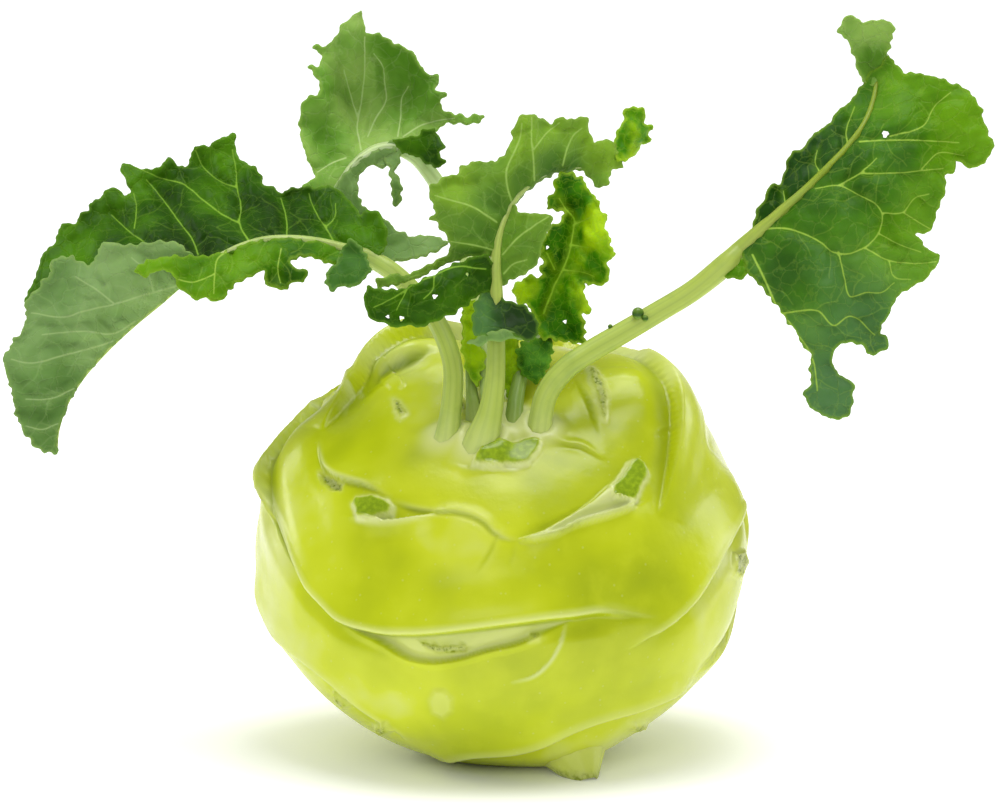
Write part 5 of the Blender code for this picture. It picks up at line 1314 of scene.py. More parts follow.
BRIGHT_HEART_LEAF = Leaf(
    name="heart_leaf_bright",
    slot="young_leaf",
    rib_sink=2.2,
    stalk=SHADED_STALK,
    stem=(
        (0.8, 60, -17, 1.2), (0.9, 64, -14.6, 1.0), (1, 68, -12.8, 0.8), (1, 72, -12, 0.6),
        (1, 75.6, -12, 0.5),
    ),
    blades=(
        Blade(
            upper=YOUNG_UPPER, under=YOUNG_UPPER, crinkle=0.6, teeth=0.5, ruffle=0.9,
            tones_and_painted_light=((1, 67, 0.9), (2, 71, 1.3), (1, 75, 0.9), (3, 69, 0.5)),
            outline=(
                (1.2, 65, -6.8), (0, 66.4, -6.2), (-0.4, 69.6, -5.8), (-0.4, 73, -5.4), (-0.2, 76.4, -5.4),
                (1.2, 77.4, -5.4), (3, 76.6, -5.4), (3, 74.4, -5.4), (3.6, 72.6, -5.6), (3.4, 70.4, -6),
                (3.6, 68, -6.4), (2.4, 66, -6.6),
            ),
            inner=((1, 68, -6.4), (1, 72, -6)),
            ripple=0.3,
        ),
    ),
)
TALL_HEART_LEAF = Leaf(
    name="heart_leaf_tall",
    slot="young_leaf",
    rib_sink=2.2,
    stalk=SHADED_STALK,
    stem=(
        (-4.6, 60, -20.6, 1.3), (-5.2, 64, -20, 1.1), (-5.6, 69, -18.6, 0.9), (-5.8, 75, -18, 0.7),
        (-5.8, 80.6, -18, 0.5),
    ),
    blades=(
        Blade(
            upper=YOUNG_UPPER, under=YOUNG_UPPER, crinkle=0.45, teeth=0.5, ruffle=0.6,
            tones_and_painted_light=((-6, 80, 1.2), (-6, 75, 1.3), (-4, 71, 0.6), (-5, 68, 0.2)),
            outline=(
                (-4.6, 66.4, -9.8), (-6.2, 69, -9.4), (-7.2, 73, -9.4), (-7, 77, -9.6), (-7.5, 80, -9.6),
                (-6.2, 82.6, -9.6), (-4.8, 82.4, -9.6), (-4.2, 79, -9.6), (-3.4, 75, -9.6), (-3, 71, -9.6),
            ),
            inner=((-5.8, 73, -8.8), (-5.8, 78, -8.8)),
            ripple=0.3,
        ),
    ),
)

LEAVES = (RIGHT_LEAF, LEFT_LEAF, BACK_LEAF, FRONT_LEAF, INNER_LEAF)
HEART_LEAVES = (DARK_HEART_LEAF, BRIGHT_HEART_LEAF, TALL_HEART_LEAF)


@dataclass(frozen=True)
class BladeMaker:
    """Makes one blade: a thin sheet with puckered tissue between its veins and a toothed, ruffled margin.

    Lengths are in millimetres: how deep the tissue puckers and how far the pucker takes to rise from a vein,
    how far in from the margin the ruffles fade, and how far apart ruffles, crinkles, bumps and teeth are. A
    vein's half width at its foot is a share of its width, and it thins by a share of that. A branch leaves
    its vein at an angle, bends as it goes, sways, and ends where it comes near another one.
    """

    blade: Blade
    rib: np.ndarray
    seed: int
    pucker: float = 0.8
    pucker_rise: float = 2.3
    fine_pucker: float = 0.32
    fine_rise: float = 1.1
    branch_gap: tuple[float, float] = (2.4, 4.6)
    branch_length: tuple[float, float] = (3.0, 7.0)
    branch_width: float = 0.16
    branch_angle: tuple[float, float] = (0.75, 1.2)
    branch_bend: float = 0.07
    branch_sway: float = 0.25
    branch_room: float = 0.35
    vein_half: float = 0.2
    vein_thins: float = 0.6
    vein_room: float = 0.2
    free_from: float = 1.0
    free_rise: float = 4.0
    bump: float = 0.18
    bump_size: float = 3.4
    ruffle_reach: float = 5.0
    ruffle_size: float = 7.0
    crinkle_size: float = 2.2
    tooth_size: float = 1.7

    def margin(self) -> np.ndarray:
        """Draws the blade's edge.

        Returns:
            Closely spaced points, with the margin's small irregular teeth.
        """
        corners = np.array(self.blade.outline, float)[:, :2]
        closed = np.vstack([corners, corners[:1]])
        run = lengths_along(closed)
        at = np.arange(0, run[-1], MARGIN_STEP)
        line = np.column_stack([np.interp(at, run, closed[:, k]) for k in (0, 1)])
        line = (np.roll(line, 1, axis=0) + 2 * line + np.roll(line, -1, axis=0)) / 4
        ahead = unit(np.roll(line, -1, axis=0) - np.roll(line, 1, axis=0))
        sideways = np.column_stack([ahead[:, 1], -ahead[:, 0]])
        teeth = uneven(line, self.tooth_size, self.seed)
        return line + (self.blade.teeth * teeth)[:, None] * sideways

    def vein_places(self) -> tuple[list[np.ndarray], list[np.ndarray]]:
        """Draws the main veins.

        Returns:
            Their lines as closely spaced points, and their half widths there.
        """
        lines = []
        halves = []
        for vein in self.blade.veins:
            knots = np.array(vein.points, float)
            run = lengths_along(knots)
            at = np.linspace(0, run[-1], max(3, round(run[-1] / VEIN_STEP)))
            lines.append(through(run, knots, at))
            halves.append(self.vein_half * vein.width * (1 - self.vein_thins * at / run[-1]))
        return lines, halves

    def branches(self, margin: np.ndarray, veins: list[np.ndarray]) -> list[np.ndarray]:
        """Grows fine veins from the main ones and the rib, each until it meets another vein or the margin.

        Args:
            margin: The blade's edge.
            veins: The lines of its main veins.

        Returns:
            The lines of the fine veins.
        """
        draw = np.random.default_rng(self.seed + 5)
        rib = self.rib[:, :2]
        run = lengths_along(rib)
        rib = through(run, rib, np.arange(0, run[-1], VEIN_STEP))
        parents = [*veins]
        if inside(margin, rib).sum() > 10:
            parents.append(rib[inside(margin, rib)])
        grown = []
        for parent in parents:
            run = lengths_along(parent)
            side = 1 if draw.random() < 0.5 else -1
            at = draw.uniform(*self.branch_gap) / 2
            while at < run[-1] - 0.5:
                start = np.array([np.interp(at, run, parent[:, k]) for k in (0, 1)])
                ahead = [np.interp(at, run, np.gradient(parent[:, k], run)) for k in (0, 1)]
                steps = np.arange(VEIN_STEP, draw.uniform(*self.branch_length), VEIN_STEP)
                turn = draw.uniform(*self.branch_angle) - self.branch_bend * steps
                heading = math.atan2(ahead[1], ahead[0]) + side * turn
                heading = heading + self.branch_sway * np.sin(steps * 1.3 + draw.uniform(0, 6))
                walk = np.column_stack([np.cos(heading), np.sin(heading)]) * VEIN_STEP
                branch = start + np.vstack([(0, 0), np.cumsum(walk, axis=0)])
                blocked = ~inside(margin, branch)
                for other in [line for line in (*parents, *grown) if line is not parent]:
                    blocked |= distance_to_line(other, branch)[0] < self.branch_room
                blocked[:2] = False
                end = int(np.argmax(blocked)) + 1 if blocked.any() else len(branch)
                if end > 4:
                    grown.append(branch[:end])
                at += draw.uniform(*self.branch_gap)
                side = -side
        return grown

    def spots(self, margin: np.ndarray, veins: list[np.ndarray]) -> np.ndarray:
        """Evenly spread places within the margin, closer together on the veins and round the holes.

        Args:
            margin: The blade's edge.
            veins: The lines of its veins.

        Returns:
            The places, one a row.
        """
        low, high = margin.min(axis=0), margin.max(axis=0)
        rows = []
        for k, up in enumerate(np.arange(low[1], high[1], ROW_STEP)):
            across = np.arange(low[0] + (k % 2) * INNER_STEP / 2, high[0], INNER_STEP)
            rows.append(np.column_stack([across, np.full(len(across), up)]))
        spots = np.vstack(rows)
        kept = np.zeros((0, 2))
        for line in veins:
            room = [np.min(np.linalg.norm(kept - spot, axis=1), initial=FAR_FROM_VEIN) for spot in line]
            line = line[np.array(room) > self.vein_room]
            kept = np.vstack([kept, line])
            if len(line) > 1:
                spots = spots[distance_to_line(line, spots)[0] > 0.5 * INNER_STEP]
        spots = np.vstack([spots, kept])
        for across, up, radius in self.blade.holes:
            away = spots - (across, up)
            spots = spots[np.linalg.norm(away, axis=1) > radius + 0.5 * INNER_STEP]
            turns = np.linspace(0, 2 * np.pi, max(8, round(2 * np.pi * radius / 0.3)), endpoint=False)
            ring = radius * (1 + 0.25 * np.sin(3 * turns + across))
            ring = np.column_stack([np.cos(turns), np.sin(turns)]) * ring[:, None]
            spots = np.vstack([spots, ring + (across, up)])
        spots = spots[inside(margin, spots)]
        return spots[distance_to_line(margin, spots, closed=True)[0] > 0.45 * INNER_STEP]

    def build(self, name: str, finishes: dict[str, bpy.types.Material]) -> bpy.types.Object:
        """Makes the blade.

        Args:
            name: The object's name.
            finishes: The leaf's materials by name.

        Returns:
            The blade as a closed thin shell.
        """
        blade = self.blade
        margin = self.margin()
        veins, halves = self.vein_places()
        fine = self.branches(margin, veins)
        places = np.vstack([margin, self.spots(margin, veins + fine)])
        loop = [list(range(len(margin)))]
        flat, _, triangles, *_ = delaunay_2d_cdt([Vector(place) for place in places], [], loop, 1, 1e-4)
        flat = np.array([tuple(place) for place in flat])
        triangles = np.array([tuple(face) for face in triangles])
        middles = flat[triangles].mean(axis=1)
        for across, up, radius in blade.holes:
            keep = np.linalg.norm(middles - (across, up), axis=1) > radius * 0.92
            triangles, middles = triangles[keep], middles[keep]
        edges = flat[triangles]
        first, second = edges[:, 1] - edges[:, 0], edges[:, 2] - edges[:, 0]
        turned = first[:, 0] * second[:, 1] - first[:, 1] * second[:, 0] < 0
        triangles[turned] = triangles[turned][:, ::-1]

        from_vein = np.full(len(flat), FAR_FROM_VEIN)
        from_line = np.full(len(flat), FAR_FROM_VEIN)
        from_fine = np.full(len(flat), FAR_FROM_VEIN)
        for line in fine:
            from_fine = np.minimum(from_fine, distance_to_line(line, flat)[0])
        for line, half in zip(veins, halves):
            far, along = distance_to_line(line, flat)
            run = lengths_along(line)
            from_vein = np.minimum(from_vein, far - np.interp(along, run, half))
            from_line = np.minimum(from_line, far)
        from_rib = distance_to_line(self.rib[:, :2], flat)[0]
        from_margin = distance_to_line(margin, flat, closed=True)[0]

        back_at = depth_field(blade.outline + blade.inner)
        back = back_at(flat)
        slope_across, slope_up = (
            (back_at(flat + way) - back_at(flat - way)) / (2 * SLOPE_STEP)
            for way in ((SLOPE_STEP, 0), (0, SLOPE_STEP))
        )
        steep = np.minimum(np.sqrt(1 + slope_across**2 + slope_up**2), MOST_STEEP)
        free = smooth((from_rib - self.free_from) / self.free_rise)
        lift = blade.ripple * free * np.sin(flat[:, 0] * RIPPLE_ACROSS + flat[:, 1] * RIPPLE_UP)
        at_margin = 1 - smooth(from_margin / self.ruffle_reach)
        lift += blade.ruffle * at_margin * free * uneven(flat, self.ruffle_size, self.seed + 1)
        toward_upper = -1.0 if blade.shows is Side.UPPER else 1.0
        held = smooth(from_line / self.pucker_rise) * smooth(from_rib / self.pucker_rise)
        lift += toward_upper * self.pucker * (held - 0.5) * (0.6 + 0.4 * smooth(from_margin / 3))
        lift += toward_upper * self.fine_pucker * (smooth(from_fine / self.fine_rise) - 0.6)
        lift += toward_upper * self.bump * uneven(flat, self.bump_size, self.seed + 2) * held
        lift += blade.crinkle * (0.4 + 0.6 * free) * uneven(flat, self.crinkle_size, self.seed + 3)
        back = back + lift * steep + BLADE_DEPTH

        made = add_mesh(name, np.column_stack([flat, back]) @ sight_axes(), triangles.tolist(), [])
        sides = (blade.upper, blade.under) if blade.shows is Side.UPPER else (blade.under, blade.upper)
        for side in sides:
            made.data.materials.append(finishes[side.name])
        write_attribute(made, "vein", np.clip(from_vein, -1, FAR_FROM_VEIN))
        write_attribute(made, "fine_vein", from_fine - self.branch_width / 2)
        write_attribute(made, "margin", from_margin)
        write_attribute(made, "tone_and_painted_light", self.blend(blade.tones_and_painted_light, flat))
        write_attribute(made, "bloom", self.blend(blade.blooms, flat))
        write_attribute(made, "run", np.zeros(len(flat)))
        write_attribute(made, "string", np.zeros(len(flat)))
        apply_modifier(made, "SOLIDIFY", {
            "thickness": BLADE_THICKNESS * MM, "offset": 0.0, "material_offset": 1, "use_even_offset": False,
        })
        return made

    def blend(self, known: Points, flat: np.ndarray) -> np.ndarray:
        """Blends what is known at some places over all of them.

        Args:
            known: The known places (across, up, value).
            flat: All the places, one a row.

        Returns:
            The value at each place.
        """
        if not known:
            return np.zeros(len(flat))
        marks = np.array(known, float)
        far = np.linalg.norm(flat[:, None] - marks[None, :, :2], axis=2)
        weights = 1 / (far + 1.5) ** 3
        return (weights @ marks[:, 2]) / weights.sum(axis=1)


@dataclass(frozen=True)
class StalkMaker:
    """Makes a stalk and rib: a tube with faint strings along it, which flares a little at its foot.

    Lengths are in millimetres: the space between its rings, how far up its foot flares, and how deep its
    strings are. The rib stands out by a share of its radius from a blade that shows its underside.
    """

    leaf: Leaf
    sides: int = 28
    ring_step: float = 0.6
    flare: float = 0.45
    flare_reach: float = 6.0
    string_depth: float = 0.07
    strings: int = 9
    raised: float = 0.6

    def build(self, name: str, finishes: dict[str, bpy.types.Material]) -> bpy.types.Object:
        """Makes the stalk.

        Args:
            name: The object's name.
            finishes: The leaf's materials by name.

        Returns:
            The stalk as a closed tube.
        """
        stem = np.array(self.leaf.stem, float)
        points = stem[:, :3] @ sight_axes()
        knots = lengths_along(points)
        run = np.linspace(0, knots[-1], round(knots[-1] / self.ring_step))
        middle = through(knots, points, run)
        radius = through(knots, stem[:, 3:], run)[:, 0]
        blade = self.leaf.blades[0]
        first = np.array(blade.outline, float)[:, :2]
        on_blade = smooth(1 - distance_to_line(first, middle @ sight_axes().T[:, :2], closed=True)[0] / 3)
        within = inside(first, middle @ sight_axes().T[:, :2])
        on_blade = np.maximum(on_blade, within)
        sunk = self.leaf.rib_sink if blade.shows is Side.UPPER else -self.raised
        middle = middle + (sunk * radius * on_blade)[:, None] * sight_axes()[2]
        radius = radius * (1 + self.flare * (1 - smooth(run / self.flare_reach)))
        along = unit(np.gradient(middle, run, axis=0))
        side = unit(np.cross(along, (0.3, 1.0, 0.0)))
        other = np.cross(along, side)
        rings = []
        strings = []
        for k in range(self.sides):
            turn = 2 * math.pi * k / self.sides
            string = np.cos(self.strings * turn + 0.05 * run + 0.4 * np.sin(0.11 * run))
            out = radius * (1 + 0.03 * np.sin(2 * turn + 0.07 * run))
            out = out + self.string_depth * string * radius / 2
            rings.append(middle + out[:, None] * (math.cos(turn) * side + math.sin(turn) * other))
            strings.append(-string)
        places = np.stack(rings, axis=1).reshape(-1, 3)
        faces = []
        for i in range(len(run) - 1):
            for k in range(self.sides):
                a, b = i * self.sides + k, i * self.sides + (k + 1) % self.sides
                faces.append((a, b, b + self.sides, a + self.sides))
        faces.append(tuple(range(self.sides))[::-1])
        faces.append(tuple(range(len(places) - self.sides, len(places))))
        made = add_mesh(name, places, faces, [finishes[self.leaf.stalk.name]])
        write_attribute(made, "run", np.repeat(run, self.sides))
        write_attribute(made, "string", np.stack(strings, axis=1).ravel())
        for blank in ("vein", "fine_vein", "margin"):
            write_attribute(made, blank, np.full(len(places), FAR_FROM_VEIN))
        for blank in ("tone_and_painted_light", "bloom"):
            write_attribute(made, blank, np.zeros(len(places)))
        return made


@dataclass(frozen=True)
class LeafMaker:
    """Makes a leaf from its stalk and its blades."""

    leaf: Leaf
    seed: int

    def build(self, finishes: dict[str, bpy.types.Material]) -> bpy.types.Object:
        """Makes the leaf and puts it in the place of its CAD node.

        Args:
            finishes: The leaves' materials by name.

        Returns:
            The leaf.
        """
        leaf = self.leaf
        rib = np.array(leaf.stem, float)
        parts = [StalkMaker(leaf).build(f"{leaf.name}_stalk", finishes)]
        for number, blade in enumerate(leaf.blades):
            maker = BladeMaker(blade, rib, self.seed + 10 * number)
            parts.append(maker.build(f"{leaf.name}_blade_{number}", finishes))
        for number, (across, up, back, radius) in enumerate(leaf.drops):
            place = np.array((across, up, back)) @ sight_axes()
            parts.append(add_drop(f"{leaf.name}_drop_{number}", place, radius, finishes[DROP.name]))
        made = join(f"dressed_{leaf.name}", parts)
        hand_in(made, leaf.slot, leaf.name)
        return made


# The bulb


@dataclass(frozen=True)
class LeafBase:
    """A crescent on the sides and back: a raised band whose upper edge is a lip over a groove, which painted
    shade darkens.

    The longitude runs from the front to the right and the latitude towards the crown, both in degrees, and
    the turn too. The span, the sag of its middle, the heights and the band's width are in millimetres.
    """

    lon: float
    lat: float
    turn: float
    span: float
    sag: float
    lip: float
    groove: float
    band: float


@dataclass(frozen=True)
class Swell:
    """A broad, soft bulge of the bulb, or a hollow where its height is negative; the reach is in degrees."""

    lon: float
    lat: float
    reach: float
    height: float


@dataclass(frozen=True)
class Lip:
    """An edge on the bulb's front, where a leaf base ends over a hollow.

    The line is in pixels of the photograph, right and down, and the hollow is on its left-hand side as it
    goes. The lip stands out by height and fades over the band, and the hollow goes in by groove and fades
    over reach. Both fade out at the line's ends over the taper. The pale share is the lip's pale skin and,
    along some edges, a painted highlight; its crease is the olive painted shade in the hollow.
    """

    line: Points
    height: float = 1.0
    groove: float = 0.5
    band: float = 7.0
    step: float = 0.7
    reach: float = 5.0
    # How much pale the lip paints: its pale skin, and on some edges a painted highlight
    pale: float = 0.6
    pale_width: float = 1.8
    # How much painted shade darkens the hollow
    crease: float = 0.7
    taper: float = 8.0


class StubKind(Enum):
    """How a stalk came off."""

    CUT = "cut"
    TORN = "torn"
    SKIN = "skin"


@dataclass(frozen=True)
class Stub:
    """What is left of a stalk: a patch that stands out or goes in, with a pale rim or all pale.

    The outline is where its face shows, in pixels of the photograph. The upward share turns the way that it
    stands out from the skin's own direction towards straight up.
    """

    outline: Points
    height: float
    flank: float = 0.8
    kind: StubKind = StubKind.TORN
    upward: float = 0.3
    rim: float = 0.3
    pale: float = 0.0


@dataclass(frozen=True)
class Scar:
    """What is left of a stalk on the sides and back: a flat-topped step out of the bulb."""

    lon: float
    lat: float
    turn: float
    half_length: float
    half_width: float
    height: float
    upward: float
    torn: float = 1.0


BACK_BASES = (
    LeafBase(lon=-101, lat=26, turn=-4, span=34, sag=2.0, lip=2.2, groove=0.8, band=11),
    LeafBase(lon=-142, lat=52, turn=0, span=24, sag=2.0, lip=3.4, groove=0.8, band=9),
    LeafBase(lon=108, lat=51, turn=0, span=28, sag=2.0, lip=2.6, groove=0.8, band=9),
    LeafBase(lon=172, lat=34, turn=4, span=40, sag=2.0, lip=1.9, groove=0.8, band=9),
    LeafBase(lon=-150, lat=14, turn=-5, span=40, sag=2.0, lip=1.9, groove=0.8, band=9),
    LeafBase(lon=140, lat=8, turn=5, span=40, sag=2.0, lip=1.9, groove=0.8, band=9),
    LeafBase(lon=-110, lat=-14, turn=-4, span=36, sag=2.5, lip=1.6, groove=0.7, band=9),
    LeafBase(lon=-178, lat=-16, turn=3, span=36, sag=2.5, lip=1.6, groove=0.7, band=9),
    LeafBase(lon=98, lat=-18, turn=4, span=34, sag=2.5, lip=1.6, groove=0.7, band=9),
)

SWELLS = (
    Swell(lon=101, lat=50, reach=18, height=5.6),
    Swell(lon=122, lat=58, reach=14, height=2.4),
    Swell(lon=-143, lat=53, reach=13, height=4.4),
    Swell(lon=-98, lat=36, reach=12, height=2.8),
    Swell(lon=-78, lat=-44, reach=21, height=-3.0),
    Swell(lon=84, lat=-16, reach=14, height=-1.2),
)

BACK_SCARS = (
    Scar(lon=-122, lat=58, turn=60, half_length=5.0, half_width=1.4, height=0.5, upward=0.5, torn=0.0),
    Scar(lon=112, lat=63, turn=70, half_length=4.6, half_width=1.6, height=0.2, upward=0.3, torn=0.0),
    Scar(lon=172, lat=33, turn=0, half_length=5.0, half_width=2.2, height=2.6, upward=0.4),
    Scar(lon=-152, lat=12, turn=0, half_length=5.0, half_width=2.2, height=2.2, upward=0.4),
    Scar(lon=142, lat=6, turn=0, half_length=5.0, half_width=2.2, height=2.4, upward=0.4),
)

FRONT_LIPS = (
    Lip(line=((262, 448), (267, 469), (280, 505), (293, 535), (303, 568), (311, 586), (326, 602), (339, 615),
              (375, 627), (416, 629), (465, 625), (505, 620), (545, 615), (572, 612), (592, 609), (628, 612)),
        height=1.6, groove=0.9, band=9.0, pale=0.55, pale_width=1.6, step=1.15, reach=4.0, crease=0.5),
    Lip(line=((342, 621), (356, 629), (383, 640), (412, 655), (432, 658), (456, 655), (485, 647), (522, 638),
              (540, 630), (570, 618)),
        height=-0.9, groove=-0.5, band=3.0, pale=0.5, pale_width=1.0, reach=1.6, step=0.35, crease=0.0),
    Lip(line=((256, 562), (260, 590), (276, 632), (291, 640), (306, 655), (324, 672), (340, 683), (353, 692),
              (383, 715), (406, 735)),
        height=1.2, groove=0.5, band=7.0, pale=0.5, step=0.5, reach=4.0, crease=0.5),
    # The pale along this lip is a painted highlight, the glossy streak on the left shoulder
    Lip(line=((297, 421), (303, 407), (312, 396), (326, 383), (341, 373), (357, 363)),
        height=0.5, groove=0.2, band=5.0, step=2.2, pale=0.9, pale_width=1.6, crease=0.0, reach=4.0),
    Lip(line=((319, 402), (336, 391), (357, 380)),
        height=0.35, groove=0.1, band=2.0, reach=2.0, pale=0.7, pale_width=0.8, crease=0.0),
    Lip(line=((366, 388), (371, 382), (378, 377), (387, 368), (401, 360), (418, 352), (434, 348)),
        height=1.6, groove=1.0, band=8.0, step=1.7, reach=3.5, pale=0.1, crease=0.95, taper=4.0),
    Lip(line=((347, 416), (352, 400), (358, 386), (362, 370), (365, 352)),
        height=0.6, groove=0.2, band=3.0, reach=3.0, step=2.2, pale=0.8, pale_width=1.8, crease=0.0),
    Lip(line=((320, 442), (322, 455), (326, 466), (335, 474), (349, 479), (365, 483), (392, 496)),
        height=0.7, groove=0.4, band=4.0, pale=0.6, pale_width=1.0, step=0.5, reach=4.0, crease=0.55),
    Lip(line=((441, 510), (425, 515), (406, 519), (389, 521), (372, 520), (356, 516)),
        height=1.3, groove=0.7, band=4.0, reach=5.5, step=0.6, pale=0.85, pale_width=1.5, crease=0.3,
        taper=5.0),
    Lip(line=((392, 500), (413, 506), (436, 510), (456, 510), (472, 514), (485, 521), (495, 531), (509, 537),
              (519, 539)),
        height=0.22, groove=0.16, band=2.5, reach=1.6, step=0.4, pale=0.35, pale_width=1.2, crease=0.5,
        taper=5.0),
    Lip(line=((518, 539), (538, 535), (556, 531), (577, 521), (601, 514), (628, 505), (646, 497)),
        height=-1.2, groove=-1.1, band=3.0, reach=5.0, step=0.6, pale=0.2, crease=0.35),
    Lip(line=((628, 645), (643, 635), (664, 622), (688, 599), (704, 575), (718, 552), (731, 526), (744, 489)),
        height=1.6, groove=0.9, band=9.0, pale=0.45, step=0.5, reach=5.0, crease=0.6),
    Lip(line=((580, 607), (609, 607), (632, 611), (650, 613)),
        height=0.3, groove=0.3, band=2.5, pale=0.15, step=0.4, reach=2.0, crease=0.4),
    Lip(line=((744, 493), (727, 477), (714, 456), (702, 437), (693, 420), (685, 403), (674, 391), (656, 376),
              (635, 366), (612, 349)),
        height=0.5, groove=0.2, band=7.0, pale=0.35, pale_width=2.0, crease=0.0, step=2.6, reach=5.0),
    Lip(line=((651, 434), (660, 429), (674, 426)),
        height=0.2, groove=0.3, band=1.5, reach=1.2, step=0.35, pale=0.1, crease=0.5, taper=3.0),
    Lip(line=((576, 378), (588, 400), (595, 420), (601, 442)),
        height=0.6, groove=0.3, band=3.0, pale=0.4, step=0.5, reach=2.5, crease=0.5),
    Lip(line=((545, 443), (562, 444), (582, 446), (590, 452), (600, 456)),
        height=0.4, groove=0.3, band=2.0, pale=0.15, step=0.5, reach=2.5, crease=0.4, taper=5.0),
    Lip(line=((452, 462), (470, 468), (492, 466), (515, 468), (530, 463)),
        height=-0.3, groove=-0.2, band=2.0, pale=0.35, step=0.4, reach=1.5, crease=0.35, taper=5.0),
    Lip(line=((441, 756), (480, 748), (515, 744), (538, 738), (572, 722), (605, 711), (638, 703), (665, 693),
              (690, 683)),
        height=1.3, groove=0.8, band=6.0, pale=0.4, pale_width=2.4, step=0.7, crease=0.6),
    Lip(line=((499, 531), (493, 547), (480, 568)),
        height=0.1, groove=0.15, band=1.0, reach=0.8, step=0.3, pale=0.1, crease=0.35, taper=3.0),
    Lip(line=((516, 540), (515, 549), (512, 559)),
        height=0.1, groove=0.15, band=1.0, reach=0.8, step=0.3, pale=0.1, crease=0.35, taper=3.0),
    Lip(line=((566, 620), (559, 640), (547, 660), (533, 672), (513, 678)),
        height=0.2, groove=0.05, band=0.9, reach=0.8, step=0.4, pale=0.75, pale_width=0.9, crease=0.0,
        taper=4.0),
)

# Where the skin is paler or deeper, partly its own colour and partly painted shade and painted highlight:
# pixels right and down, then from deep -1 to pale 1
SKIN_TONES_AND_PAINTED_LIGHT = (
    (395, 340, -0.2), (375, 365, 0.5), (425, 332, 0.8), (412, 372, 0.8), (390, 405, 0.4), (440, 395, 0.5),
    (425, 415, 0.4), (310, 400, 0.5), (280, 440, 0.8), (262, 500, 0.8), (262, 545, 0.9), (272, 590, 0.8),
    (255, 610, 0.6), (280, 560, 0.8), (300, 620, 0.3), (340, 400, -0.4), (315, 440, 0.0), (380, 440, -0.5),
    (350, 440, -0.4), (415, 455, -0.6), (350, 468, 0.2), (457, 472, 0.8), (440, 485, 0.3), (395, 478, 0.3),
    (440, 440, 0.6), (505, 485, 0.5), (478, 480, -0.1), (515, 505, 0.4), (540, 478, -0.5), (560, 460, -1.0),
    (580, 470, -0.9), (600, 432, -0.8), (565, 430, -1.0), (585, 400, 0.0), (570, 395, 0.4), (590, 345, 0.6),
    (632, 372, 0.0), (640, 410, -0.3), (670, 450, -0.3), (690, 480, -0.3), (650, 490, -0.2), (640, 520, 0.1),
    (690, 520, -0.5), (320, 520, 0.1), (335, 565, 0.4), (365, 540, 0.0), (400, 560, -0.4), (445, 580, -0.5),
    (425, 535, 0.3), (500, 560, -0.1), (540, 570, -0.5), (590, 570, -0.6), (470, 600, 0.0), (550, 595, -0.3),
    (640, 580, -0.6), (665, 595, -0.5), (410, 600, 0.2), (360, 610, -0.2), (380, 660, -0.1), (440, 680, 0.2),
    (400, 700, 0.4), (480, 690, -0.1), (520, 655, -0.5), (540, 695, -0.6), (600, 650, -0.4), (590, 690, -0.5),
    (640, 680, -0.3), (680, 640, 0.2), (700, 605, 0.6), (725, 560, 0.7), (720, 620, 0.4), (690, 665, 0.2),
    (450, 725, -0.1), (520, 730, -0.4), (490, 752, -0.5), (560, 745, 0.5), (600, 740, 0.6), (640, 725, 0.4),
    (340, 680, 0.5), (310, 640, 0.6), (395, 530, -0.2), (470, 520, 0.2), (600, 535, -0.1), (560, 500, -0.5),
    (650, 356, 1.0), (678, 372, 1.1), (695, 398, 1.1), (708, 425, 0.9), (722, 452, 0.8), (738, 480, 0.7),
    (655, 395, -0.2),
)

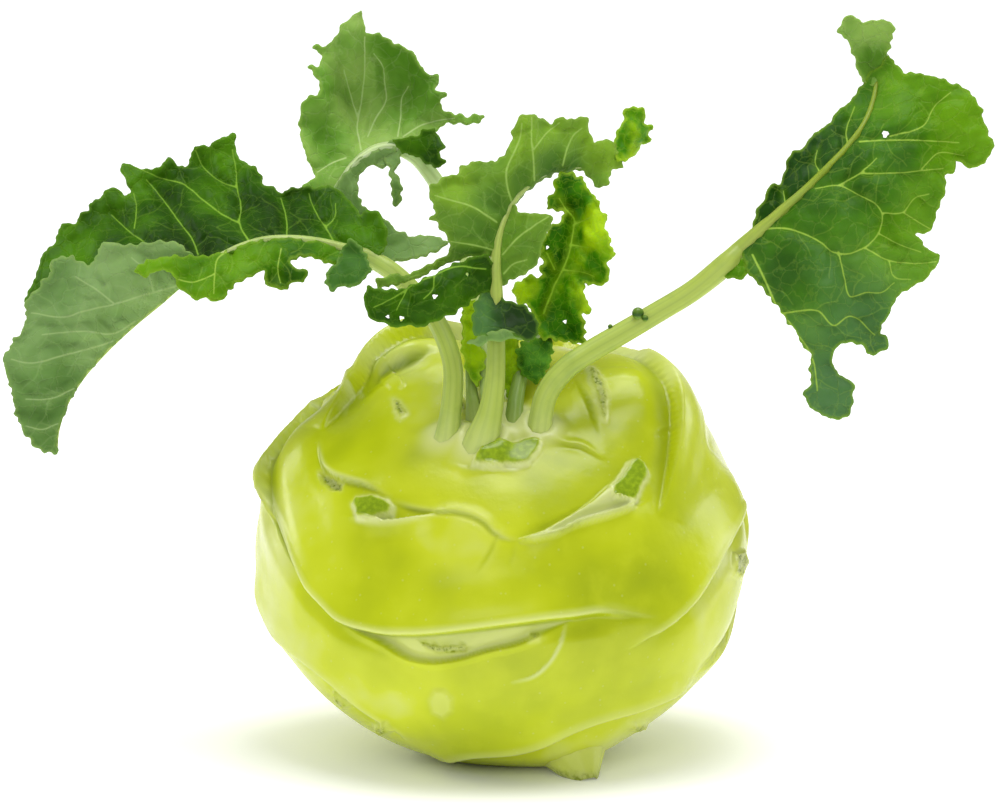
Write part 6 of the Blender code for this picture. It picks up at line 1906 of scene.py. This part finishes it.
FRONT_STUBS = (
    Stub(
        outline=(
            (342, 619), (375, 631), (416, 633), (465, 629), (505, 624), (560, 617), (572, 617), (522, 637),
            (485, 646), (456, 654), (432, 657), (412, 654), (383, 639), (356, 628),
        ),
        height=0.0, kind=StubKind.SKIN, rim=0.0, pale=0.6,
    ),
    Stub(
        outline=(
            (522, 534), (545, 526), (570, 512), (592, 498), (610, 482), (612, 495), (634, 500), (628, 505),
            (604, 513), (577, 520), (556, 530), (535, 535),
        ),
        height=1.4, kind=StubKind.SKIN, upward=0.5, rim=0.0, pale=0.9,
    ),
    Stub(
        outline=(
            (484, 440), (499, 435), (515, 440), (532, 434), (541, 437), (539, 446), (528, 460), (515, 463),
            (492, 462), (472, 461), (476, 451),
        ),
        height=1.2, kind=StubKind.CUT, upward=0.5, rim=0.9,
    ),
    Stub(
        outline=(
            (622, 472), (630, 459), (636, 455), (644, 460), (649, 468), (647, 473), (642, 482), (637, 495),
            (633, 499), (615, 498), (611, 492), (612, 482),
        ),
        height=1.6, kind=StubKind.CUT, upward=0.5, rim=0.9,
    ),
    Stub(
        outline=(
            (353, 499), (356, 494), (372, 492), (386, 496), (392, 502), (391, 511), (373, 515), (357, 514),
        ),
        height=1.2, kind=StubKind.CUT, upward=0.4, rim=0.9,
    ),
    Stub(
        outline=(
            (322, 474), (334, 476), (345, 484), (344, 492), (333, 491), (323, 481),
        ),
        height=-0.8, rim=0.2,
    ),
    Stub(
        outline=(
            (588, 366), (594, 366), (603, 378), (608, 398), (606, 420), (600, 416), (597, 396), (590, 380),
        ),
        height=0.6, rim=0.6,
    ),
    Stub(
        outline=(
            (415, 636), (440, 641), (470, 640), (468, 650), (440, 652), (428, 648),
        ),
        height=0.25, rim=0.2,
    ),
    Stub(outline=((528, 630), (541, 627), (538, 636), (530, 638)), height=0.4, rim=0.3),
    Stub(outline=((735, 552), (746, 549), (750, 562), (742, 578), (734, 572)), height=0.6),
    Stub(outline=((333, 692), (340, 697), (349, 704), (342, 708), (334, 700)), height=0.9),
    Stub(outline=((373, 726), (384, 724), (390, 731), (378, 736)), height=0.9),
    Stub(outline=((631, 723), (645, 721), (648, 728), (634, 731)), height=0.9),
    Stub(outline=((460, 392), (466, 404), (470, 420), (462, 414), (456, 402)), height=0.3, rim=0.2),
    Stub(outline=((393, 398), (400, 400), (408, 412), (400, 418), (395, 410)), height=0.35, rim=0.4),
    Stub(
        outline=(
            (435, 688), (444, 688), (452, 696), (451, 708), (443, 715), (433, 710), (430, 698),
        ),
        height=0.5, flank=1.4, kind=StubKind.SKIN, rim=0.12, pale=0.3,
    ),
)


@dataclass(frozen=True)
class Peg:
    """A short tapered peg from the bulb to the floor: its foot, its top, and its radius at each."""

    foot: Place
    top: Place
    thin: float
    thick: float


@dataclass(frozen=True)
class Bulb:
    """The swollen stem: a flattened ball, leaning forward, under its lips, creases and stubs.

    A collar swells softly round the foot of each stalk. It starts at so many of the stalk's radii.
    """

    radius: float = 45.0
    half_height: float = 34.3
    lean: float = math.radians(26.0)
    centre: Place = (0.0, 9.13, 35.4)
    dimple: float = 2.4
    dimple_width: float = 11.0
    collar_start: float = 1.15
    collar_fade: float = 2.2
    collar_height: float = 1.4
    collar_pale: float = 0.8
    front_stub: Peg = Peg(foot=(15.4, -21.0, -1.0), top=(12.0, -13.0, 8.0), thin=2.2, thick=9.6)
    root: Peg = Peg(foot=(0.0, 27.5, -3.0), top=(0.0, 20.5, 9.0), thin=6.8, thick=10.0)
    peg_swell: float = 1.9
    peg_swell_from: float = -8.0
    peg_swell_rise: float = 4.0

    def direction(self, lon: float, lat: float) -> np.ndarray:
        """The direction from the bulb's middle at a longitude and latitude."""
        lon, lat = math.radians(lon), math.radians(lat)
        return np.array([math.sin(lon) * math.cos(lat), -math.cos(lon) * math.cos(lat), math.sin(lat)])

    def axes(self) -> np.ndarray:
        """The bulb's own axes in the part's frame, as rows."""
        c, s = math.cos(self.lean), math.sin(self.lean)
        return np.array([(1, 0, 0), (0, c, s), (0, -s, c)])

    def along_and_up(
        self, spot: LeafBase | Scar, directions: np.ndarray
    ) -> tuple[np.ndarray, np.ndarray, np.ndarray, np.ndarray]:
        """Measures from a spot on the ball.

        Args:
            spot: The leaf base or scar, turned about its middle.
            directions: Directions from the bulb's middle, one a row.

        Returns:
            How far along it and how far up from it each direction is, and the way out and the way up there.
        """
        out = self.direction(spot.lon, spot.lat)
        level = unit(np.array([-out[1], out[0], 0.0]))
        rise = np.cross(out, level)
        turn = math.radians(spot.turn)
        along = math.cos(turn) * level + math.sin(turn) * rise
        up = np.cross(out, along)
        p = self.radius * np.arctan2(directions @ along, directions @ out)
        q = self.radius * np.arcsin(np.clip(directions @ up, -1, 1))
        return p, q, out, up

    def base_height(self, base: LeafBase, directions: np.ndarray) -> np.ndarray:
        """How far a leaf base stands out of the ball, or its crease goes in.

        Args:
            base: The leaf base.
            directions: Directions from the bulb's middle, one a row.

        Returns:
            The height at each direction.
        """
        lip_width, crease_width = 1.0, 5.5
        p, q, _, _ = self.along_and_up(base, directions)
        reach = np.clip(1 - (p / base.span) ** 2, 0, 1)
        q = q - base.sag * (p / base.span) ** 2
        below = 0.5 + 0.5 * np.cos(np.pi * np.clip(-q / base.band, 0, 1))
        step = smooth(q / lip_width)
        fade = 0.5 + 0.5 * np.cos(np.pi * np.clip((q - lip_width) / crease_width, 0, 1))
        above = base.lip * (1 - step) - base.groove * step * fade
        return reach**0.8 * np.where(q < 0, base.lip * below, above)

    def project(self, line: Points, met: np.ndarray) -> np.ndarray:
        """Lays a line of the photograph's pixels on the bulb.

        Args:
            line: The pixels, right and down.
            met: The points of the bulb that face the front, as (across, up, back).

        Returns:
            The line on the bulb, as (across, up, back).
        """
        spots = (np.array(line, float) - (PHOTO_MIDDLE, PHOTO_FLOOR)) * (PHOTO_MM, -PHOTO_MM)
        near = [np.argmin(np.linalg.norm(met[:, :2] - spot, axis=1)) for spot in spots]
        return np.column_stack([spots, met[near, 2]])

    def lay(self, line: Points, met: np.ndarray) -> np.ndarray:
        """Lays a line of the photograph's pixels on the bulb, finely, and with its depth smoothed along it.

        Args:
            line: The pixels, right and down.
            met: The points of the bulb that face the front, as (across, up, back).

        Returns:
            The line on the bulb, as (across, up, back).
        """
        spots = (np.array(line, float) - (PHOTO_MIDDLE, PHOTO_FLOOR)) * (PHOTO_MM, -PHOTO_MM)
        run = lengths_along(spots)
        spots = through(run, spots, np.linspace(0, run[-1], max(8, round(run[-1] / LAID_STEP))))
        run = lengths_along(spots)
        backs = []
        for spot in spots:
            off = np.linalg.norm(met[:, :2] - spot, axis=1)
            share = np.exp(-(((off - off.min()) / 0.5) ** 2))
            backs.append(share @ met[:, 2] / share.sum())
        bends = LONG_BENDS if run[-1] > LONG_LINE else SHORT_BENDS
        curve = np.polynomial.Polynomial.fit(run, backs, bends)
        return np.column_stack([spots, curve(run)])

    def from_lip(
        self, line: np.ndarray, lip: Lip, seen: np.ndarray, normals: np.ndarray, facing: np.ndarray
    ) -> tuple[np.ndarray, np.ndarray, np.ndarray]:
        """Measures from a lip's line along the skin.

        Args:
            line: The lip's line on the bulb, as (across, up, back).
            lip: The lip.
            seen: The bulb's points, as (across, up, back).
            normals: The skin's directions there, in the same axes.
            facing: Which points the relief may change.

        Returns:
            Which points are near, how far from the line each one is, which is positive beyond the lip, and
            its share of the lip.
        """
        low, high = line.min(axis=0) - LIP_REACH, line.max(axis=0) + LIP_REACH
        near = facing & ((seen > low) & (seen < high)).all(axis=1)
        index = np.flatnonzero(near)
        spots = seen[index]
        _, along = distance_to_line(line, spots)
        run = lengths_along(line)
        nearest = np.column_stack([np.interp(along, run, line[:, k]) for k in range(3)])
        ahead = np.gradient(line, run, axis=0)
        ahead = unit(np.column_stack([np.interp(along, run, ahead[:, k]) for k in range(3)]))
        aside = np.cross(normals[index], ahead)
        away = spots - nearest
        away -= (away * normals[index]).sum(axis=1)[:, None] * normals[index]
        signed = np.linalg.norm(away, axis=1) * np.where((away * aside).sum(axis=1) > 0, 1, -1)
        shares = smooth(np.minimum(run, run[-1] - run) / lip.taper)
        spread = ((spots[:, None] - line[None, ::2]) ** 2).sum(axis=2)
        weights = np.exp(-(spread - spread.min(axis=1)[:, None]) / 4.0)
        share = (weights @ shares[::2]) / weights.sum(axis=1)
        return index, signed, share

    def ball(self) -> tuple[bpy.types.Object, np.ndarray]:
        """Makes a round ball that is finer in front.

        Returns:
            The ball, and the direction of each of its points from its middle.
        """
        deselect_all()
        bpy.ops.mesh.primitive_ico_sphere_add(subdivisions=7, radius=1.0)
        made = bpy.context.object
        made.name = made.data.name = "dressed_bulb"
        bpy.ops.object.mode_set(mode="EDIT")
        bpy.ops.mesh.select_all(action="DESELECT")
        bpy.ops.object.mode_set(mode="OBJECT")
        middles = np.empty(len(made.data.polygons) * 3, np.float32)
        made.data.polygons.foreach_get("center", middles)
        middles = middles.reshape(-1, 3) @ self.axes()
        toward = middles @ unit(FINER_UPWARD * sight_axes()[1] - sight_axes()[2])
        made.data.polygons.foreach_set("select", (toward > FINER_FROM).tolist())
        bpy.ops.object.mode_set(mode="EDIT")
        bpy.ops.mesh.subdivide(number_cuts=1)
        bpy.ops.mesh.quads_convert_to_tris()
        bpy.ops.object.mode_set(mode="OBJECT")
        directions = np.empty(len(made.data.vertices) * 3, np.float32)
        made.data.vertices.foreach_get("co", directions)
        return made, unit(directions.reshape(-1, 3).astype(float))

    def lip_lift(
        self, seen: np.ndarray, seen_normals: np.ndarray, met: np.ndarray, marks: dict[str, np.ndarray]
    ) -> np.ndarray:
        """Raises the lips in front, and marks what they make pale, partly as a painted highlight, and the
        painted shade of their creases.

        Args:
            seen: The bulb's points, as (across, up, back).
            seen_normals: The skin's directions there, in the same axes.
            met: The points that face the front.
            marks: The skin's attributes by name, which this changes.

        Returns:
            How far each point goes out.
        """
        facing = seen_normals[:, 2] < RELIEF_END
        turned = smooth((RELIEF_END - seen_normals[:, 2]) / RELIEF_FADE)
        lift = np.zeros(len(seen))
        for lip in FRONT_LIPS:
            line = self.lay(lip.line, met)
            index, q, share = self.from_lip(line, lip, seen, seen_normals, facing)
            share = share * turned[index]
            below = 0.5 + 0.5 * np.cos(np.pi * np.clip(-q / lip.band, 0, 1))
            rolled = ROLL_SHARE * lip.height * np.exp(-(((q + ROLL_BACK) / ROLL_WIDTH) ** 2))
            step = smooth(q / lip.step)
            fade = 0.5 + 0.5 * np.cos(np.pi * np.clip((q - lip.step) / lip.reach, 0, 1))
            above = lip.height * (1 - step) - lip.groove * step * fade
            lift[index] += share * (np.where(q < 0, lip.height * below, above) + rolled)
            beside_line = np.where(q < 0, -q / lip.pale_width, q / PALE_END)
            # The pale is the lip's pale skin, and on some edges a painted highlight
            pale = lip.pale * share * (1 - smooth(beside_line))
            # The painted shade of the hollow
            crease = lip.crease * share * np.exp(-(((q - CREASE_AT * lip.step) / CREASE_WIDTH) ** 2))
            marks["pale"][index] = np.maximum(marks["pale"][index], pale)
            marks["crease"][index] = np.maximum(marks["crease"][index], crease)
        return lift

    def add_collars(
        self, points: np.ndarray, directions: np.ndarray, marks: dict[str, np.ndarray]
    ) -> np.ndarray:
        """Swells the skin round the foot of each stalk, and marks it pale.

        Args:
            points: The bulb's points.
            directions: Their directions from the bulb's middle.
            marks: The skin's attributes by name, which this changes.

        Returns:
            The changed points.
        """
        axes = sight_axes()
        for leaf in LEAVES:
            stem = np.array(leaf.stem, float)
            foot = stem[:3, :3]
            away = distance_to_line(foot, points @ axes.T)[0]
            beyond = np.maximum(away - self.collar_start * stem[1, 3], 0)
            collar = np.exp(-((beyond / self.collar_fade) ** 2)) * (directions[:, 2] > 0.5)
            points = points + (self.collar_height * collar)[:, None] * (unit(foot[2] - foot[0]) @ axes)
            marks["pale"] = np.maximum(marks["pale"], self.collar_pale * collar)
        return points

    def add_stubs(
        self, points: np.ndarray, outward: np.ndarray, met: np.ndarray, marks: dict[str, np.ndarray]
    ) -> np.ndarray:
        """Raises or sinks what is left of the stalks in front, and marks their faces and rims.

        Args:
            points: The bulb's points.
            outward: The skin's directions there.
            met: The points that face the front, as (across, up, back).
            marks: The skin's attributes by name, which this changes.

        Returns:
            The changed points.
        """
        axes = sight_axes()
        seen = points @ axes.T
        facing = (outward @ axes.T)[:, 2] < RELIEF_END
        for number, stub in enumerate(FRONT_STUBS):
            outline = self.project(stub.outline, met)
            centre = outline.mean(axis=0)
            reach = np.linalg.norm(outline - centre, axis=1).max() + STUB_REACH
            index = np.flatnonzero(facing & (np.linalg.norm(seen - centre, axis=1) < reach))
            push = unit(outward[index] + stub.upward * np.array([0.0, 0.0, 1.0]))
            on_face = inside(outline[:, :2], seen[index, :2])
            outline[:, :2] -= stub.height * (push[on_face].mean(axis=0) @ axes.T)[:2]
            far = distance_to_line(outline[:, :2], seen[index, :2], closed=True)[0]
            far = np.where(inside(outline[:, :2], seen[index, :2]), far, -far)
            if stub.kind is not StubKind.SKIN:
                far = far + WAVER * uneven(seen[index], WAVER_SIZE, number)
            rise = smooth((far + stub.flank * 0.5) / stub.flank)
            rough = uneven(seen[index], TORN_SIZE, number + 40) if stub.kind is StubKind.TORN else 0
            points[index] += (rise * (stub.height + TORN_ROUGH * rough))[:, None] * push
            edge = stub.rim * np.exp(-((far / RIM_WIDTH) ** 2))
            face = stub.pale * smooth((far + 0.2) / 0.7)
            marks["pale"][index] = np.maximum(marks["pale"][index], np.maximum(edge, face))
            if stub.kind is not StubKind.SKIN:
                name = stub.kind.value
                marks[name][index] = np.maximum(marks[name][index], smooth((far - 0.1) / 0.6))
                marks["crease"][index] *= 1 - smooth((far + 0.3) / 0.6)
                marks["pale"][index] *= 1 - smooth((far - 0.1) / 0.6)
        return points

    def add_scars(
        self, points: np.ndarray, directions: np.ndarray, marks: dict[str, np.ndarray]
    ) -> np.ndarray:
        """Raises what is left of the stalks on the sides and back, and marks it torn.

        Args:
            points: The bulb's points.
            directions: Their directions from the bulb's middle.
            marks: The skin's attributes by name, which this changes.

        Returns:
            The changed points.
        """
        for scar in BACK_SCARS:
            p, q, out, up = self.along_and_up(scar, directions)
            within = 1 - ((p / scar.half_length) ** 4 + (q / scar.half_width) ** 4) ** 0.25
            rise = smooth(within / 0.3 + 0.6)
            points = points + (scar.height * rise)[:, None] * (unit(out + scar.upward * up) @ self.axes())
            marks["torn"] = np.maximum(marks["torn"], scar.torn * smooth(within / 0.25))
        return points

    def build(self, finish: bpy.types.Material) -> bpy.types.Object:
        """Makes the bulb and puts it in the place of its CAD node.

        Args:
            finish: The skin's material.

        Returns:
            The bulb.
        """
        made, directions = self.ball()
        count = len(directions)
        half = np.array([self.radius, self.radius, self.half_height])
        points = directions * half
        normals = unit(directions / half)
        marks = {name: np.zeros(count) for name in ("pale", "crease", "torn", "cut")}
        height = np.zeros(count)
        for swell in SWELLS:
            away = np.arccos(np.clip(directions @ self.direction(swell.lon, swell.lat), -1, 1))
            height += swell.height * np.exp(-((away / math.radians(swell.reach)) ** 2))
        from_axis = np.hypot(points[:, 0], points[:, 1])
        height -= self.dimple * np.exp(-((from_axis / self.dimple_width) ** 2)) * (directions[:, 2] > 0)
        for base in BACK_BASES:
            lift = self.base_height(base, directions)
            height += lift
            # Raised lips are marked pale, and the grooves get painted shade
            marks["pale"] = np.maximum(marks["pale"], 0.5 * smooth((lift - 0.45 * base.lip) / base.lip))
            marks["crease"] = np.maximum(marks["crease"], 0.5 * smooth(-lift / base.groove))
        points = points + normals * height[:, None]
        points = points @ self.axes() + self.centre
        outward = normals @ self.axes()
        axes = sight_axes()
        seen, seen_normals = points @ axes.T, outward @ axes.T
        met = seen[seen_normals[:, 2] < FACES_FRONT]
        # Painted shade and painted highlight over the skin, with its own paler and deeper patches
        spots = self.project([mark[:2] for mark in SKIN_TONES_AND_PAINTED_LIGHT], met)
        weights = 1 / (np.linalg.norm(seen[:, None] - spots[None], axis=2) + 2.0) ** 3
        marks["tone_and_painted_light"] = (weights @ np.array([mark[2] for mark in SKIN_TONES_AND_PAINTED_LIGHT])) / weights.sum(axis=1)
        lift = self.lip_lift(seen, seen_normals, met, marks)
        points = points + outward * lift[:, None]
        points = self.add_collars(points, directions, marks)
        points = self.add_stubs(points, outward, met, marks)
        points = self.add_scars(points, directions, marks)
        points[:, 2] = np.maximum(points[:, 2], 0)
        points = self.push_out_pegs(points)

        made.data.vertices.foreach_set("co", (points * MM).astype(np.float32).ravel())
        made.data.materials.append(finish)
        made.data.shade_smooth()
        for name, values in marks.items():
            write_attribute(made, name, values)
        pegs = [self.peg("front_stub", self.front_stub, finish), self.peg("root_end", self.root, finish)]
        made = join("dressed_bulb", [made, *pegs])
        hand_in(made, "bulb_skin", "bulb")
        return made

    def push_out_pegs(self, points: np.ndarray) -> np.ndarray:
        """Swells the skin softly round the front stub and the root, where it runs into them.

        Args:
            points: The bulb's points.

        Returns:
            The changed points, none of them under the floor.
        """
        for peg in (self.front_stub, self.root):
            axis = unit(np.array(peg.foot) - np.array(peg.top))
            from_top = points - np.array(peg.top)
            along = from_top @ axis
            off = np.linalg.norm(from_top - along[:, None] * axis, axis=1)
            rise = smooth((along - self.peg_swell_from) / self.peg_swell_rise)
            lift = self.peg_swell * np.exp(-((off / peg.thick) ** 2)) * rise
            points = points + lift[:, None] * axis
        points[:, 2] = np.maximum(points[:, 2], 0)
        return points

    def peg(self, name: str, shape: Peg, finish: bpy.types.Material) -> bpy.types.Object:
        """Makes a peg, torn at its end.

        Args:
            name: The object's name.
            shape: The peg's form.
            finish: The skin's material.

        Returns:
            The peg as a closed tube.
        """
        foot, top = np.array(shape.foot), np.array(shape.top)
        axis = unit(top - foot)
        across = unit(np.cross(axis, (0.0, 1.0, 0.0)))
        other = np.cross(axis, across)
        sides, rings = 48, 24
        places = []
        for i in range(rings):
            share = i / (rings - 1)
            for k in range(sides):
                turn = 2 * math.pi * k / sides
                radius = shape.thin + (shape.thick - shape.thin) * share**1.1
                radius *= 1 + 0.05 * math.sin(3 * turn + 1) + 0.02 * math.sin(11 * turn + 5 * share)
                out = math.cos(turn) * across + math.sin(turn) * other
                places.append(foot + share * (top - foot) + radius * out)
        places = np.array(places)
        places[:, 2] = np.maximum(places[:, 2], 0)
        faces = []
        for i in range(rings - 1):
            for k in range(sides):
                a, b = i * sides + k, i * sides + (k + 1) % sides
                faces.append((a, b, b + sides, a + sides))
        faces.append(tuple(range(sides))[::-1])
        faces.append(tuple(range(len(places) - sides, len(places))))
        made = add_mesh(name, places, faces, [finish])
        low = 1 - smooth((places[:, 2] - 0.3) / 1.8)
        write_attribute(made, "torn", 0.85 * low)
        for mark, value in (("pale", 0.35), ("crease", 0.0), ("cut", 0.0), ("tone_and_painted_light", 0.2)):
            write_attribute(made, mark, np.full(len(places), value))
        return made


# The studio


@dataclass(frozen=True)
class Studio:
    """A plain pale floor under soft light, and the camera.

    The camera's distance, the width that it takes in, what it points at and its sensor are in millimetres.
    The floor's own glow rises from none under the kohlrabi to its full strength over the glow's reach: a
    painted shadow round the kohlrabi's foot. The lamps point at a place in metres.
    """

    distance: float = 3000.0
    view_width: float = 182.6
    target: Place = (-0.27, 14.67, 61.5)
    sensor: float = 36.0
    floor_grey: float = 0.93
    painted_shadow_reach: tuple[float, float] = (12.0, 58.0)
    glow: float = 0.42
    air_light: float = 0.33
    lit: Place = (0.0, 0.0, 0.06)

    def build(self) -> None:
        """Makes the floor, the lights and the camera."""
        scene = bpy.context.scene
        deselect_all()
        bpy.ops.mesh.primitive_plane_add(size=12.0)
        floor = bpy.context.object
        floor.name = "studio_floor"
        paper = new_material("studio paper")
        place = object_places(paper)
        away = add_node(paper, "ShaderNodeVectorMath", {"operation": "LENGTH"}, {0: place}).outputs["Value"]
        # The glow fades out under the kohlrabi, a painted shadow round its foot
        reach = [far * MM for far in self.painted_shadow_reach]
        finish_material(paper, {
            "Base Color": (self.floor_grey, self.floor_grey, self.floor_grey, 1.0), "Roughness": 0.6,
            "Emission Color": (1, 1, 1, 1), "Emission Strength": ramp(paper, away, *reach, 0.0, self.glow),
        })
        floor.data.materials.append(paper)
        world = bpy.data.worlds.new("studio_air")
        world.use_nodes = True
        world.node_tree.nodes["Background"].inputs["Color"].default_value = (1, 1, 1, 1)
        world.node_tree.nodes["Background"].inputs["Strength"].default_value = self.air_light
        scene.world = world
        self.light("overhead_box", (0.05, 0.05, 1.1), 0.7, 8.4)
        self.light("front_box", (-0.2, -1.2, 0.55), 0.7, 3.0)
        self.light("right_box", (0.9, 0.3, 0.45), 0.4, 2.2)
        self.light("left_box", (-0.9, 0.3, 0.45), 0.4, 2.6)
        lens = bpy.data.cameras.new("camera")
        lens.sensor_width = self.sensor
        lens.lens = self.sensor * self.distance / self.view_width
        lens.clip_end = 20.0
        camera = bpy.data.objects.new("camera", lens)
        bpy.context.collection.objects.link(camera)
        target = np.array(self.target)
        camera.location = Vector((target - self.distance * sight_axes()[2]) * MM)
        camera.rotation_euler = (math.pi / 2 - LOOK_DOWN, 0, 0)
        scene.camera = camera
        scene.view_settings.view_transform = "Standard"

    def light(self, name: str, place: Place, size: float, power: float) -> None:
        """Adds a square soft light that points at the kohlrabi.

        Args:
            name: Its name.
            place: Where it is, in metres.
            size: Its width, in metres.
            power: Its power, in watts.
        """
        lamp = bpy.data.lights.new(name, "AREA")
        lamp.size = size
        lamp.energy = power
        made = bpy.data.objects.new(name, lamp)
        bpy.context.collection.objects.link(made)
        made.location = place
        made.rotation_euler = (Vector(self.lit) - Vector(place)).to_track_quat("-Z", "Y").to_euler()


def main() -> None:
    """Builds and dresses every piece of the kohlrabi and reports each one."""
    logging.basicConfig(level=logging.INFO, format="%(name)s: %(message)s")
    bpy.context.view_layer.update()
    Studio().build()
    finishes = {finish.name: finish.make() for finish in LEAF_FINISHES}
    Bulb().build(SKIN.make())
    for number, leaf in enumerate(LEAVES + HEART_LEAVES):
        LeafMaker(leaf, seed=100 * number).build(finishes)


if __name__ == "__main__":
    main()
